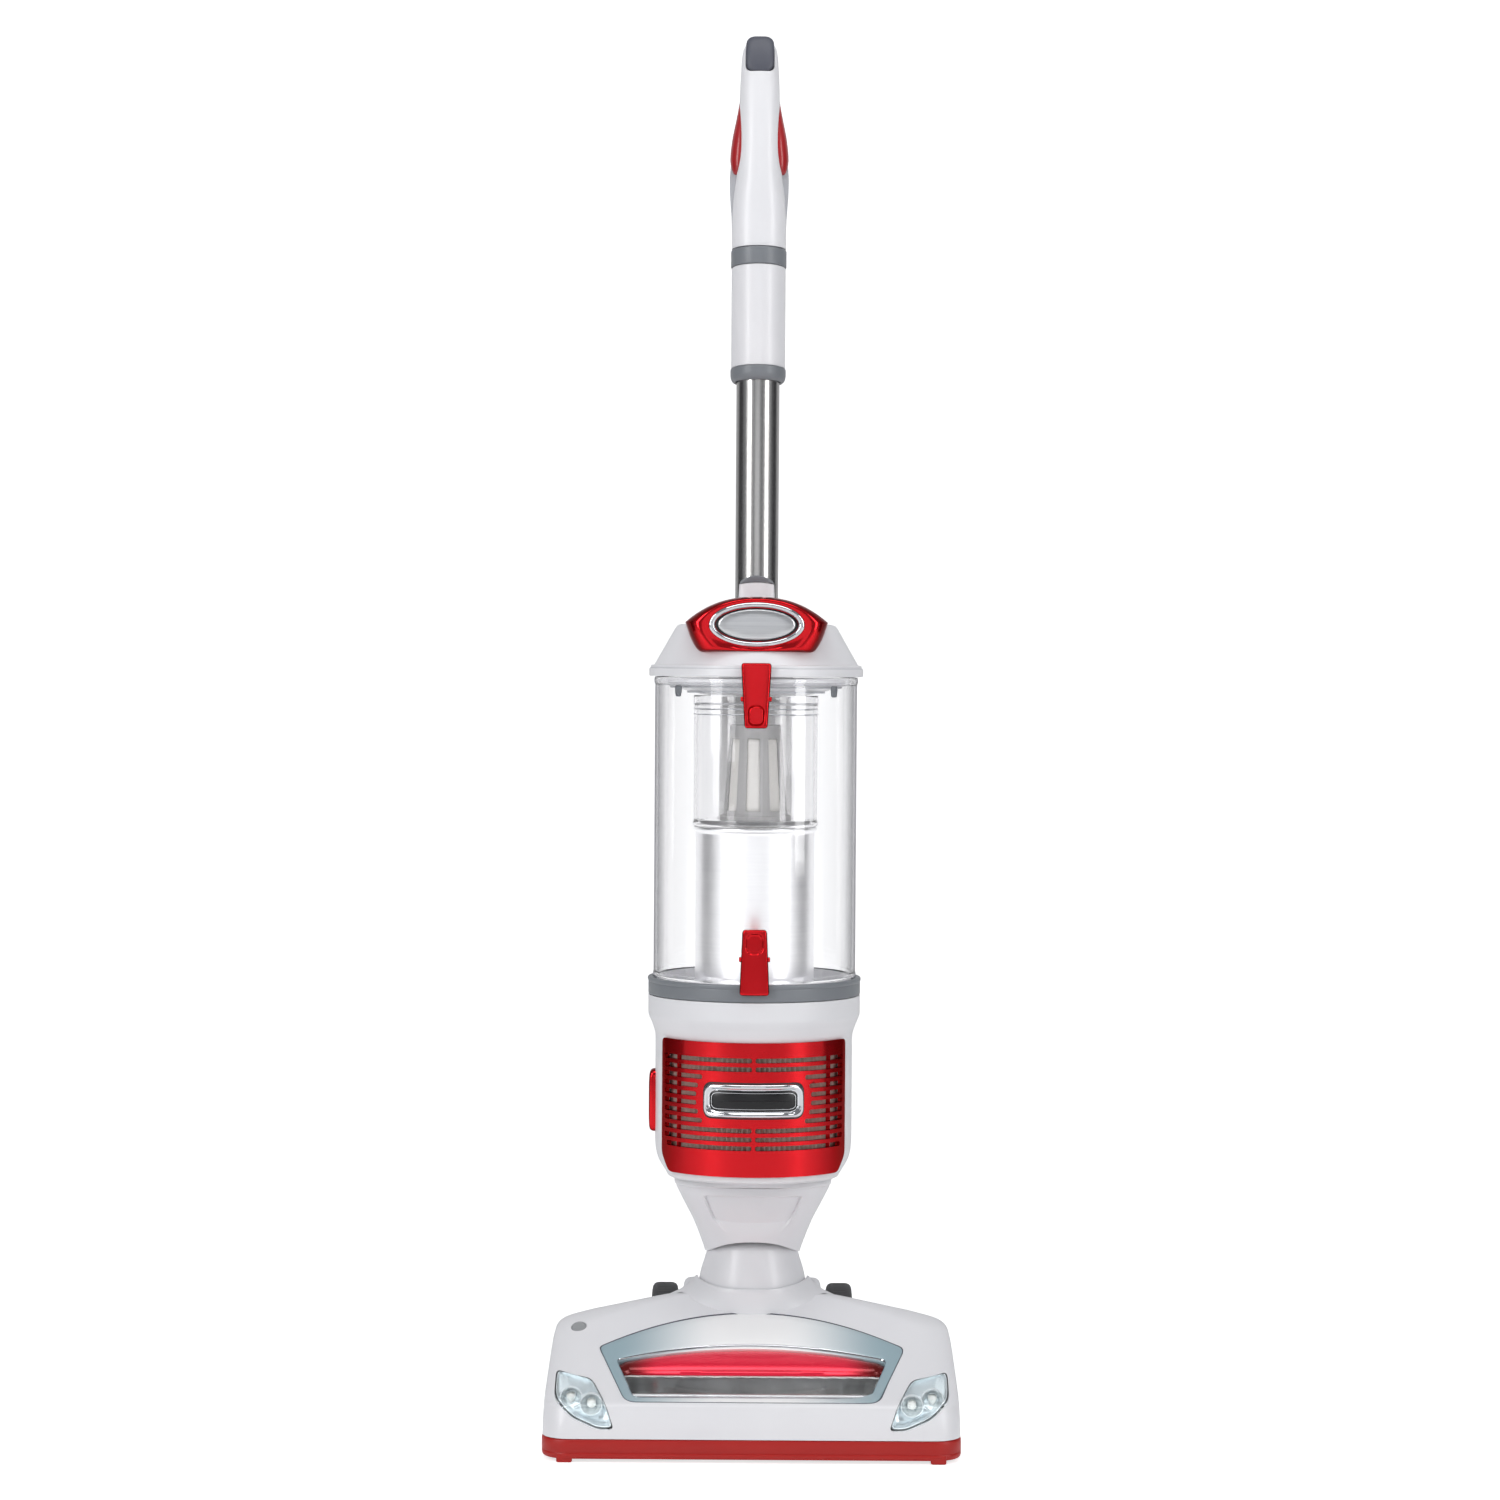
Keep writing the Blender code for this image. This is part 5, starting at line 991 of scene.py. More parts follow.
def make_grille():
    """The red grille: a flat plate with rounded slots, cut flat and bent round the housing."""
    reach = GRILLE_ANGLE * GRILLE_R
    low, high = GRILLE_Z
    outline = rounded([(-reach, low + 0.014), (-reach + 0.0115, low), (reach - 0.0115, low),
                       (reach, low + 0.014),
                       (reach, high), (-reach, high)], 0.0045, 6, True)
    plate = flat_block("grille_plate", outline, -0.0042, 0.0, 60)
    cuts = []
    full = math.radians(59.5) * GRILLE_R
    for row in range(11):
        height = FIRST_SLOT_Z - row * SLOT_PITCH
        if row in (0, 1, 8, 9, 10):
            inner = 0.0014
        else:
            inner = FRAME_HALF + (0.0022, 0.0062, 0.0078, 0.0078, 0.0062, 0.0022)[row - 2]
        outer = full - (0.0035 if row == 10 else 0.0)
        for side in (-1, 1):
            middle = side * (inner + outer) / 2
            cuts.append(flat_block("slot", stadium(middle, height, (outer - inner) / 2, 0.0019, 0.0018, 4),
                                   -0.02, 0.02))
    gathered = bmesh.new()
    for slot in cuts:
        gathered.from_mesh(slot.data)
        bpy.data.objects.remove(slot, do_unlink=True)
    mesh = bpy.data.meshes.new("slots")
    gathered.to_mesh(mesh)
    gathered.free()
    slots = bpy.data.objects.new("slots", mesh)
    bpy.context.scene.collection.objects.link(slots)
    apply_cuts(plate, [slots])
    wrap_mesh(plate, GRILLE_R)
    settle(plate, CANDY, "exhaust_grille", ("exhaust_grille",), 34.0, 1e-7)
    soften(plate, 0.0007, 3, 34.0)
    ribs = []
    for side in (-1, 1):
        turn = side * np.radians([50.5, 51.2, 51.2, 50.5])
        radius = np.array([0.0795, 0.0795, 0.0755, 0.0755])
        ring = np.column_stack([radius * np.sin(turn), -radius * np.cos(turn)])
        grid = np.stack([np.column_stack([ring, np.full(4, z)]) for z in np.linspace(0.222, 0.318, 12)])
        ribs.append(capped("grille_rib", grid))
    for rib in ribs:
        settle(rib, CANDY, "exhaust_grille", (), 30.0)
        soften(rib, 0.0003, 2)


def make_filter():
    """The pleated exhaust filter: a folded sheet between two rims."""
    angle = np.linspace(-math.radians(62), math.radians(62), 881)
    fold = 0.5 + 0.5 * np.cos(angle * 110)
    levels = np.linspace(0.2185, 0.3145, 30)
    radius = 0.0715 + 0.0040 * fold
    grid = np.stack([np.column_stack([radius * np.sin(angle), -radius * np.cos(angle), np.full(881, z)])
                     for z in levels])
    paper = add_mesh("pleated_sheet", grid, quads(30, 881, False))
    settle(paper, PAPER, "hepa_filter", ("hepa_filter",), 60.0)
    shell(paper, 0.0004)
    for low, high in ((0.2165, 0.2190), (0.3140, 0.3165)):
        turn = np.linspace(-math.radians(62), math.radians(62), 120)
        rows = [np.column_stack([r * np.sin(turn), -r * np.cos(turn), np.full(120, z)])
                for r, z in ((0.0765, low), (0.0765, high), (0.0640, high), (0.0640, low))]
        rim = add_mesh("filter_rim", np.stack(rows), quads(4, 120, False, True))
        settle(rim, DARK, "hepa_filter", (), 40.0)


FRAME_HALF = 0.0410


def make_badge():
    """The blank badge: a rounded chrome frame in two steps round a gloss black plate with a fine inset line."""
    outer = stadium(0, BADGE_Z, FRAME_HALF, 0.0135, 0.0080, 10)
    dense = []
    for place, here in enumerate(outer):
        after = outer[(place + 1) % len(outer)]
        steps = max(1, int(np.linalg.norm(after - here) / 0.0015))
        dense.extend(here + (after - here) * np.arange(steps)[:, None] / steps)
    dense = np.array(dense)
    middle = np.array([0, BADGE_Z])
    span = np.array([FRAME_HALF, 0.0135])

    def ring(inset, depth):
        """The outline drawn in by the inset along its own shape, then bent round the grille."""
        share = (span - inset) / span
        flat = middle + (dense - middle) * share
        return wrap(np.column_stack([flat[:, 0], np.full(len(flat), depth), flat[:, 1]]), GRILLE_R)

    profile = ((0.0, 0.0002), (0.0001, 0.0016), (0.0006, 0.0024), (0.0014, 0.0029), (0.0024, 0.0030),
               (0.0034, 0.0026),
               (0.0040, 0.0018), (0.0044, 0.0016), (0.0050, 0.0017), (0.0054, 0.0013), (0.0056, 0.0002))
    grid = np.stack([ring(inset, depth) for inset, depth in profile])
    frame_piece = add_mesh("badge_rim", grid, quads(len(grid), grid.shape[1], True, True))
    settle(frame_piece, CHROME, "badge_frame", ("badge_frame",), 50.0)
    rows = np.stack([ring(inset, depth) for inset, depth in
                     ((0.0050, 0.0003), (0.0052, 0.0012), (0.0056, 0.0014), (0.0100, 0.0016),
                      (0.0134, 0.0017))])
    plate = capped("badge_face", rows)
    settle(plate, BLACK_GLOSS, "badge_plate", ("badge_plate",), 40.0)
    line = np.stack([ring(inset, depth) for inset, depth in
                     ((0.0068, 0.00150), (0.0069, 0.00175), (0.0072, 0.00175), (0.0073, 0.00150))])
    inset_line = add_mesh("badge_line", line, quads(4, line.shape[1], True, True))
    settle(inset_line, CHROME, "badge_plate", (), 50.0)
    # Painted shade: a dark ring round the badge frame where it meets the grille.
    seat = np.stack([ring(inset, depth) for inset, depth in
                     ((-0.0012, 0.0000), (-0.0010, 0.0005), (-0.0004, 0.0007), (0.0004, 0.0006),
                      (0.0004, 0.0000))])
    shade = add_mesh("badge_gap_shade", seat, quads(5, seat.shape[1], True, True))
    settle(shade, DARK, "badge_frame", (), 50.0)


def make_lift_button():
    """The red release on the left: a rounded slab with a stepped rim."""
    rows = []
    for share, out in ((1.0, -0.0745), (1.0, -0.0815), (0.985, -0.0832), (0.94, -0.0846), (0.86, -0.0853),
                       (0.60, -0.0857), (0.30, -0.0858), (0.02, -0.0858)):
        outline = stadium(0.0, 0.2672, 0.0100 * share,
                          0.0254 * (0.6 * share + 0.4) - 0.4 * 0.0254 * (1 - share), 0.006 * share, 8)
        rows.append(np.column_stack([np.full(len(outline), out), outline[:, 0], outline[:, 1]]))
    button = capped("lift_button_skin", np.stack(rows))
    settle(button, CANDY, "lift_away_button", ("lift_away_button",), 40.0)
    soften(button, 0.0004, 2, 35)


# ---- canister: collar, cup and cyclone ------------------------------------
def make_collar():
    """The grey collar: a turned band with a groove and a thin lip that holds the cup's foot."""
    profile = [(0.0800, 0.3553), (0.0862, 0.3553), (0.0867, 0.3559), (0.0867, 0.3648), (0.0864, 0.3655),
               (0.0870, 0.3662), (0.0873, 0.3677), (0.0870, 0.3690), (0.0862, 0.3694), (0.0832, 0.3694),
               (0.0826, 0.3686), (0.0800, 0.3630)]
    collar = lathe("collar_band", profile, count=192, radius=0.0004, steps=3)
    settle(collar, RING_GREY, "cup_collar", ("cup_collar",), 45.0)
    floor = lathe("floor_door_skin", [(0, 0.3492), (0.0770, 0.3492), (0.0778, 0.3500), (0.0792, 0.3560),
                                      (0.0797, 0.3690),
                  (0.0788, 0.3696), (0.0776, 0.3690), (0.0764, 0.3550), (0.0700, 0.3530), (0.0, 0.3530)],
                  count=160, radius=0.0006)
    settle(floor, WHITE, "cup_floor_door", ("cup_floor_door",), 45.0)


def make_cup():
    """The clear cup: a turned wall with beads at both rims."""
    profile = [(0.0801, 0.3697), (0.0822, 0.3697), (0.0830, 0.3706), (0.0831, 0.3724), (0.0826, 0.3742),
               (0.0826, 0.6082), (0.0832, 0.6094), (0.0834, 0.6119), (0.0830, 0.6142), (0.0804, 0.6145),
               (0.0801, 0.6114), (0.0801, 0.3756)]
    cup = lathe("cup_wall", profile, count=256, radius=0.0006, steps=4)
    settle(cup, CLEAR, "dust_cup", ("dust_cup",), 50.0)


def make_column():
    """The satin inner column with a rolled top rim and a foot ring."""
    profile = [(0.0470, 0.3534), (0.0500, 0.3534), (0.0500, 0.3560), (0.0489, 0.3570), (0.0487, 0.3590),
               (0.0487, 0.4870), (0.0492, 0.4885), (0.0503, 0.4896), (0.0505, 0.4912), (0.0498, 0.4924),
               (0.0470, 0.4925), (0.0466, 0.4910), (0.0466, 0.3550)]
    column = lathe("column_wall", profile, count=192, radius=0.0008, steps=4)
    settle(column, SATIN, "inner_column", ("inner_column",), 45.0)


def make_cyclone():
    """The clear cyclone cylinder, with three fine grey rings near its top."""
    profile = [(0.0489, 0.4930), (0.0509, 0.4930), (0.0514, 0.4938), (0.0514, 0.4956), (0.0509, 0.4966),
               (0.0505, 0.4980), (0.0505, 0.5920), (0.0511, 0.5930), (0.0512, 0.5990), (0.0508, 0.6000),
               (0.0491, 0.6000), (0.0488, 0.5985), (0.0488, 0.4940)]
    wall = lathe("cyclone_wall", profile, count=192, radius=0.0005, steps=3)
    settle(wall, CLEAR_INNER, "cyclone_cylinder", ("cyclone_cylinder",), 50.0)
    for height in (0.5845, 0.5890, 0.5935):
        ring = lathe("cyclone_ring", [(0.0506, height - 0.0004), (0.0511, height - 0.0002),
                                      (0.0511, height + 0.0002),
                     (0.0506, height + 0.0004)], count=160, radius=0.0001, steps=2)
        settle(ring, PALE_GREY, "cyclone_cylinder", (), 60.0)


CONE_WINDOWS = 8


def cone_radius(z):
    """The filter cone's radius falls evenly from its foot to its cap."""
    return 0.0262 - (0.0262 - 0.0211) * (z - 0.5000) / (0.5766 - 0.5000)


def make_cone():
    """The filter cone: grey ribs and cap round windows, with a fine woven liner just inside them."""
    levels = np.linspace(0.5005, 0.5760, 96)
    angle = np.linspace(0, TAU, 385)[:-1]
    grid_angle, grid_z = np.meshgrid(angle, levels)
    reach = cone_radius(grid_z)
    grid = np.stack([reach * np.cos(grid_angle), reach * np.sin(grid_angle), grid_z], axis=-1)
    frame_wall = add_mesh("cone_frame", grid, quads(96, 384))

    def open_part(points):
        """True for a point whose turn from the nearest window's middle is under 0.29 of a step."""
        turn = np.arctan2(points[:, 1], points[:, 0]) - math.radians(-95)
        step = TAU / CONE_WINDOWS
        near = (turn + step / 2) % step - step / 2
        return (np.abs(near) < step * 0.29) & (points[:, 2] > 0.5055) & (points[:, 2] < 0.5645)

    drop_faces(frame_wall, open_part)
    settle(frame_wall, CONE_GREY, "filter_cone", ("filter_cone",), 40.0)
    shell(frame_wall, 0.0010)
    levels = np.linspace(0.5040, 0.5655, 12)
    grid_angle, grid_z = np.meshgrid(angle, levels)
    reach = cone_radius(grid_z) - 0.0012
    grid = np.stack([reach * np.cos(grid_angle), reach * np.sin(grid_angle), grid_z], axis=-1)
    liner = add_mesh("cone_liner", grid, quads(12, 384))
    settle(liner, MESH, "filter_cone", (), 60.0)
    shell(liner, 0.0002)
    cap = lathe("cone_cap", [(0.0207, 0.5735), (0.0212, 0.5745), (0.0212, 0.5756), (0.0205, 0.5764),
                             (0.0150, 0.5766),
                (0.0, 0.5766)], count=128, radius=0.0006)
    settle(cap, CONE_GREY, "filter_cone", (), 50.0)
    flange = lathe("cone_flange", [(0.0250, 0.4968), (0.0288, 0.4968), (0.0290, 0.4974), (0.0290, 0.5008),
                   (0.0284, 0.5014), (0.0268, 0.5018), (0.0263, 0.5030), (0.0250, 0.5030)], count=128,
                   radius=0.0004)
    settle(flange, CONE_GREY, "filter_cone", (), 50.0)


# ---- lid, crown and latches -----------------------------------------------
def make_lid():
    """The white lid: a turned rim and cone, with a shallow dome, two clips and rings under it."""
    profile = [(0.0845, 0.6150), (0.0872, 0.6148), (0.0875, 0.6156), (0.0875, 0.6206), (0.0872, 0.6212),
               (0.0864, 0.6214), (0.0862, 0.6220), (0.0862, 0.6232), (0.0858, 0.6239), (0.0836, 0.6241),
               (0.0830, 0.6248), (0.0664, 0.6540), (0.0645, 0.6563), (0.0615, 0.6573), (0.0560, 0.6575),
               (0.0, 0.6575)]
    line = rounded(profile, 0.0004, 4)
    inner = np.array([(0.0, 0.6540), (0.0580, 0.6540), (0.0800, 0.6180), (0.0838, 0.6150)])
    lid = lathe("lid_skin", np.concatenate([inner, line]), count=224, radius=0.0002, steps=2)
    settle(lid, WHITE, "cup_lid", ("cup_lid",), 34.0)
    # Painted shade: a thin grey ring along the rim's step, marking the step that white on white shows no shade for.
    step_shade = lathe("lid_step_shade", [(0.0855, 0.6212), (0.0870, 0.62125), (0.0871, 0.62145), (0.0870, 0.62165),
                              (0.0855, 0.6217)],
                 count=224, radius=0.0001, steps=2)
    settle(step_shade, PALE_GREY, "cup_lid", (), 40.0)
    reach = np.linspace(0.0792, 0.0, 24)
    dome = lathe("lid_dome", [(0.0, 0.6128), (0.0790, 0.6128),
                              *[(r, 0.5972 + 0.0130 * (r / 0.079) ** 2.2) for r in reach]],
                 count=160, radius=0.0004, steps=2)
    settle(dome, WHITE, "cup_lid", (), 40.0)
    for radius, drop in ((0.0776, 0.0), (0.0700, 0.0006), (0.0560, 0.0010)):
        height = 0.5972 + 0.0130 * (radius / 0.079) ** 2.2 - 0.0006
        ring = lathe("lid_ring", [(radius - 0.0006, height), (radius, height - 0.0006 - drop / 2),
                                  (radius + 0.0006, height),
                     (radius, height + 0.0008)], count=160, radius=0.0002, steps=2)
        settle(ring, PALE_GREY, "cup_lid", (), 50.0)
    for side, word in ((-1, "left"), (1, "right")):
        outline = rounded([(-0.0020, -0.0045), (0.0020, -0.0045), (0.0026, 0.0), (0.0026, 0.0046),
                           (-0.0026, 0.0046),
                           (-0.0026, 0.0)], 0.0012, 4, True)
        rows = [np.column_stack([side * 0.0618 + outline[:, 0] * share, np.full(len(outline), depth),
                                 0.6030 + outline[:, 1] * share])
                for share, depth in ((0.8, -0.0508), (1.0, -0.0500), (1.0, -0.0470), (0.8, -0.0462))]
        clip = capped(word + "_clip", np.stack(rows))
        settle(clip, RING_GREY, "cup_lid", (), 40.0)


CROWN_WAIST = 0.6585
OVAL_Z = 0.6565


def crown_section():
    """The crown's outline seen from the front: an arched top, pointed sides and a flat foot."""
    across = np.linspace(-1, 1, 81)
    top = np.column_stack([0.0575 * across, 0.0205 * (1 - np.abs(across) ** 2.45)])
    corners = np.array([(0.0575, 0.0), (0.0538, -0.0110), (0.0500, -0.0190), (0.0470, -0.0232),
                        (0.0444, -0.0245)])
    right = smooth_levels(corners, 8)
    foot = np.column_stack([np.linspace(0.0444, -0.0444, 50)[1:-1], np.full(48, -0.0245)])
    left = right[::-1] * np.array([-1, 1])
    return np.concatenate([top[:-1], right, foot, left[:-1]])


def make_crown():
    """The chrome-red crown: the front outline swept back, swelling from its brow and sinking to the rear."""
    outline = crown_section()
    focus = np.array([0.0, -0.0020])
    start = np.arctan2((outline[:, 1] - focus[1]) / 0.0215, outline[:, 0] / 0.0575)
    ellipse = focus + np.column_stack([0.0400 * np.cos(start), 0.0192 * np.sin(start)])
    rows = []
    for share in np.linspace(0.0, 1.0, 30) ** 1.4:
        swell = (1 - (1 - share) ** 2.2) ** (1 / 2.2)
        flat = ellipse + (outline - ellipse) * swell
        depth = -0.0772 + 0.0330 * share ** 1.35
        lean = 0.30 * np.clip(-0.0020 - flat[:, 1], 0, None) * swell * (1 - (flat[:, 0] / 0.075) ** 2)
        rows.append(np.column_stack([flat[:, 0], depth - lean, CROWN_WAIST + flat[:, 1]]))
    for share in np.linspace(0.08, 1.0, 14):
        depth = -0.0442 + 0.0934 * share
        fall = math.cos(share * math.pi / 2 * 0.94) ** 0.5
        lift = np.where(outline[:, 1] > 0, outline[:, 1] * (0.25 + 0.75 * fall),
                        outline[:, 1] * 0.12 - 0.0005)
        low = np.where(outline[:, 1] > 0, 0.0, outline[:, 1] * 0.88 * max(0.0, 1 - share * 9))
        rows.append(np.column_stack([outline[:, 0] * (0.35 + 0.65 * fall), np.full(len(outline), depth),
                                     CROWN_WAIST + lift + low]))
    crown = capped("crown_skin", np.stack(rows))
    settle(crown, CANDY, "lid_crown", ("lid_crown",), 55.0)


def oval(half_x, half_z, depth, count=160):
    """An ellipse round the crown's oval centre: cosine across and sine up, at one depth."""
    angle = np.arange(count) * TAU / count
    return np.column_stack([half_x * np.cos(angle), np.full(count, depth), OVAL_Z + half_z * np.sin(angle)])


def make_crown_badge():
    """The blank oval badge: a rounded chrome ring, a dark channel and a brushed disc."""
    front = -0.0783
    profile = ((0.0386, 0.0180, 0.0060), (0.0386, 0.0180, 0.0010), (0.0383, 0.0177, -0.0002),
               (0.0376, 0.0171, -0.0010),
               (0.0364, 0.0162, -0.0014), (0.0350, 0.0151, -0.0013), (0.0340, 0.0143, -0.0006),
               (0.0334, 0.0138, 0.0006),
               (0.0331, 0.0135, 0.0014), (0.0331, 0.0135, 0.0060))
    ring = add_mesh("oval_rim", np.stack([oval(x, z, front + depth) for x, z, depth in profile]),
                    quads(10, 160, True, True))
    settle(ring, CHROME, "crown_oval_frame", ("crown_oval_frame",), 50.0)
    channel = capped("oval_channel", np.stack([oval(x, z, front + depth) for x, z, depth in
                     ((0.0336, 0.0137, 0.0024), (0.0336, 0.0137, 0.0014), (0.0330, 0.0132, 0.0010),
                      (0.01, 0.004, 0.0010))]))
    settle(channel, BLACK_GLOSS, "crown_oval_frame", (), 50.0)
    disc = capped("oval_disc", np.stack([oval(x, z, front + depth) for x, z, depth in
                  ((0.0308, 0.0122, 0.0014), (0.0308, 0.0122, 0.0004), (0.0304, 0.0118, -0.0002),
                   (0.0292, 0.0110, -0.0006),
                   (0.0200, 0.0074, -0.0010), (0.0060, 0.0024, -0.0012))]))
    settle(disc, DISC_METAL, "crown_oval_disc", ("crown_oval_disc",), 50.0)


def latch_plate(name, node, ends, halves, pad, pad_half, raised):
    """A latch: a bowed red plate whose thickness carries an oval finger pad."""
    foot, head = ends
    across = np.linspace(-1, 1, 49)
    up = np.linspace(0, 1, 121)
    share, along = np.meshgrid(across, up)
    height = foot + (head - foot) * along
    half = halves[0] + (halves[1] - halves[0]) * along
    near_end = np.minimum(along, 1 - along) * abs(head - foot)
    half = half - 0.0022 * (1 - np.sqrt(np.clip(near_end / 0.0030, 0,
                                                1) * (2 - np.clip(near_end / 0.0030, 0, 1))))
    side = share * half
    edge = np.minimum(half - np.abs(side), near_end)
    round_off = 1 - np.sqrt(np.clip(edge / 0.0016, 0, 1) * (2 - np.clip(edge / 0.0016, 0, 1)))
    away = box_distance(side, height - pad, pad_half[0], pad_half[1], pad_half[0] * 0.8)
    groove = -0.00085 * np.exp(-(away / 0.00045) ** 2)
    lift = raised * smooth_step(0.0004, -0.0014, away)
    out = 0.0904 + 0.0016 - 0.0022 * round_off - 0.0008 * share ** 2 + groove + lift
    grid = np.stack([side, -out, height], axis=-1)
    back = np.stack([side, np.full_like(side, -0.0884), height], axis=-1)
    front_count = grid.shape[0] * grid.shape[1]
    plate = add_mesh(name, np.concatenate([grid.reshape(-1, 3), back.reshape(-1, 3)]),
                     np.concatenate([quads(121, 49, False), quads(121, 49, False)[:, ::-1] + front_count,
                                     latch_sides(121, 49, front_count)]))
    settle(plate, CANDY, node, (node,), 45.0)


def latch_sides(rows, columns, offset):
    """The quads that close the rim between a front grid and a back grid."""
    rim = np.concatenate([np.arange(columns), np.arange(1, rows) * columns + columns - 1,
                          (rows - 1) * columns + np.arange(columns - 2, -1, -1),
                          np.arange(rows - 2, 0, -1) * columns])
    after = np.roll(rim, -1)
    return np.column_stack([rim, after, after + offset, rim + offset])


def pivot_pin(name, node, height, half):
    """A latch's pin: a turned rod with broken ends, laid across the machine."""
    pin = lathe(name, [(0, -half), (0.0016, -half), (0.0020, -half + 0.0005), (0.0020, half - 0.0005),
                       (0.0016, half), (0, half)],
                count=32, radius=0.0003)
    settle(lay(pin, "x", (0, -0.0882, height)), CANDY, node, (), 50.0)


def make_latches():
    """Both cup latches, the lower one turned end for end."""
    latch_plate("top_latch_skin", "top_latch", (0.5739, 0.6259), (0.0093, 0.0122), 0.5842,
                (0.0062, 0.0076), 0.0010)
    pivot_pin("top_latch_pin", "top_latch", 0.5972, 0.0124)
    latch_plate("bottom_latch_skin", "bottom_latch", (0.4138, 0.3612), (0.0098, 0.0120), 0.4025,
                (0.0064, 0.0080), -0.0011)
    pivot_pin("bottom_latch_pin", "bottom_latch", 0.3900, 0.0124)


# ---- neck, saddle, funnel and spine ---------------------------------------
NECK_Y = 0.012
WAND_Y = 0.101


def make_knuckle():
    """The swivel ball: a turned flare under a waist, with a dome that goes up into the funnel."""
    profile = [(0.0, 0.1085), (0.0380, 0.1085), (0.0438, 0.1100), (0.0440, 0.1150), (0.0436, 0.1195),
               (0.0427, 0.1245),
               (0.0412, 0.1300), (0.0394, 0.1352), (0.0379, 0.1404), (0.0370, 0.1440),
               (0.0356, 0.1480), (0.0336, 0.1515), (0.0290, 0.1548), (0.0180, 0.1572), (0.0, 0.1582)]
    ball = lathe("neck_ball", profile, (0, NECK_Y), 192, 0.0026, 5)
    settle(ball, WHITE, "neck_knuckle", ("neck_knuckle",), 50.0)
    barrel = lathe("neck_barrel", [(0, -0.0430), (0.0200, -0.0430), (0.0216, -0.0415), (0.0220, -0.0395),
                                   (0.0220, 0.0395),
                   (0.0216, 0.0415), (0.0200, 0.0430), (0, 0.0430)], count=96, radius=0.0008)
    settle(lay(barrel, "x", (0, 0.035, 0.085)), WHITE, "neck_knuckle", (), 50.0)
    rows = []
    for height, half, front, back in ((0.0860, 0.0335, 0.0160, 0.0535), (0.0950, 0.0335, 0.0130, 0.0530),
                                      (0.1030, 0.0330, 0.0060, 0.0500), (0.1120, 0.0320, -0.0060, 0.0420)):
        rows.append(plan_outline(half, front, back, 0.010, height, 8, 10))
    stub = capped("neck_stub", np.stack(rows))
    settle(stub, WHITE, "neck_knuckle", (), 45.0)
    seal = lathe("seal_band", [(0.0330, 0.1408), (0.0362, 0.1408), (0.0364, 0.1412), (0.0362, 0.1418),
                               (0.0330, 0.1420)],
                 (0, NECK_Y), 128, 0.0002)
    settle(seal, RUBBER, "swivel_seal", ("swivel_seal",), 50.0)


def make_saddle():
    """The front of the cover's crest: a flare that hugs the ball, with a rolled upper edge."""
    turn = np.radians(np.linspace(-90, 90, 161))
    side_share = np.abs(np.sin(turn)) ** 2.2
    rows = []
    for share, out, height in ((0.0, 0.0005, 0.100), (0.0, 0.0, 0.1120), (0.0, 0.0, 0.1160),
                               (0.0, 0.0004, 0.1168),
                               (0.0, 0.0011, 0.1170), (0.02, 0.0018, 0.1163), (0.10, 0.0020, 0.1135),
                               (0.26, 0.0020, 0.1110), (0.50, 0.0020, 0.1085), (0.78, 0.0020, 0.1058),
                               (1.0, 0.0020, 0.1030), (1.02, 0.0020, 0.0990)):
        radius = 0.0447 + out + 0.026 * share * side_share
        fall = np.where(share > 0.05, (1 - side_share) * (height - 0.1168) * 0.50, 0.0)
        fall = fall + 0.0042 * np.abs(np.sin(turn)) ** 3 * (1 - np.clip(share / 0.6, 0,
                                                                        1)) * (height > 0.105)
        rows.append(np.column_stack([radius * np.sin(turn), NECK_Y - np.minimum(radius,
                                                                                0.0467) * np.cos(turn),
                                     height + fall * np.ones(161)]))
    grid = np.stack(rows)
    saddle = add_mesh("cover_saddle", grid, quads(len(grid), 161, False))
    settle(saddle, WHITE, "nozzle_cover", (), 60.0)
    shell(saddle, 0.0010)
    for side, word in ((-1, "left"), (1, "right")):
        rows = []
        for share, inset in ((0.0, 0.0025), (0.04, 0.0008), (0.14, 0.0), (0.5, 0.0), (0.72, 0.0006),
                             (0.88, 0.0024),
                             (0.97, 0.0052), (1.0, 0.0080)):
            x = 0.0442 + share * 0.0128
            outline = rounded([(0.0035 + inset, 0.088), (0.0120 + inset, 0.1135 - inset),
                               (0.0300, 0.1172 - inset),
                               (0.0470 - inset, 0.1120 - inset), (0.0600 - inset, 0.0950),
                               (0.0615 - inset, 0.0700),
                               (0.0560, 0.0400), (0.0150, 0.0400)], 0.009, 7, True)
            rows.append(np.column_stack([np.full(len(outline), side * x), outline[:, 0], outline[:, 1]]))
        shoulder = capped(word + "_shoulder", np.stack(rows))
        settle(shoulder, WHITE, "nozzle_cover", (), 45.0)
        cap = lathe(word + "_pivot_cap", [(0, -0.0008), (0.0090, -0.0008), (0.0100, 0.0), (0.0100, 0.0010),
                                          (0.0086, 0.0016),
                    (0.0, 0.0016)], count=64, radius=0.0005)
        settle(lay(cap, "x" if side > 0 else "-x", (side * 0.0568, 0.035, 0.085)), RING_GREY,
               "nozzle_cover", (), 45.0)


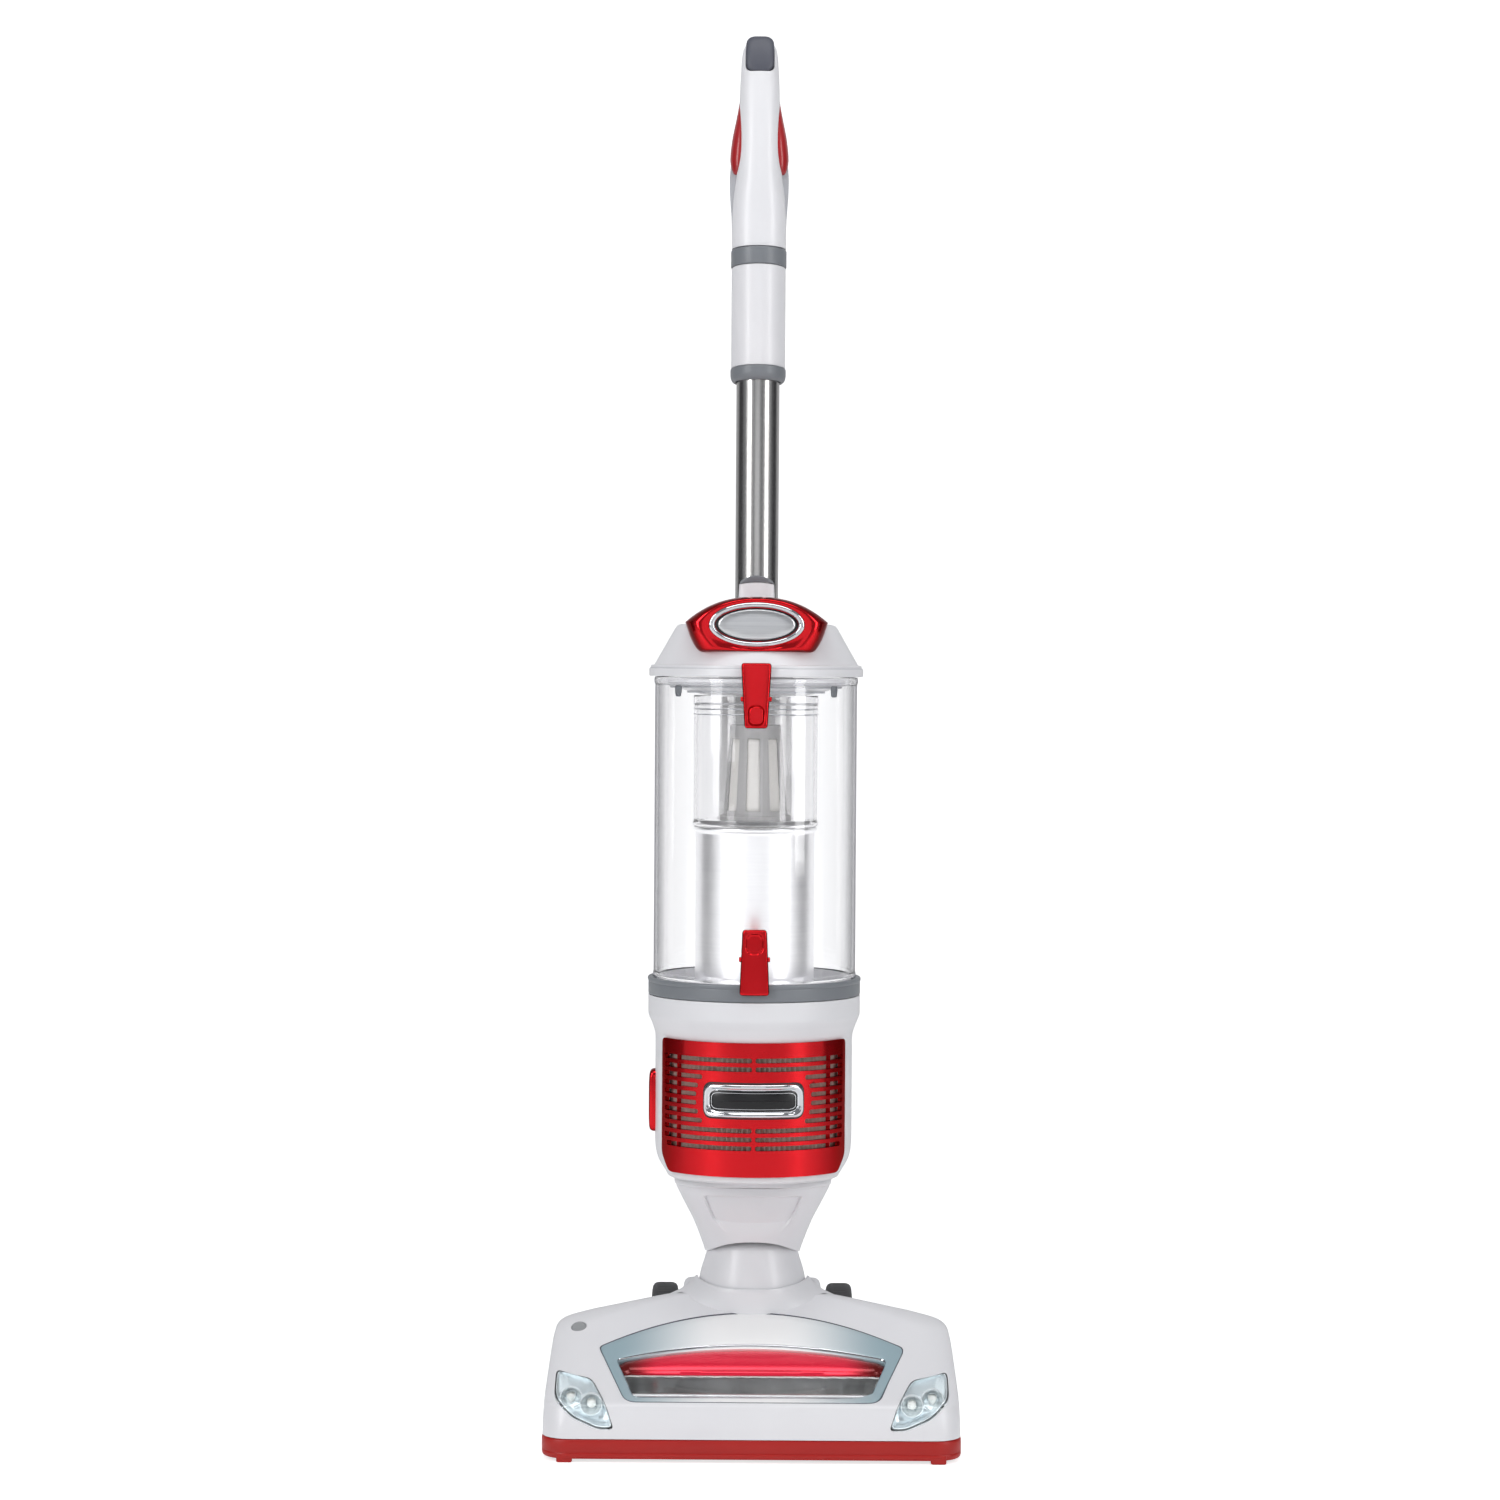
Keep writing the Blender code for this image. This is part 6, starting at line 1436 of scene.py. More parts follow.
def funnel_outline(height, inset):
    """The funnel's plan outline at heights that may differ round it: a circle that widens into a rounded square."""
    count = 240
    turn = np.arange(count) * TAU / count
    share = np.clip((height - 0.1413) / (0.2013 - 0.1413), 0, 1)
    half = np.interp(height, (0.1413, 0.1463, 0.1580, 0.1700, 0.1850, 0.1960, 0.2013),
                     (0.0390, 0.0406, 0.0448, 0.0496, 0.0572, 0.0626, 0.0645)) - inset
    front = NECK_Y + (-0.049 - NECK_Y) * 1.0
    front_reach = 0.0378 + (NECK_Y - front - 0.0378) * smooth_step(-0.15, 1.0, share) - inset
    back_reach = 0.0378 + (0.063 - 0.0378) * share - inset
    power = 2.0 + 1.1 * share
    cos, sin = np.cos(turn), np.sin(turn)
    reach = np.where(cos > 0, front_reach, back_reach)
    x = half * np.sign(sin) * np.abs(sin) ** (2 / power)
    y = NECK_Y - reach * np.sign(cos) * np.abs(cos) ** (2 / power)
    return np.column_stack([x, y, height * np.ones(count)])


def make_funnel():
    """The funnel: a circle that widens upward, a lower rim arched at the front, and a shallow front recess."""
    count = 240
    turn = np.arange(count) * TAU / count
    foot = 0.1420 + 0.0130 * np.cos(turn) ** 2
    rows, back = [], []
    for share in np.linspace(0, 1, 70):
        height = foot + (0.2013 - foot) * share
        rows.append(funnel_outline(height, 0.0))
        back.append(funnel_outline(height, 0.0030))
    grid = np.stack(rows)
    x, height = grid[..., 0], grid[..., 2]
    half_here = np.interp(height, (0.158, 0.175, 0.193), (0.0190, 0.0330, 0.0400))
    inside = smooth_step(half_here, half_here - 0.0032, np.abs(x)) * (grid[..., 1] < 0)
    depth = 0.0068 * inside * smooth_step(0.1950, 0.1925, height) * smooth_step(0.158, 0.188, height)
    grid[..., 1] += depth
    whole = np.concatenate([grid, np.stack(back)[::-1]])
    funnel = add_mesh("funnel_skin", whole, quads(len(whole), count, True, True))
    settle(funnel, WHITE, "neck_funnel", ("neck_funnel",), 45.0)


def make_spine():
    """The upright's rear spine: a rounded column in a lighter white than the body, painted light for the shade
    behind the cup, with a cradle tray and a wand socket.
    """
    levels = ((0.2060, 0.0340, 0.0900, 0.1300, 0.0035), (0.3500, 0.0338, 0.0895, 0.1300, 0.0035),
              (0.5700, 0.0332, 0.0890, 0.1300, 0.0040), (0.6050, 0.0315, 0.0880, 0.1298, 0.0060),
              (0.6320, 0.0285, 0.0820, 0.1285, 0.018), (0.6480, 0.0262, 0.0770, 0.1262, 0.0220),
              (0.6600, 0.0245, 0.0765, 0.1255, 0.0240), (0.6715, 0.0245, 0.0765, 0.1255, 0.0240),
              (0.6735, 0.0232, 0.0778, 0.1242, 0.0228))
    rows = [plan_outline(half, front, back, corner, z, 12, 12)
            for z, half, front, back, corner in smooth_levels(levels, 8)]
    spine = capped("spine_skin", np.stack(rows), True, False)
    mouth = rows[-1]
    centre = np.array([0, WAND_Y, 0])
    ring = centre + (mouth - centre) * np.array([0.0186 / 0.0232, 0.0186 / 0.0232, 0]) + np.array([0, 0,
                                                                                                   0.6735])
    deep = ring - np.array([0, 0, 0.0240])
    seat = add_mesh("socket_mouth", np.stack([mouth, ring, deep]), quads(3, len(mouth)))
    # The column takes the lighter white: painted light.
    settle(spine, SPINE_LIT_WHITE, "upright_spine", ("upright_spine",), 40.0)
    settle(seat, WHITE, "upright_spine", (), 40.0)
    tray = [plan_outline(0.0640 - inset, -0.0500 + inset, 0.1280 - inset, 0.030 - inset, z, 20, 16)
            for z, inset in ((0.2016, 0.0012), (0.2022, 0.0003), (0.2030, 0.0), (0.2070, 0.0),
                             (0.2078, 0.0003), (0.2082, 0.0012))]
    cradle = capped("cradle_tray", np.stack(tray))
    settle(cradle, WHITE, "upright_spine", (), 45.0)
    groove = [plan_outline(0.0225 + out, 0.1296, 0.1296 + 0.0010 - out / 4, 0.0004, z, 4, 4)
              for z, out in ((0.345, -0.001), (0.346, 0.0), (0.544, 0.0), (0.545, -0.001))]
    panel = capped("rear_panel", np.stack(groove))
    settle(panel, PALE_GREY, "upright_spine", (), 40.0)
    for z in (0.2340, 0.5560):
        screw = lathe("rear_screw", [(0, -0.0004), (0.0034, -0.0004), (0.0036, 0.0002), (0.0030, 0.0006),
                                     (0.0016, 0.0006),
                      (0.0014, 0.0001), (0, 0.0001)], count=40, radius=0.0002)
        settle(lay(screw, "y", (0, 0.1301, z)), STEEL, "upright_spine", (), 45.0)


def hook(name, node, bar_low, bar_high, foot_low, foot_high, material=None):
    """A cord hook: a rounded foot that stands off the spine and a rounded bar across it."""
    rows = []
    for y, grow in ((0.1303, 0.0), (0.1400, -0.0006), (0.1440, 0.0)):
        outline = stadium(0, (foot_low + foot_high) / 2, 0.0100 + grow, (foot_high - foot_low) / 2 + grow,
                          0.003, 6)
        rows.append(np.column_stack([outline[:, 0], np.full(len(outline), y), outline[:, 1]]))
    foot = capped(name + "_foot", np.stack(rows))
    settle(foot, material or WHITE, node, (node,) if name == "upper_hook" else (), 45.0)
    rows = []
    for y, inset in ((0.1428, 0.0012), (0.1432, 0.0003), (0.1440, 0.0), (0.1480, 0.0), (0.1494, 0.0006),
                     (0.1499, 0.0018)):
        outline = stadium(0, (bar_low + bar_high) / 2, 0.0140 - inset, (bar_high - bar_low) / 2 - inset,
                          0.006, 8)
        rows.append(np.column_stack([outline[:, 0], np.full(len(outline), y), outline[:, 1]]))
    bar = capped(name + "_bar", np.stack(rows))
    settle(bar, material or WHITE, node, (), 45.0)


def make_hooks():
    """The turning upper hook and the fixed lower one."""
    hook("upper_hook", "upper_cord_hook", 0.5652, 0.6148, 0.5662, 0.5838)
    hook("lower_hook", "upright_spine", 0.2602, 0.3103, 0.2902, 0.3098)


def make_wand_latch():
    """The wand's catch: a white tab in front of the tube with an arched grey cap."""
    def tab(name, low, high, arch_low, arch_high, widths, out, material, hides):
        """A tapered tab whose foot and head arch by a parabola and whose front bows round the tube."""
        across = np.linspace(-1, 1, 41)
        rows = []
        for inset, depth in ((0.0012, 0.0), (0.0004, -0.0002), (0.0, -0.0010), (0.0, -0.0036)):
            bottom = np.column_stack([across * (widths[0] - inset),
                                      low + inset + arch_low * (1 - across ** 2)])
            top = np.column_stack([across[::-1] * (widths[1] - inset),
                                   high - inset + arch_high * (1 - across[::-1] ** 2)])
            outline = np.concatenate([bottom, top])
            bow = 0.0040 * (outline[:, 0] / 0.0165) ** 2
            rows.append(np.column_stack([outline[:, 0], out + bow - depth, outline[:, 1]]))
        made = capped(name, np.stack(rows))
        settle(made, material, "wand_latch_button", hides, 40.0)

    tab("latch_tab", 0.6610, 0.6915, 0.0, 0.0016, (0.0164, 0.0146), 0.0738, WHITE, ("wand_latch_button",))
    tab("latch_cap", 0.6917, 0.6944, 0.0016, 0.0044, (0.0146, 0.0132), 0.0734, RING_GREY, ())


# ---- wand and handle ------------------------------------------------------
def arch_front(made, low, high, amount=0.0024):
    """Lifts what is near a ring's height at the front of the wand and drops it at the back."""
    points = np.empty(len(made.data.vertices) * 3)
    made.data.vertices.foreach_get("co", points)
    points = points.reshape(-1, 3)
    weight = smooth_step(low - 0.030, low, points[:, 2]) * smooth_step(high + 0.030, high, points[:, 2])
    points[:, 2] += amount * weight * np.clip((WAND_Y - points[:, 1]) / 0.0228, -1, 1)
    made.data.vertices.foreach_set("co", points.ravel())
    made.data.update()
    return made


LOWER_RING = (0.8615, 0.873)
UPPER_RING = (0.9580, 0.9722)


def make_wand():
    """The steel tube, the white sleeve and its two grey rings, with fine grooves beside each ring."""
    tube = lathe("tube_wall", [(0.0167, 0.6484), (0.0180, 0.6483), (0.0182, 0.6490), (0.0182, 0.9712),
                               (0.0167, 0.9716)],
                 (0, WAND_Y), 160, 0.0003, 3)
    settle(tube, TUBE_METAL, "wand_tube", ("wand_tube",), 45.0)
    low, high = LOWER_RING
    ring = lathe("lower_ring_skin", [(0.0186, low + 0.0030), (0.0190, low + 0.0004),
                                     (0.0206, low - 0.0002), (0.0224, low + 0.0016),
                 (0.0233, low + 0.0046), (0.0234, low + 0.0070), (0.0234, high - 0.0008), (0.0231, high),
                                     (0.0186, high)],
                 (0, WAND_Y), 160, 0.0016, 5)
    settle(arch_front(ring, low, high), RING_GREY, "lower_wand_ring", ("lower_wand_ring",), 45.0)
    levels = np.linspace(high + 0.0008, UPPER_RING[0] - 0.0008, 24)
    wall = [(0.0186, high + 0.0003), (0.0222, high + 0.0003), (0.0228, high + 0.0008),
            *[(0.0228, z) for z in levels[1:-1]],
            (0.0228, UPPER_RING[0] - 0.0008), (0.0222, UPPER_RING[0] - 0.0003),
            (0.0186, UPPER_RING[0] - 0.0003)]
    sleeve = lathe("sleeve_wall", wall, (0, WAND_Y), 160, 0.0002, 2)
    arch_front(sleeve, low, high)
    settle(arch_front(sleeve, *UPPER_RING), WHITE, "wand_sleeve", ("wand_sleeve",), 45.0)
    low, high = UPPER_RING
    ring = lathe("upper_ring_skin", [(0.0186, low), (0.0231, low), (0.0234, low + 0.0006),
                                     (0.0234, high - 0.0006), (0.0231, high),
                 (0.0186, high)], (0, WAND_Y), 160, 0.0004, 4)
    settle(arch_front(ring, low, high), RING_GREY, "upper_wand_ring", ("upper_wand_ring",), 45.0)


HANDLE_Z = (0.9725, 0.9850, 1.0000, 1.0200, 1.0360, 1.0500, 1.0700, 1.0900, 1.1100, 1.1250, 1.1380, 1.1455,
            1.1500)
CORE_HALF = (0.0228, 0.0229, 0.0228, 0.0214, 0.0192, 0.0182, 0.0176, 0.0172, 0.0168, 0.0162, 0.0154,
             0.0142, 0.0118)
BACK_HALF = (0.0222, 0.0228, 0.0232, 0.0248, 0.0250, 0.0236, 0.0200, 0.0172, 0.0166, 0.0158, 0.0150,
             0.0138, 0.0114)
GRIP_HALF = (0.0228, 0.0229, 0.0230, 0.0230, 0.0252, 0.0251, 0.0230, 0.0200, 0.0176, 0.0164, 0.0154,
             0.0142, 0.0118)


def handle_middle(z):
    """The handle's middle leans back with the share of its height to the power 1.5."""
    share = np.clip((z - 0.973) / (1.1515 - 0.973), 0, None)
    return WAND_Y + 0.028 * share ** 1.5


def handle_depth(z):
    """Half the handle's depth: it thins evenly upward and closes by a quarter circle at the end."""
    share = np.clip((z - 0.973) / (1.1515 - 0.973), 0, 1)
    end = np.sqrt(np.clip(1 - smooth_step(1.1400, 1.1560, z) ** 2, 0, 1))
    return (0.0205 - 0.0065 * share) * (0.55 + 0.45 * end)


def handle_shell(name, halves, front, lift):
    """Half of the handle: half-oval sections whose width, depth and middle change with height."""
    levels = np.concatenate([np.linspace(0.9733, 1.1380, 110), np.linspace(1.1390, 1.1500, 24)])
    half = np.interp(levels, HANDLE_Z, halves)
    kernel = np.ones(7) / 7
    half[3:-3] = np.convolve(half, kernel, "valid")
    turn = np.linspace(0, math.pi, 61)
    sign = -1.0 if front else 1.0
    power = 0.86
    x = half[:, None] * np.cos(turn)[None]
    y = (handle_middle(levels) + sign * 0.00015)[:, None] + sign * (handle_depth(levels) * lift)[:,
                                                                                                 None] * np.sin(turn)[None] ** power
    grid = np.stack([x, y, levels[:, None] * np.ones(61)], axis=-1)
    shut = np.concatenate([grid, grid[:, ::-1] * np.array([1.0, 0.0, 1.0])
                           + np.stack([np.zeros_like(x), (handle_middle(levels) + sign * 0.0001)[:,
                                                                                                 None] * np.ones(61),
                                       np.zeros_like(x)], axis=-1)], axis=1)
    return capped(name, shut)


def make_handle():
    """The handle: a white front shell, a pale back shell, red leaves in its sides and a slate release pad."""
    front = handle_shell("handle_front_skin", CORE_HALF, True, 1.0)
    low, high = UPPER_RING
    arch_front(front, low, high)
    room = stadium(0, 1.1450, 0.0123, 0.0200, 0.0060, 8)
    cutter = capped("pad_room", np.stack([np.column_stack([room[:, 0], np.full(len(room), y), room[:,
                                                                                                   1]]) for y in (0.080, 0.1195)]))
    apply_cuts(fix_normals(front), [fix_normals(cutter)])
    settle(front, WHITE, "handle_front", ("handle_front",), 50.0)
    back = handle_shell("handle_back_skin", BACK_HALF, False, 1.0)
    arch_front(back, low, high)
    settle(back, PALE_GREY, "handle_back", ("handle_back",), 60.0)
    for side, word in ((-1, "left"), (1, "right")):
        levels = np.linspace(1.0365, 1.1185, 90)
        share = (levels - 1.0365) / (1.1185 - 1.0365)
        leaf = np.sin(math.pi * np.clip(share, 0, 1) ** 0.55) ** 0.6
        outer = np.interp(levels, HANDLE_Z, GRIP_HALF)
        core = np.interp(levels, HANDLE_Z, CORE_HALF) - 0.0035
        turn = np.linspace(-math.pi / 2, math.pi / 2, 33)
        x = core[:, None] + ((outer - core) * (0.25 + 0.75 * leaf))[:, None] * np.cos(turn)[None] ** 0.8
        y = handle_middle(levels)[:, None] + 0.0020 + (0.0120 * leaf)[:, None] * np.sin(turn)[None]
        grid = np.stack([side * x, y, levels[:, None] * np.ones(33)], axis=-1)
        insert = capped(word + "_grip_skin", grid)
        settle(insert, GRIP_RED, f"{word}_grip_insert", (f"{word}_grip_insert",), 60.0)
    rows = []
    for inset, depth in ((0.0, 0.0085), (0.0, 0.0010), (0.0005, 0.0003), (0.0014, -0.0004),
                         (0.0030, -0.0008), (0.0060, -0.0010)):
        outline = stadium(0, 1.1406, 0.0119 - inset, 0.0155 - inset, max(0.0085 - inset, 0.0008), 12)
        crest = 0.0012 * (1 - (outline[:, 0] / 0.0119) ** 2)
        tip = smooth_step(1.1440, 1.1560, outline[:, 1]) * 0.0040
        rows.append(np.column_stack([outline[:, 0],
                                     handle_middle(outline[:, 1]) - 0.0138 + depth - crest + tip,
                                     outline[:, 1]]))
    pad = capped("release_pad_skin", np.stack(rows))
    settle(pad, SLATE, "handle_release_pad", ("handle_release_pad",), 45.0)


# ---- bumper, wheels and brush ---------------------------------------------
def make_bumper():
    """The red bumper: a rounded band round the front and sides, with a bead, a groove and two glides."""
    profile = ((0.0040, 0.0034), (0.0012, 0.0031), (0.0004, 0.0040), (0.0, 0.0056), (0.0, 0.0072),
               (0.0004, 0.0078),
               (0.0, 0.0084), (0.0, 0.0168), (0.0003, 0.0178), (0.0010, 0.0184), (0.0040, 0.0185))
    rows = [plan_outline(0.1650 - inset, -0.1500 + inset, 0.0040, 0.022 - inset, z, 30, 18) for inset,
            z in profile]
    band = add_mesh("bumper_band", np.stack(rows), quads(len(rows), rows[0].shape[0]))
    drop_faces(band, lambda middles: middles[:, 1] > -0.0452)
    settle(band, FLAT_RED, "front_bumper", ("front_bumper",), 40.0)
    shell(band, 0.0012)
    inner = [plan_outline(0.1590, -0.1440, 0.0040, 0.018, z, 30, 18) for z in (0.0034, 0.0180)]
    lining = add_mesh("bumper_lining", np.stack(inner), quads(2, inner[0].shape[0]))
    drop_faces(lining, lambda middles: middles[:, 1] > -0.0452)
    settle(lining, FLAT_RED, "front_bumper", (), 40.0)
    shell(lining, 0.0010)
    for side in (-1, 1):
        rows = []
        for z, inset in ((0.0070, 0.0), (0.0012, 0.0), (0.0004, 0.0004), (0.0, 0.0012)):
            rows.append(plan_outline(0.0062 - inset, -0.1489 + inset, -0.1449 - inset, 0.0012, z, 4,
                                     6) + np.array([side * 0.1465, 0, 0]))
        glide = capped("bumper_glide", np.stack(rows))
        settle(glide, FLAT_RED, "front_bumper", (), 45.0)
    skirt = [plan_outline(0.1642 - inset, -0.0460, 0.0047 - inset, 0.012, z, 20, 10)
             for z, inset in ((0.0060, 0.003), (0.0068, 0.0008), (0.0080, 0.0), (0.0186, 0.0),
                              (0.0189, 0.0004))]
    sides = add_mesh("cover_skirt", np.stack(skirt), quads(len(skirt), skirt[0].shape[0]))
    drop_faces(sides, lambda middles: middles[:, 1] < -0.0448)
    settle(sides, WHITE, "nozzle_cover", (), 45.0)
    shell(sides, 0.0012)


def make_wheels():
    """Each rear wheel: a tread with fine ribs, a rounded shoulder, a dished web and a hub."""
    profile = [(0.0044, 0.0), (0.0440, 0.0), (0.0470, 0.0006), (0.0490, 0.0020), (0.0499, 0.0044),
               (0.0500, 0.0060),
               (0.0500, 0.0160), (0.0499, 0.0176), (0.0490, 0.0200), (0.0470, 0.0214), (0.0440, 0.0220),
               (0.0400, 0.0218),
               (0.0382, 0.0200), (0.0376, 0.0172), (0.0150, 0.0172), (0.0138, 0.0190), (0.0128, 0.0216),
               (0.0110, 0.0220),
               (0.0044, 0.0220)]
    for side, word in ((-1, "left"), (1, "right")):
        wheel = lathe(word + "_wheel_skin", profile, count=288, radius=0.0010, steps=4,
                      ripple=lambda r, z,
                      a: -0.00035 * (np.cos(72 * a) > 0.2) * (r > 0.0494) * (z > 0.006) * (z < 0.016))
        settle(lay(wheel, "x" if side > 0 else "-x", (side * 0.0625, 0.095, 0.050)), WHEEL_GREY,
               f"{word}_rear_wheel", (f"{word}_rear_wheel",), 40.0)
        for count in range(5):
            turn = TAU * count / 5
            radial = np.array([0, math.cos(turn), math.sin(turn)])
            across = np.array([0, -math.sin(turn), math.cos(turn)])
            rows = []
            for reach, half in ((0.0135, 0.0030), (0.0260, 0.0022), (0.0385, 0.0032)):
                corner = np.array([(-half, 0.0165), (half, 0.0165), (half * 0.8, 0.0196),
                                   (-half * 0.8, 0.0196)])
                middle = np.array([side * 0.0625, 0.095, 0.050]) + radial * reach
                rows.append(middle + corner[:, :1] * across + corner[:, 1:] * np.array([side, 0, 0]))
            spoke = capped(word + "_spoke", np.stack(rows))
            settle(spoke, WHEEL_GREY, f"{word}_rear_wheel", (), 35.0)
            soften(spoke, 0.0006, 2)


def make_brush():
    """The brushroll: a dark core with end caps, and two spiral rows of tufts made of fine tapered bristles."""
    core = lathe("roll_core", [(0, -0.1296), (0.0120, -0.1296), (0.0148, -0.1290), (0.0150, -0.1280),
                               (0.0150, -0.1206),
                 (0.0146, -0.1200), (0.0146, -0.1094), (0.0150, -0.1088), (0.0150, 0.1280),
                               (0.0148, 0.1290),
                 (0.0120, 0.1296), (0, 0.1296)], count=96, radius=0.0005)
    settle(lay(core, "x", (0, -0.110, 0.026)), ROLL_GREY, "brushroll_core", ("brushroll_core",), 40.0)
    random = np.random.default_rng(7)
    for start, word in ((0.0, "a"), (math.pi, "b")):
        tufts, per = 86, 34
        share = np.repeat(np.arange(tufts) / (tufts - 1), per)
        x = -0.104 + share * 0.228 + random.normal(0, 0.00055, tufts * per)
        angle = TAU * 0.9 * share + start + random.normal(0, 0.050, tufts * per)
        lean = random.normal(0, 0.060, tufts * per)
        reach = 0.0213 + random.uniform(-0.0007, 0.0006, tufts * per)
        width = 0.00014
        centre = np.array([0, -0.110, 0.026])

        def ring(radius, turn, thick, corner):
            """A circle of points round the wheel, each pushed out along the rim's own corner."""
            shift = TAU * corner / 3
            out = np.column_stack([np.zeros_like(turn), np.cos(turn), np.sin(turn)])
            over = np.column_stack([np.zeros_like(turn), -np.sin(turn), np.cos(turn)])
            place = centre + out * radius[:, None] + over * (thick * math.cos(shift))
            place[:, 0] += x + thick * math.sin(shift)
            return place

        base = np.full(tufts * per, 0.0149)
        points = np.stack([ring(base, angle, width, corner) for corner in range(3)]
                          + [ring(reach, angle + lean, width * 0.5, corner) for corner in range(3)], axis=1)
        count = tufts * per
        offset = (np.arange(count) * 6)[:, None, None]
        side_faces = np.array([(0, 1, 4, 3), (1, 2, 5, 4), (2, 0, 3, 5)])
        faces = (side_faces[None] + offset).reshape(-1, 4)
        strip = add_mesh(f"tufts_{word}", points.reshape(-1, 3), faces)
        settle(strip, BRISTLE, f"bristle_strip_{word}", (f"bristle_strip_{word}",), 60.0, 1e-8)
        along = np.linspace(0, 1, 180)
        turn = TAU * 0.9 * along + start
        rows = []
        for radius, side in ((0.0147, -0.0026), (0.0156, -0.0022), (0.0158, 0.0022), (0.0147, 0.0026)):
            out = np.column_stack([np.zeros(180), np.cos(turn), np.sin(turn)])
            over = np.column_stack([np.zeros(180), -np.sin(turn), np.cos(turn)])
            place = centre + out * radius + over * side
            place[:, 0] = -0.104 + along * 0.228
            rows.append(place)
        seat = add_mesh(f"tuft_seat_{word}", np.stack(rows), quads(4, 180, False, True))
        settle(seat, ROLL_GREY, f"brushroll_core", (), 50.0)


# ---- pieces that keep their CAD shape -------------------------------------
def make_rest():
    """Every piece without a finer one of its own keeps its CAD shape, with broken edges."""
    shown = {node for made in bpy.data.objects for node in made.get("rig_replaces", [])}
    for node in NODES:
        if node not in shown:
            copy_cad(node)


PIECES = (
    make_cover, make_indicator, make_bezel, make_red_band, make_window, make_headlights, make_housing,
          make_grille, make_filter,
    make_badge, make_lift_button, make_collar, make_cup, make_column, make_cyclone, make_cone, make_lid,
          make_crown,
    make_crown_badge, make_latches, make_knuckle, make_saddle, make_funnel, make_spine, make_hooks,
          make_wand_latch,
    make_wand, make_handle, make_bumper, make_wheels, make_brush,
)
for make in PIECES:
    make()
make_rest()


# ---- stage, light and camera ----------------------------------------------
def stage_material(name, colour, roughness, emission=0.0, seen=0.0):
    """A faintly mottled stage surface that glows by one amount and shows to the camera by another."""
    made, tree, shader = start_material(name)
    mottle = tree.nodes.new("ShaderNodeTexNoise")
    mottle.inputs["Scale"].default_value = 3.0
    shades = tree.nodes.new("ShaderNodeMix")
    shades.data_type = "RGBA"
    shades.inputs[6].default_value = (*[0.98 * value for value in colour], 1.0)
    shades.inputs[7].default_value = (*colour, 1.0)
    tree.links.new(mottle.outputs["Fac"], shades.inputs[0])
    tree.links.new(shades.outputs[2], shader.inputs["Base Color"])
    shader.inputs["Roughness"].default_value = roughness
    shader.inputs["Emission Color"].default_value = (*colour, 1.0)
    shader.inputs["Emission Strength"].default_value = emission
    if seen:
        path = tree.nodes.new("ShaderNodeLightPath")
        direct = tree.nodes.new("ShaderNodeMath")
        direct.operation = "MAXIMUM"
        tree.links.new(path.outputs["Is Camera Ray"], direct.inputs[0])
        tree.links.new(path.outputs["Is Transmission Ray"], direct.inputs[1])
        strength = tree.nodes.new("ShaderNodeMapRange")
        strength.inputs["To Min"].default_value = emission
        strength.inputs["To Max"].default_value = seen
        tree.links.new(direct.outputs[0], strength.inputs["Value"])
        tree.links.new(strength.outputs["Result"], shader.inputs["Emission Strength"])
    return made


def make_stage():
    """A pale floor that sweeps up into a backdrop: a straight run, a quarter turn and a wall."""
    turn = np.linspace(0, math.pi / 2, 24)
    bend = 1.6
    depth = np.concatenate([[-9.0, -3.0, 1.0], 2.6 + bend * np.sin(turn), [2.6 + bend]])
    height = np.concatenate([[0.0, 0.0, 0.0], bend - bend * np.cos(turn), [7.0]])
    across = np.linspace(-9.0, 9.0, 12)
    grid = np.stack(np.broadcast_arrays(across[None], depth[:, None], height[:, None]), axis=-1)
    sweep = add_mesh("floor_and_backdrop", grid, quads(len(depth), len(across), False))
    sweep.data.shade_smooth()
    sweep.data.materials.append(stage_material("stage_white", (0.90, 0.90, 0.90), 0.7, 0.12, 0.80))


def soft_light(name, place, aim, width, height, power, tint=(1.0, 1.0, 1.0)):
    """An area light at a place, turned to an aim point."""
    data = bpy.data.lights.new(name, "AREA")
    data.shape = "RECTANGLE"
    data.size = width
    data.size_y = height
    data.energy = power
    data.color = tint
    lamp = bpy.data.objects.new(name, data)
    bpy.context.scene.collection.objects.link(lamp)
    lamp.location = place
    lamp.rotation_mode = "QUATERNION"
    lamp.rotation_quaternion = (Vector(aim) - Vector(place)).to_track_quat("-Z", "Y")
    return lamp


def flag(name, place, aim, width, height, colour=(0.05, 0.05, 0.055)):
    """A dark upright card for dark edges in the reflections, turned to an aim point."""
    across = np.array([-0.5, 0.5, 0.5, -0.5]) * width
    up = np.array([-0.5, -0.5, 0.5, 0.5]) * height
    card = add_mesh(name, np.stack([across, up, np.zeros(4)], axis=-1), [[0, 1, 2, 3]])
    card.location = place
    card.rotation_mode = "QUATERNION"
    card.rotation_quaternion = (Vector(aim) - Vector(place)).to_track_quat("Z", "Y")
    card.data.materials.append(stage_material("flag_" + name, colour, 0.9))
    card.visible_camera = False
    card.visible_shadow = False
    card.visible_diffuse = False
    return card


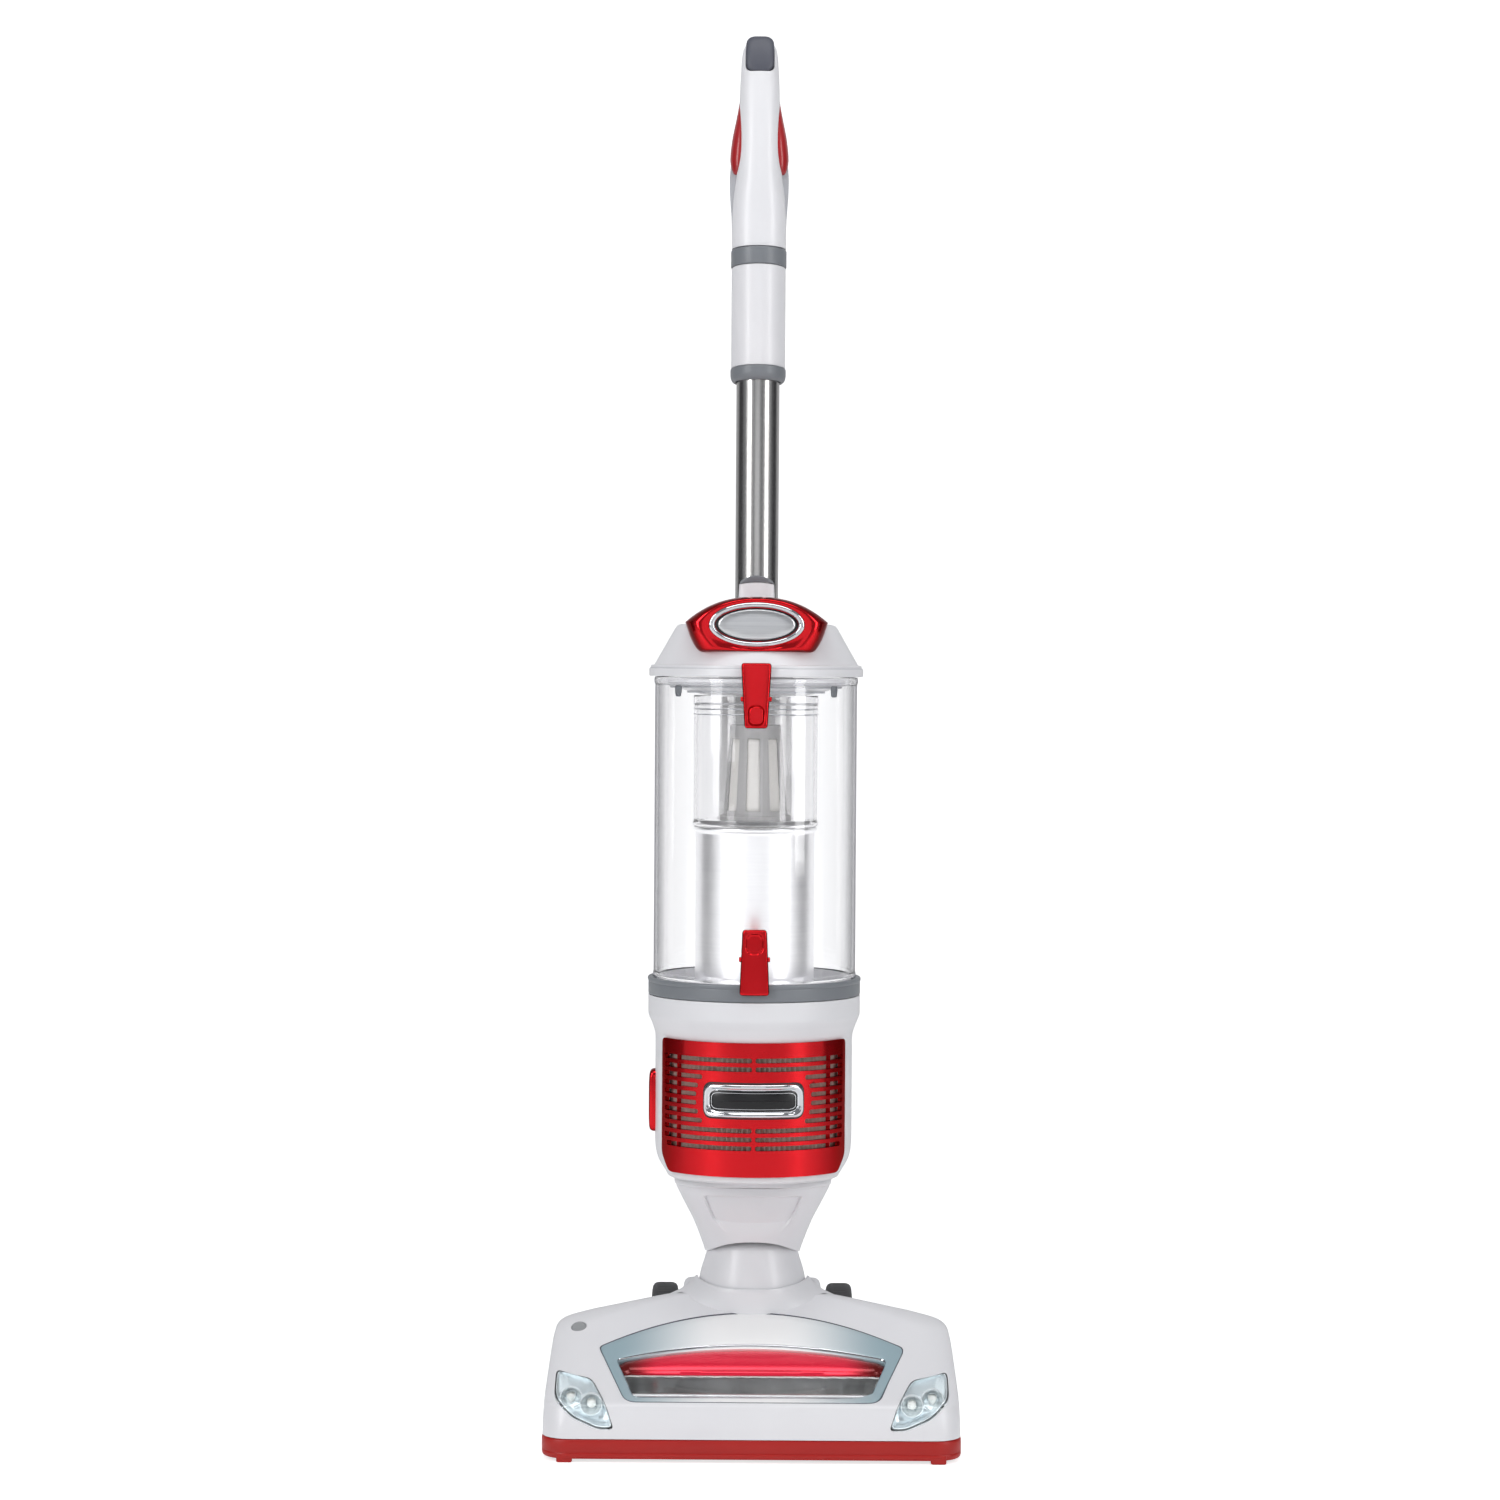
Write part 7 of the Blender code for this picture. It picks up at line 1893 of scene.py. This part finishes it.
def front_card():
    """A pale card behind the camera that only shows in reflections."""
    across = np.array([-1.3, 1.3, 1.3, -1.3])
    up = np.array([0.25, 0.25, 2.0, 2.0])
    card = add_mesh("front_card", np.stack([across, np.full(4, -5.5), up], axis=-1), [[0, 3, 2, 1]])
    card.data.materials.append(stage_material("card_white", (0.9, 0.91, 0.93), 0.9, 0.55))
    card.visible_camera = False
    card.visible_shadow = False
    card.visible_diffuse = False


def make_light():
    """A soft pale world with large area lights."""
    world = bpy.data.worlds.new("studio")
    world.use_nodes = True
    world.node_tree.nodes["Background"].inputs["Color"].default_value = (0.93, 0.95, 1.0, 1.0)
    world.node_tree.nodes["Background"].inputs["Strength"].default_value = 0.22
    bpy.context.scene.world = world
    middle = (0.0, 0.0, 0.55)
    soft_light("key_left", (-2.3, -2.2, 1.7), middle, 0.9, 2.6, 44.0)
    soft_light("key_right", (2.4, -1.9, 1.5), middle, 0.7, 2.6, 32.0)
    soft_light("top", (0.1, -0.8, 3.2), middle, 2.2, 1.4, 27.0)
    front_card()
    flag("side_left", (-2.2, 0.5, 0.7), middle, 1.5, 2.6)
    flag("side_right", (2.2, 0.5, 0.7), middle, 1.5, 2.6)


CAMERA_PLACE = (-0.0047, -3.0, 0.633)
CAMERA_AIM = (-0.0047, 0.0, 0.5545)
CAMERA_ROLL = math.radians(0.38)
CAMERA_LENS = 88.0


def make_camera():
    """The front camera: its own place, aim and roll, with no depth of field."""
    data = bpy.data.cameras.new("front_camera")
    data.lens = CAMERA_LENS
    data.sensor_width = 36.0
    data.dof.use_dof = False
    camera = bpy.data.objects.new("front_camera", data)
    bpy.context.scene.collection.objects.link(camera)
    camera.location = CAMERA_PLACE
    camera.rotation_mode = "QUATERNION"
    facing = (Vector(CAMERA_AIM) - Vector(CAMERA_PLACE)).to_track_quat("-Z", "Y")
    camera.rotation_quaternion = facing @ Quaternion((0.0, 0.0, 1.0), CAMERA_ROLL)
    bpy.context.scene.camera = camera


make_stage()
make_light()
make_camera()
bpy.context.scene.view_settings.view_transform = "Standard"
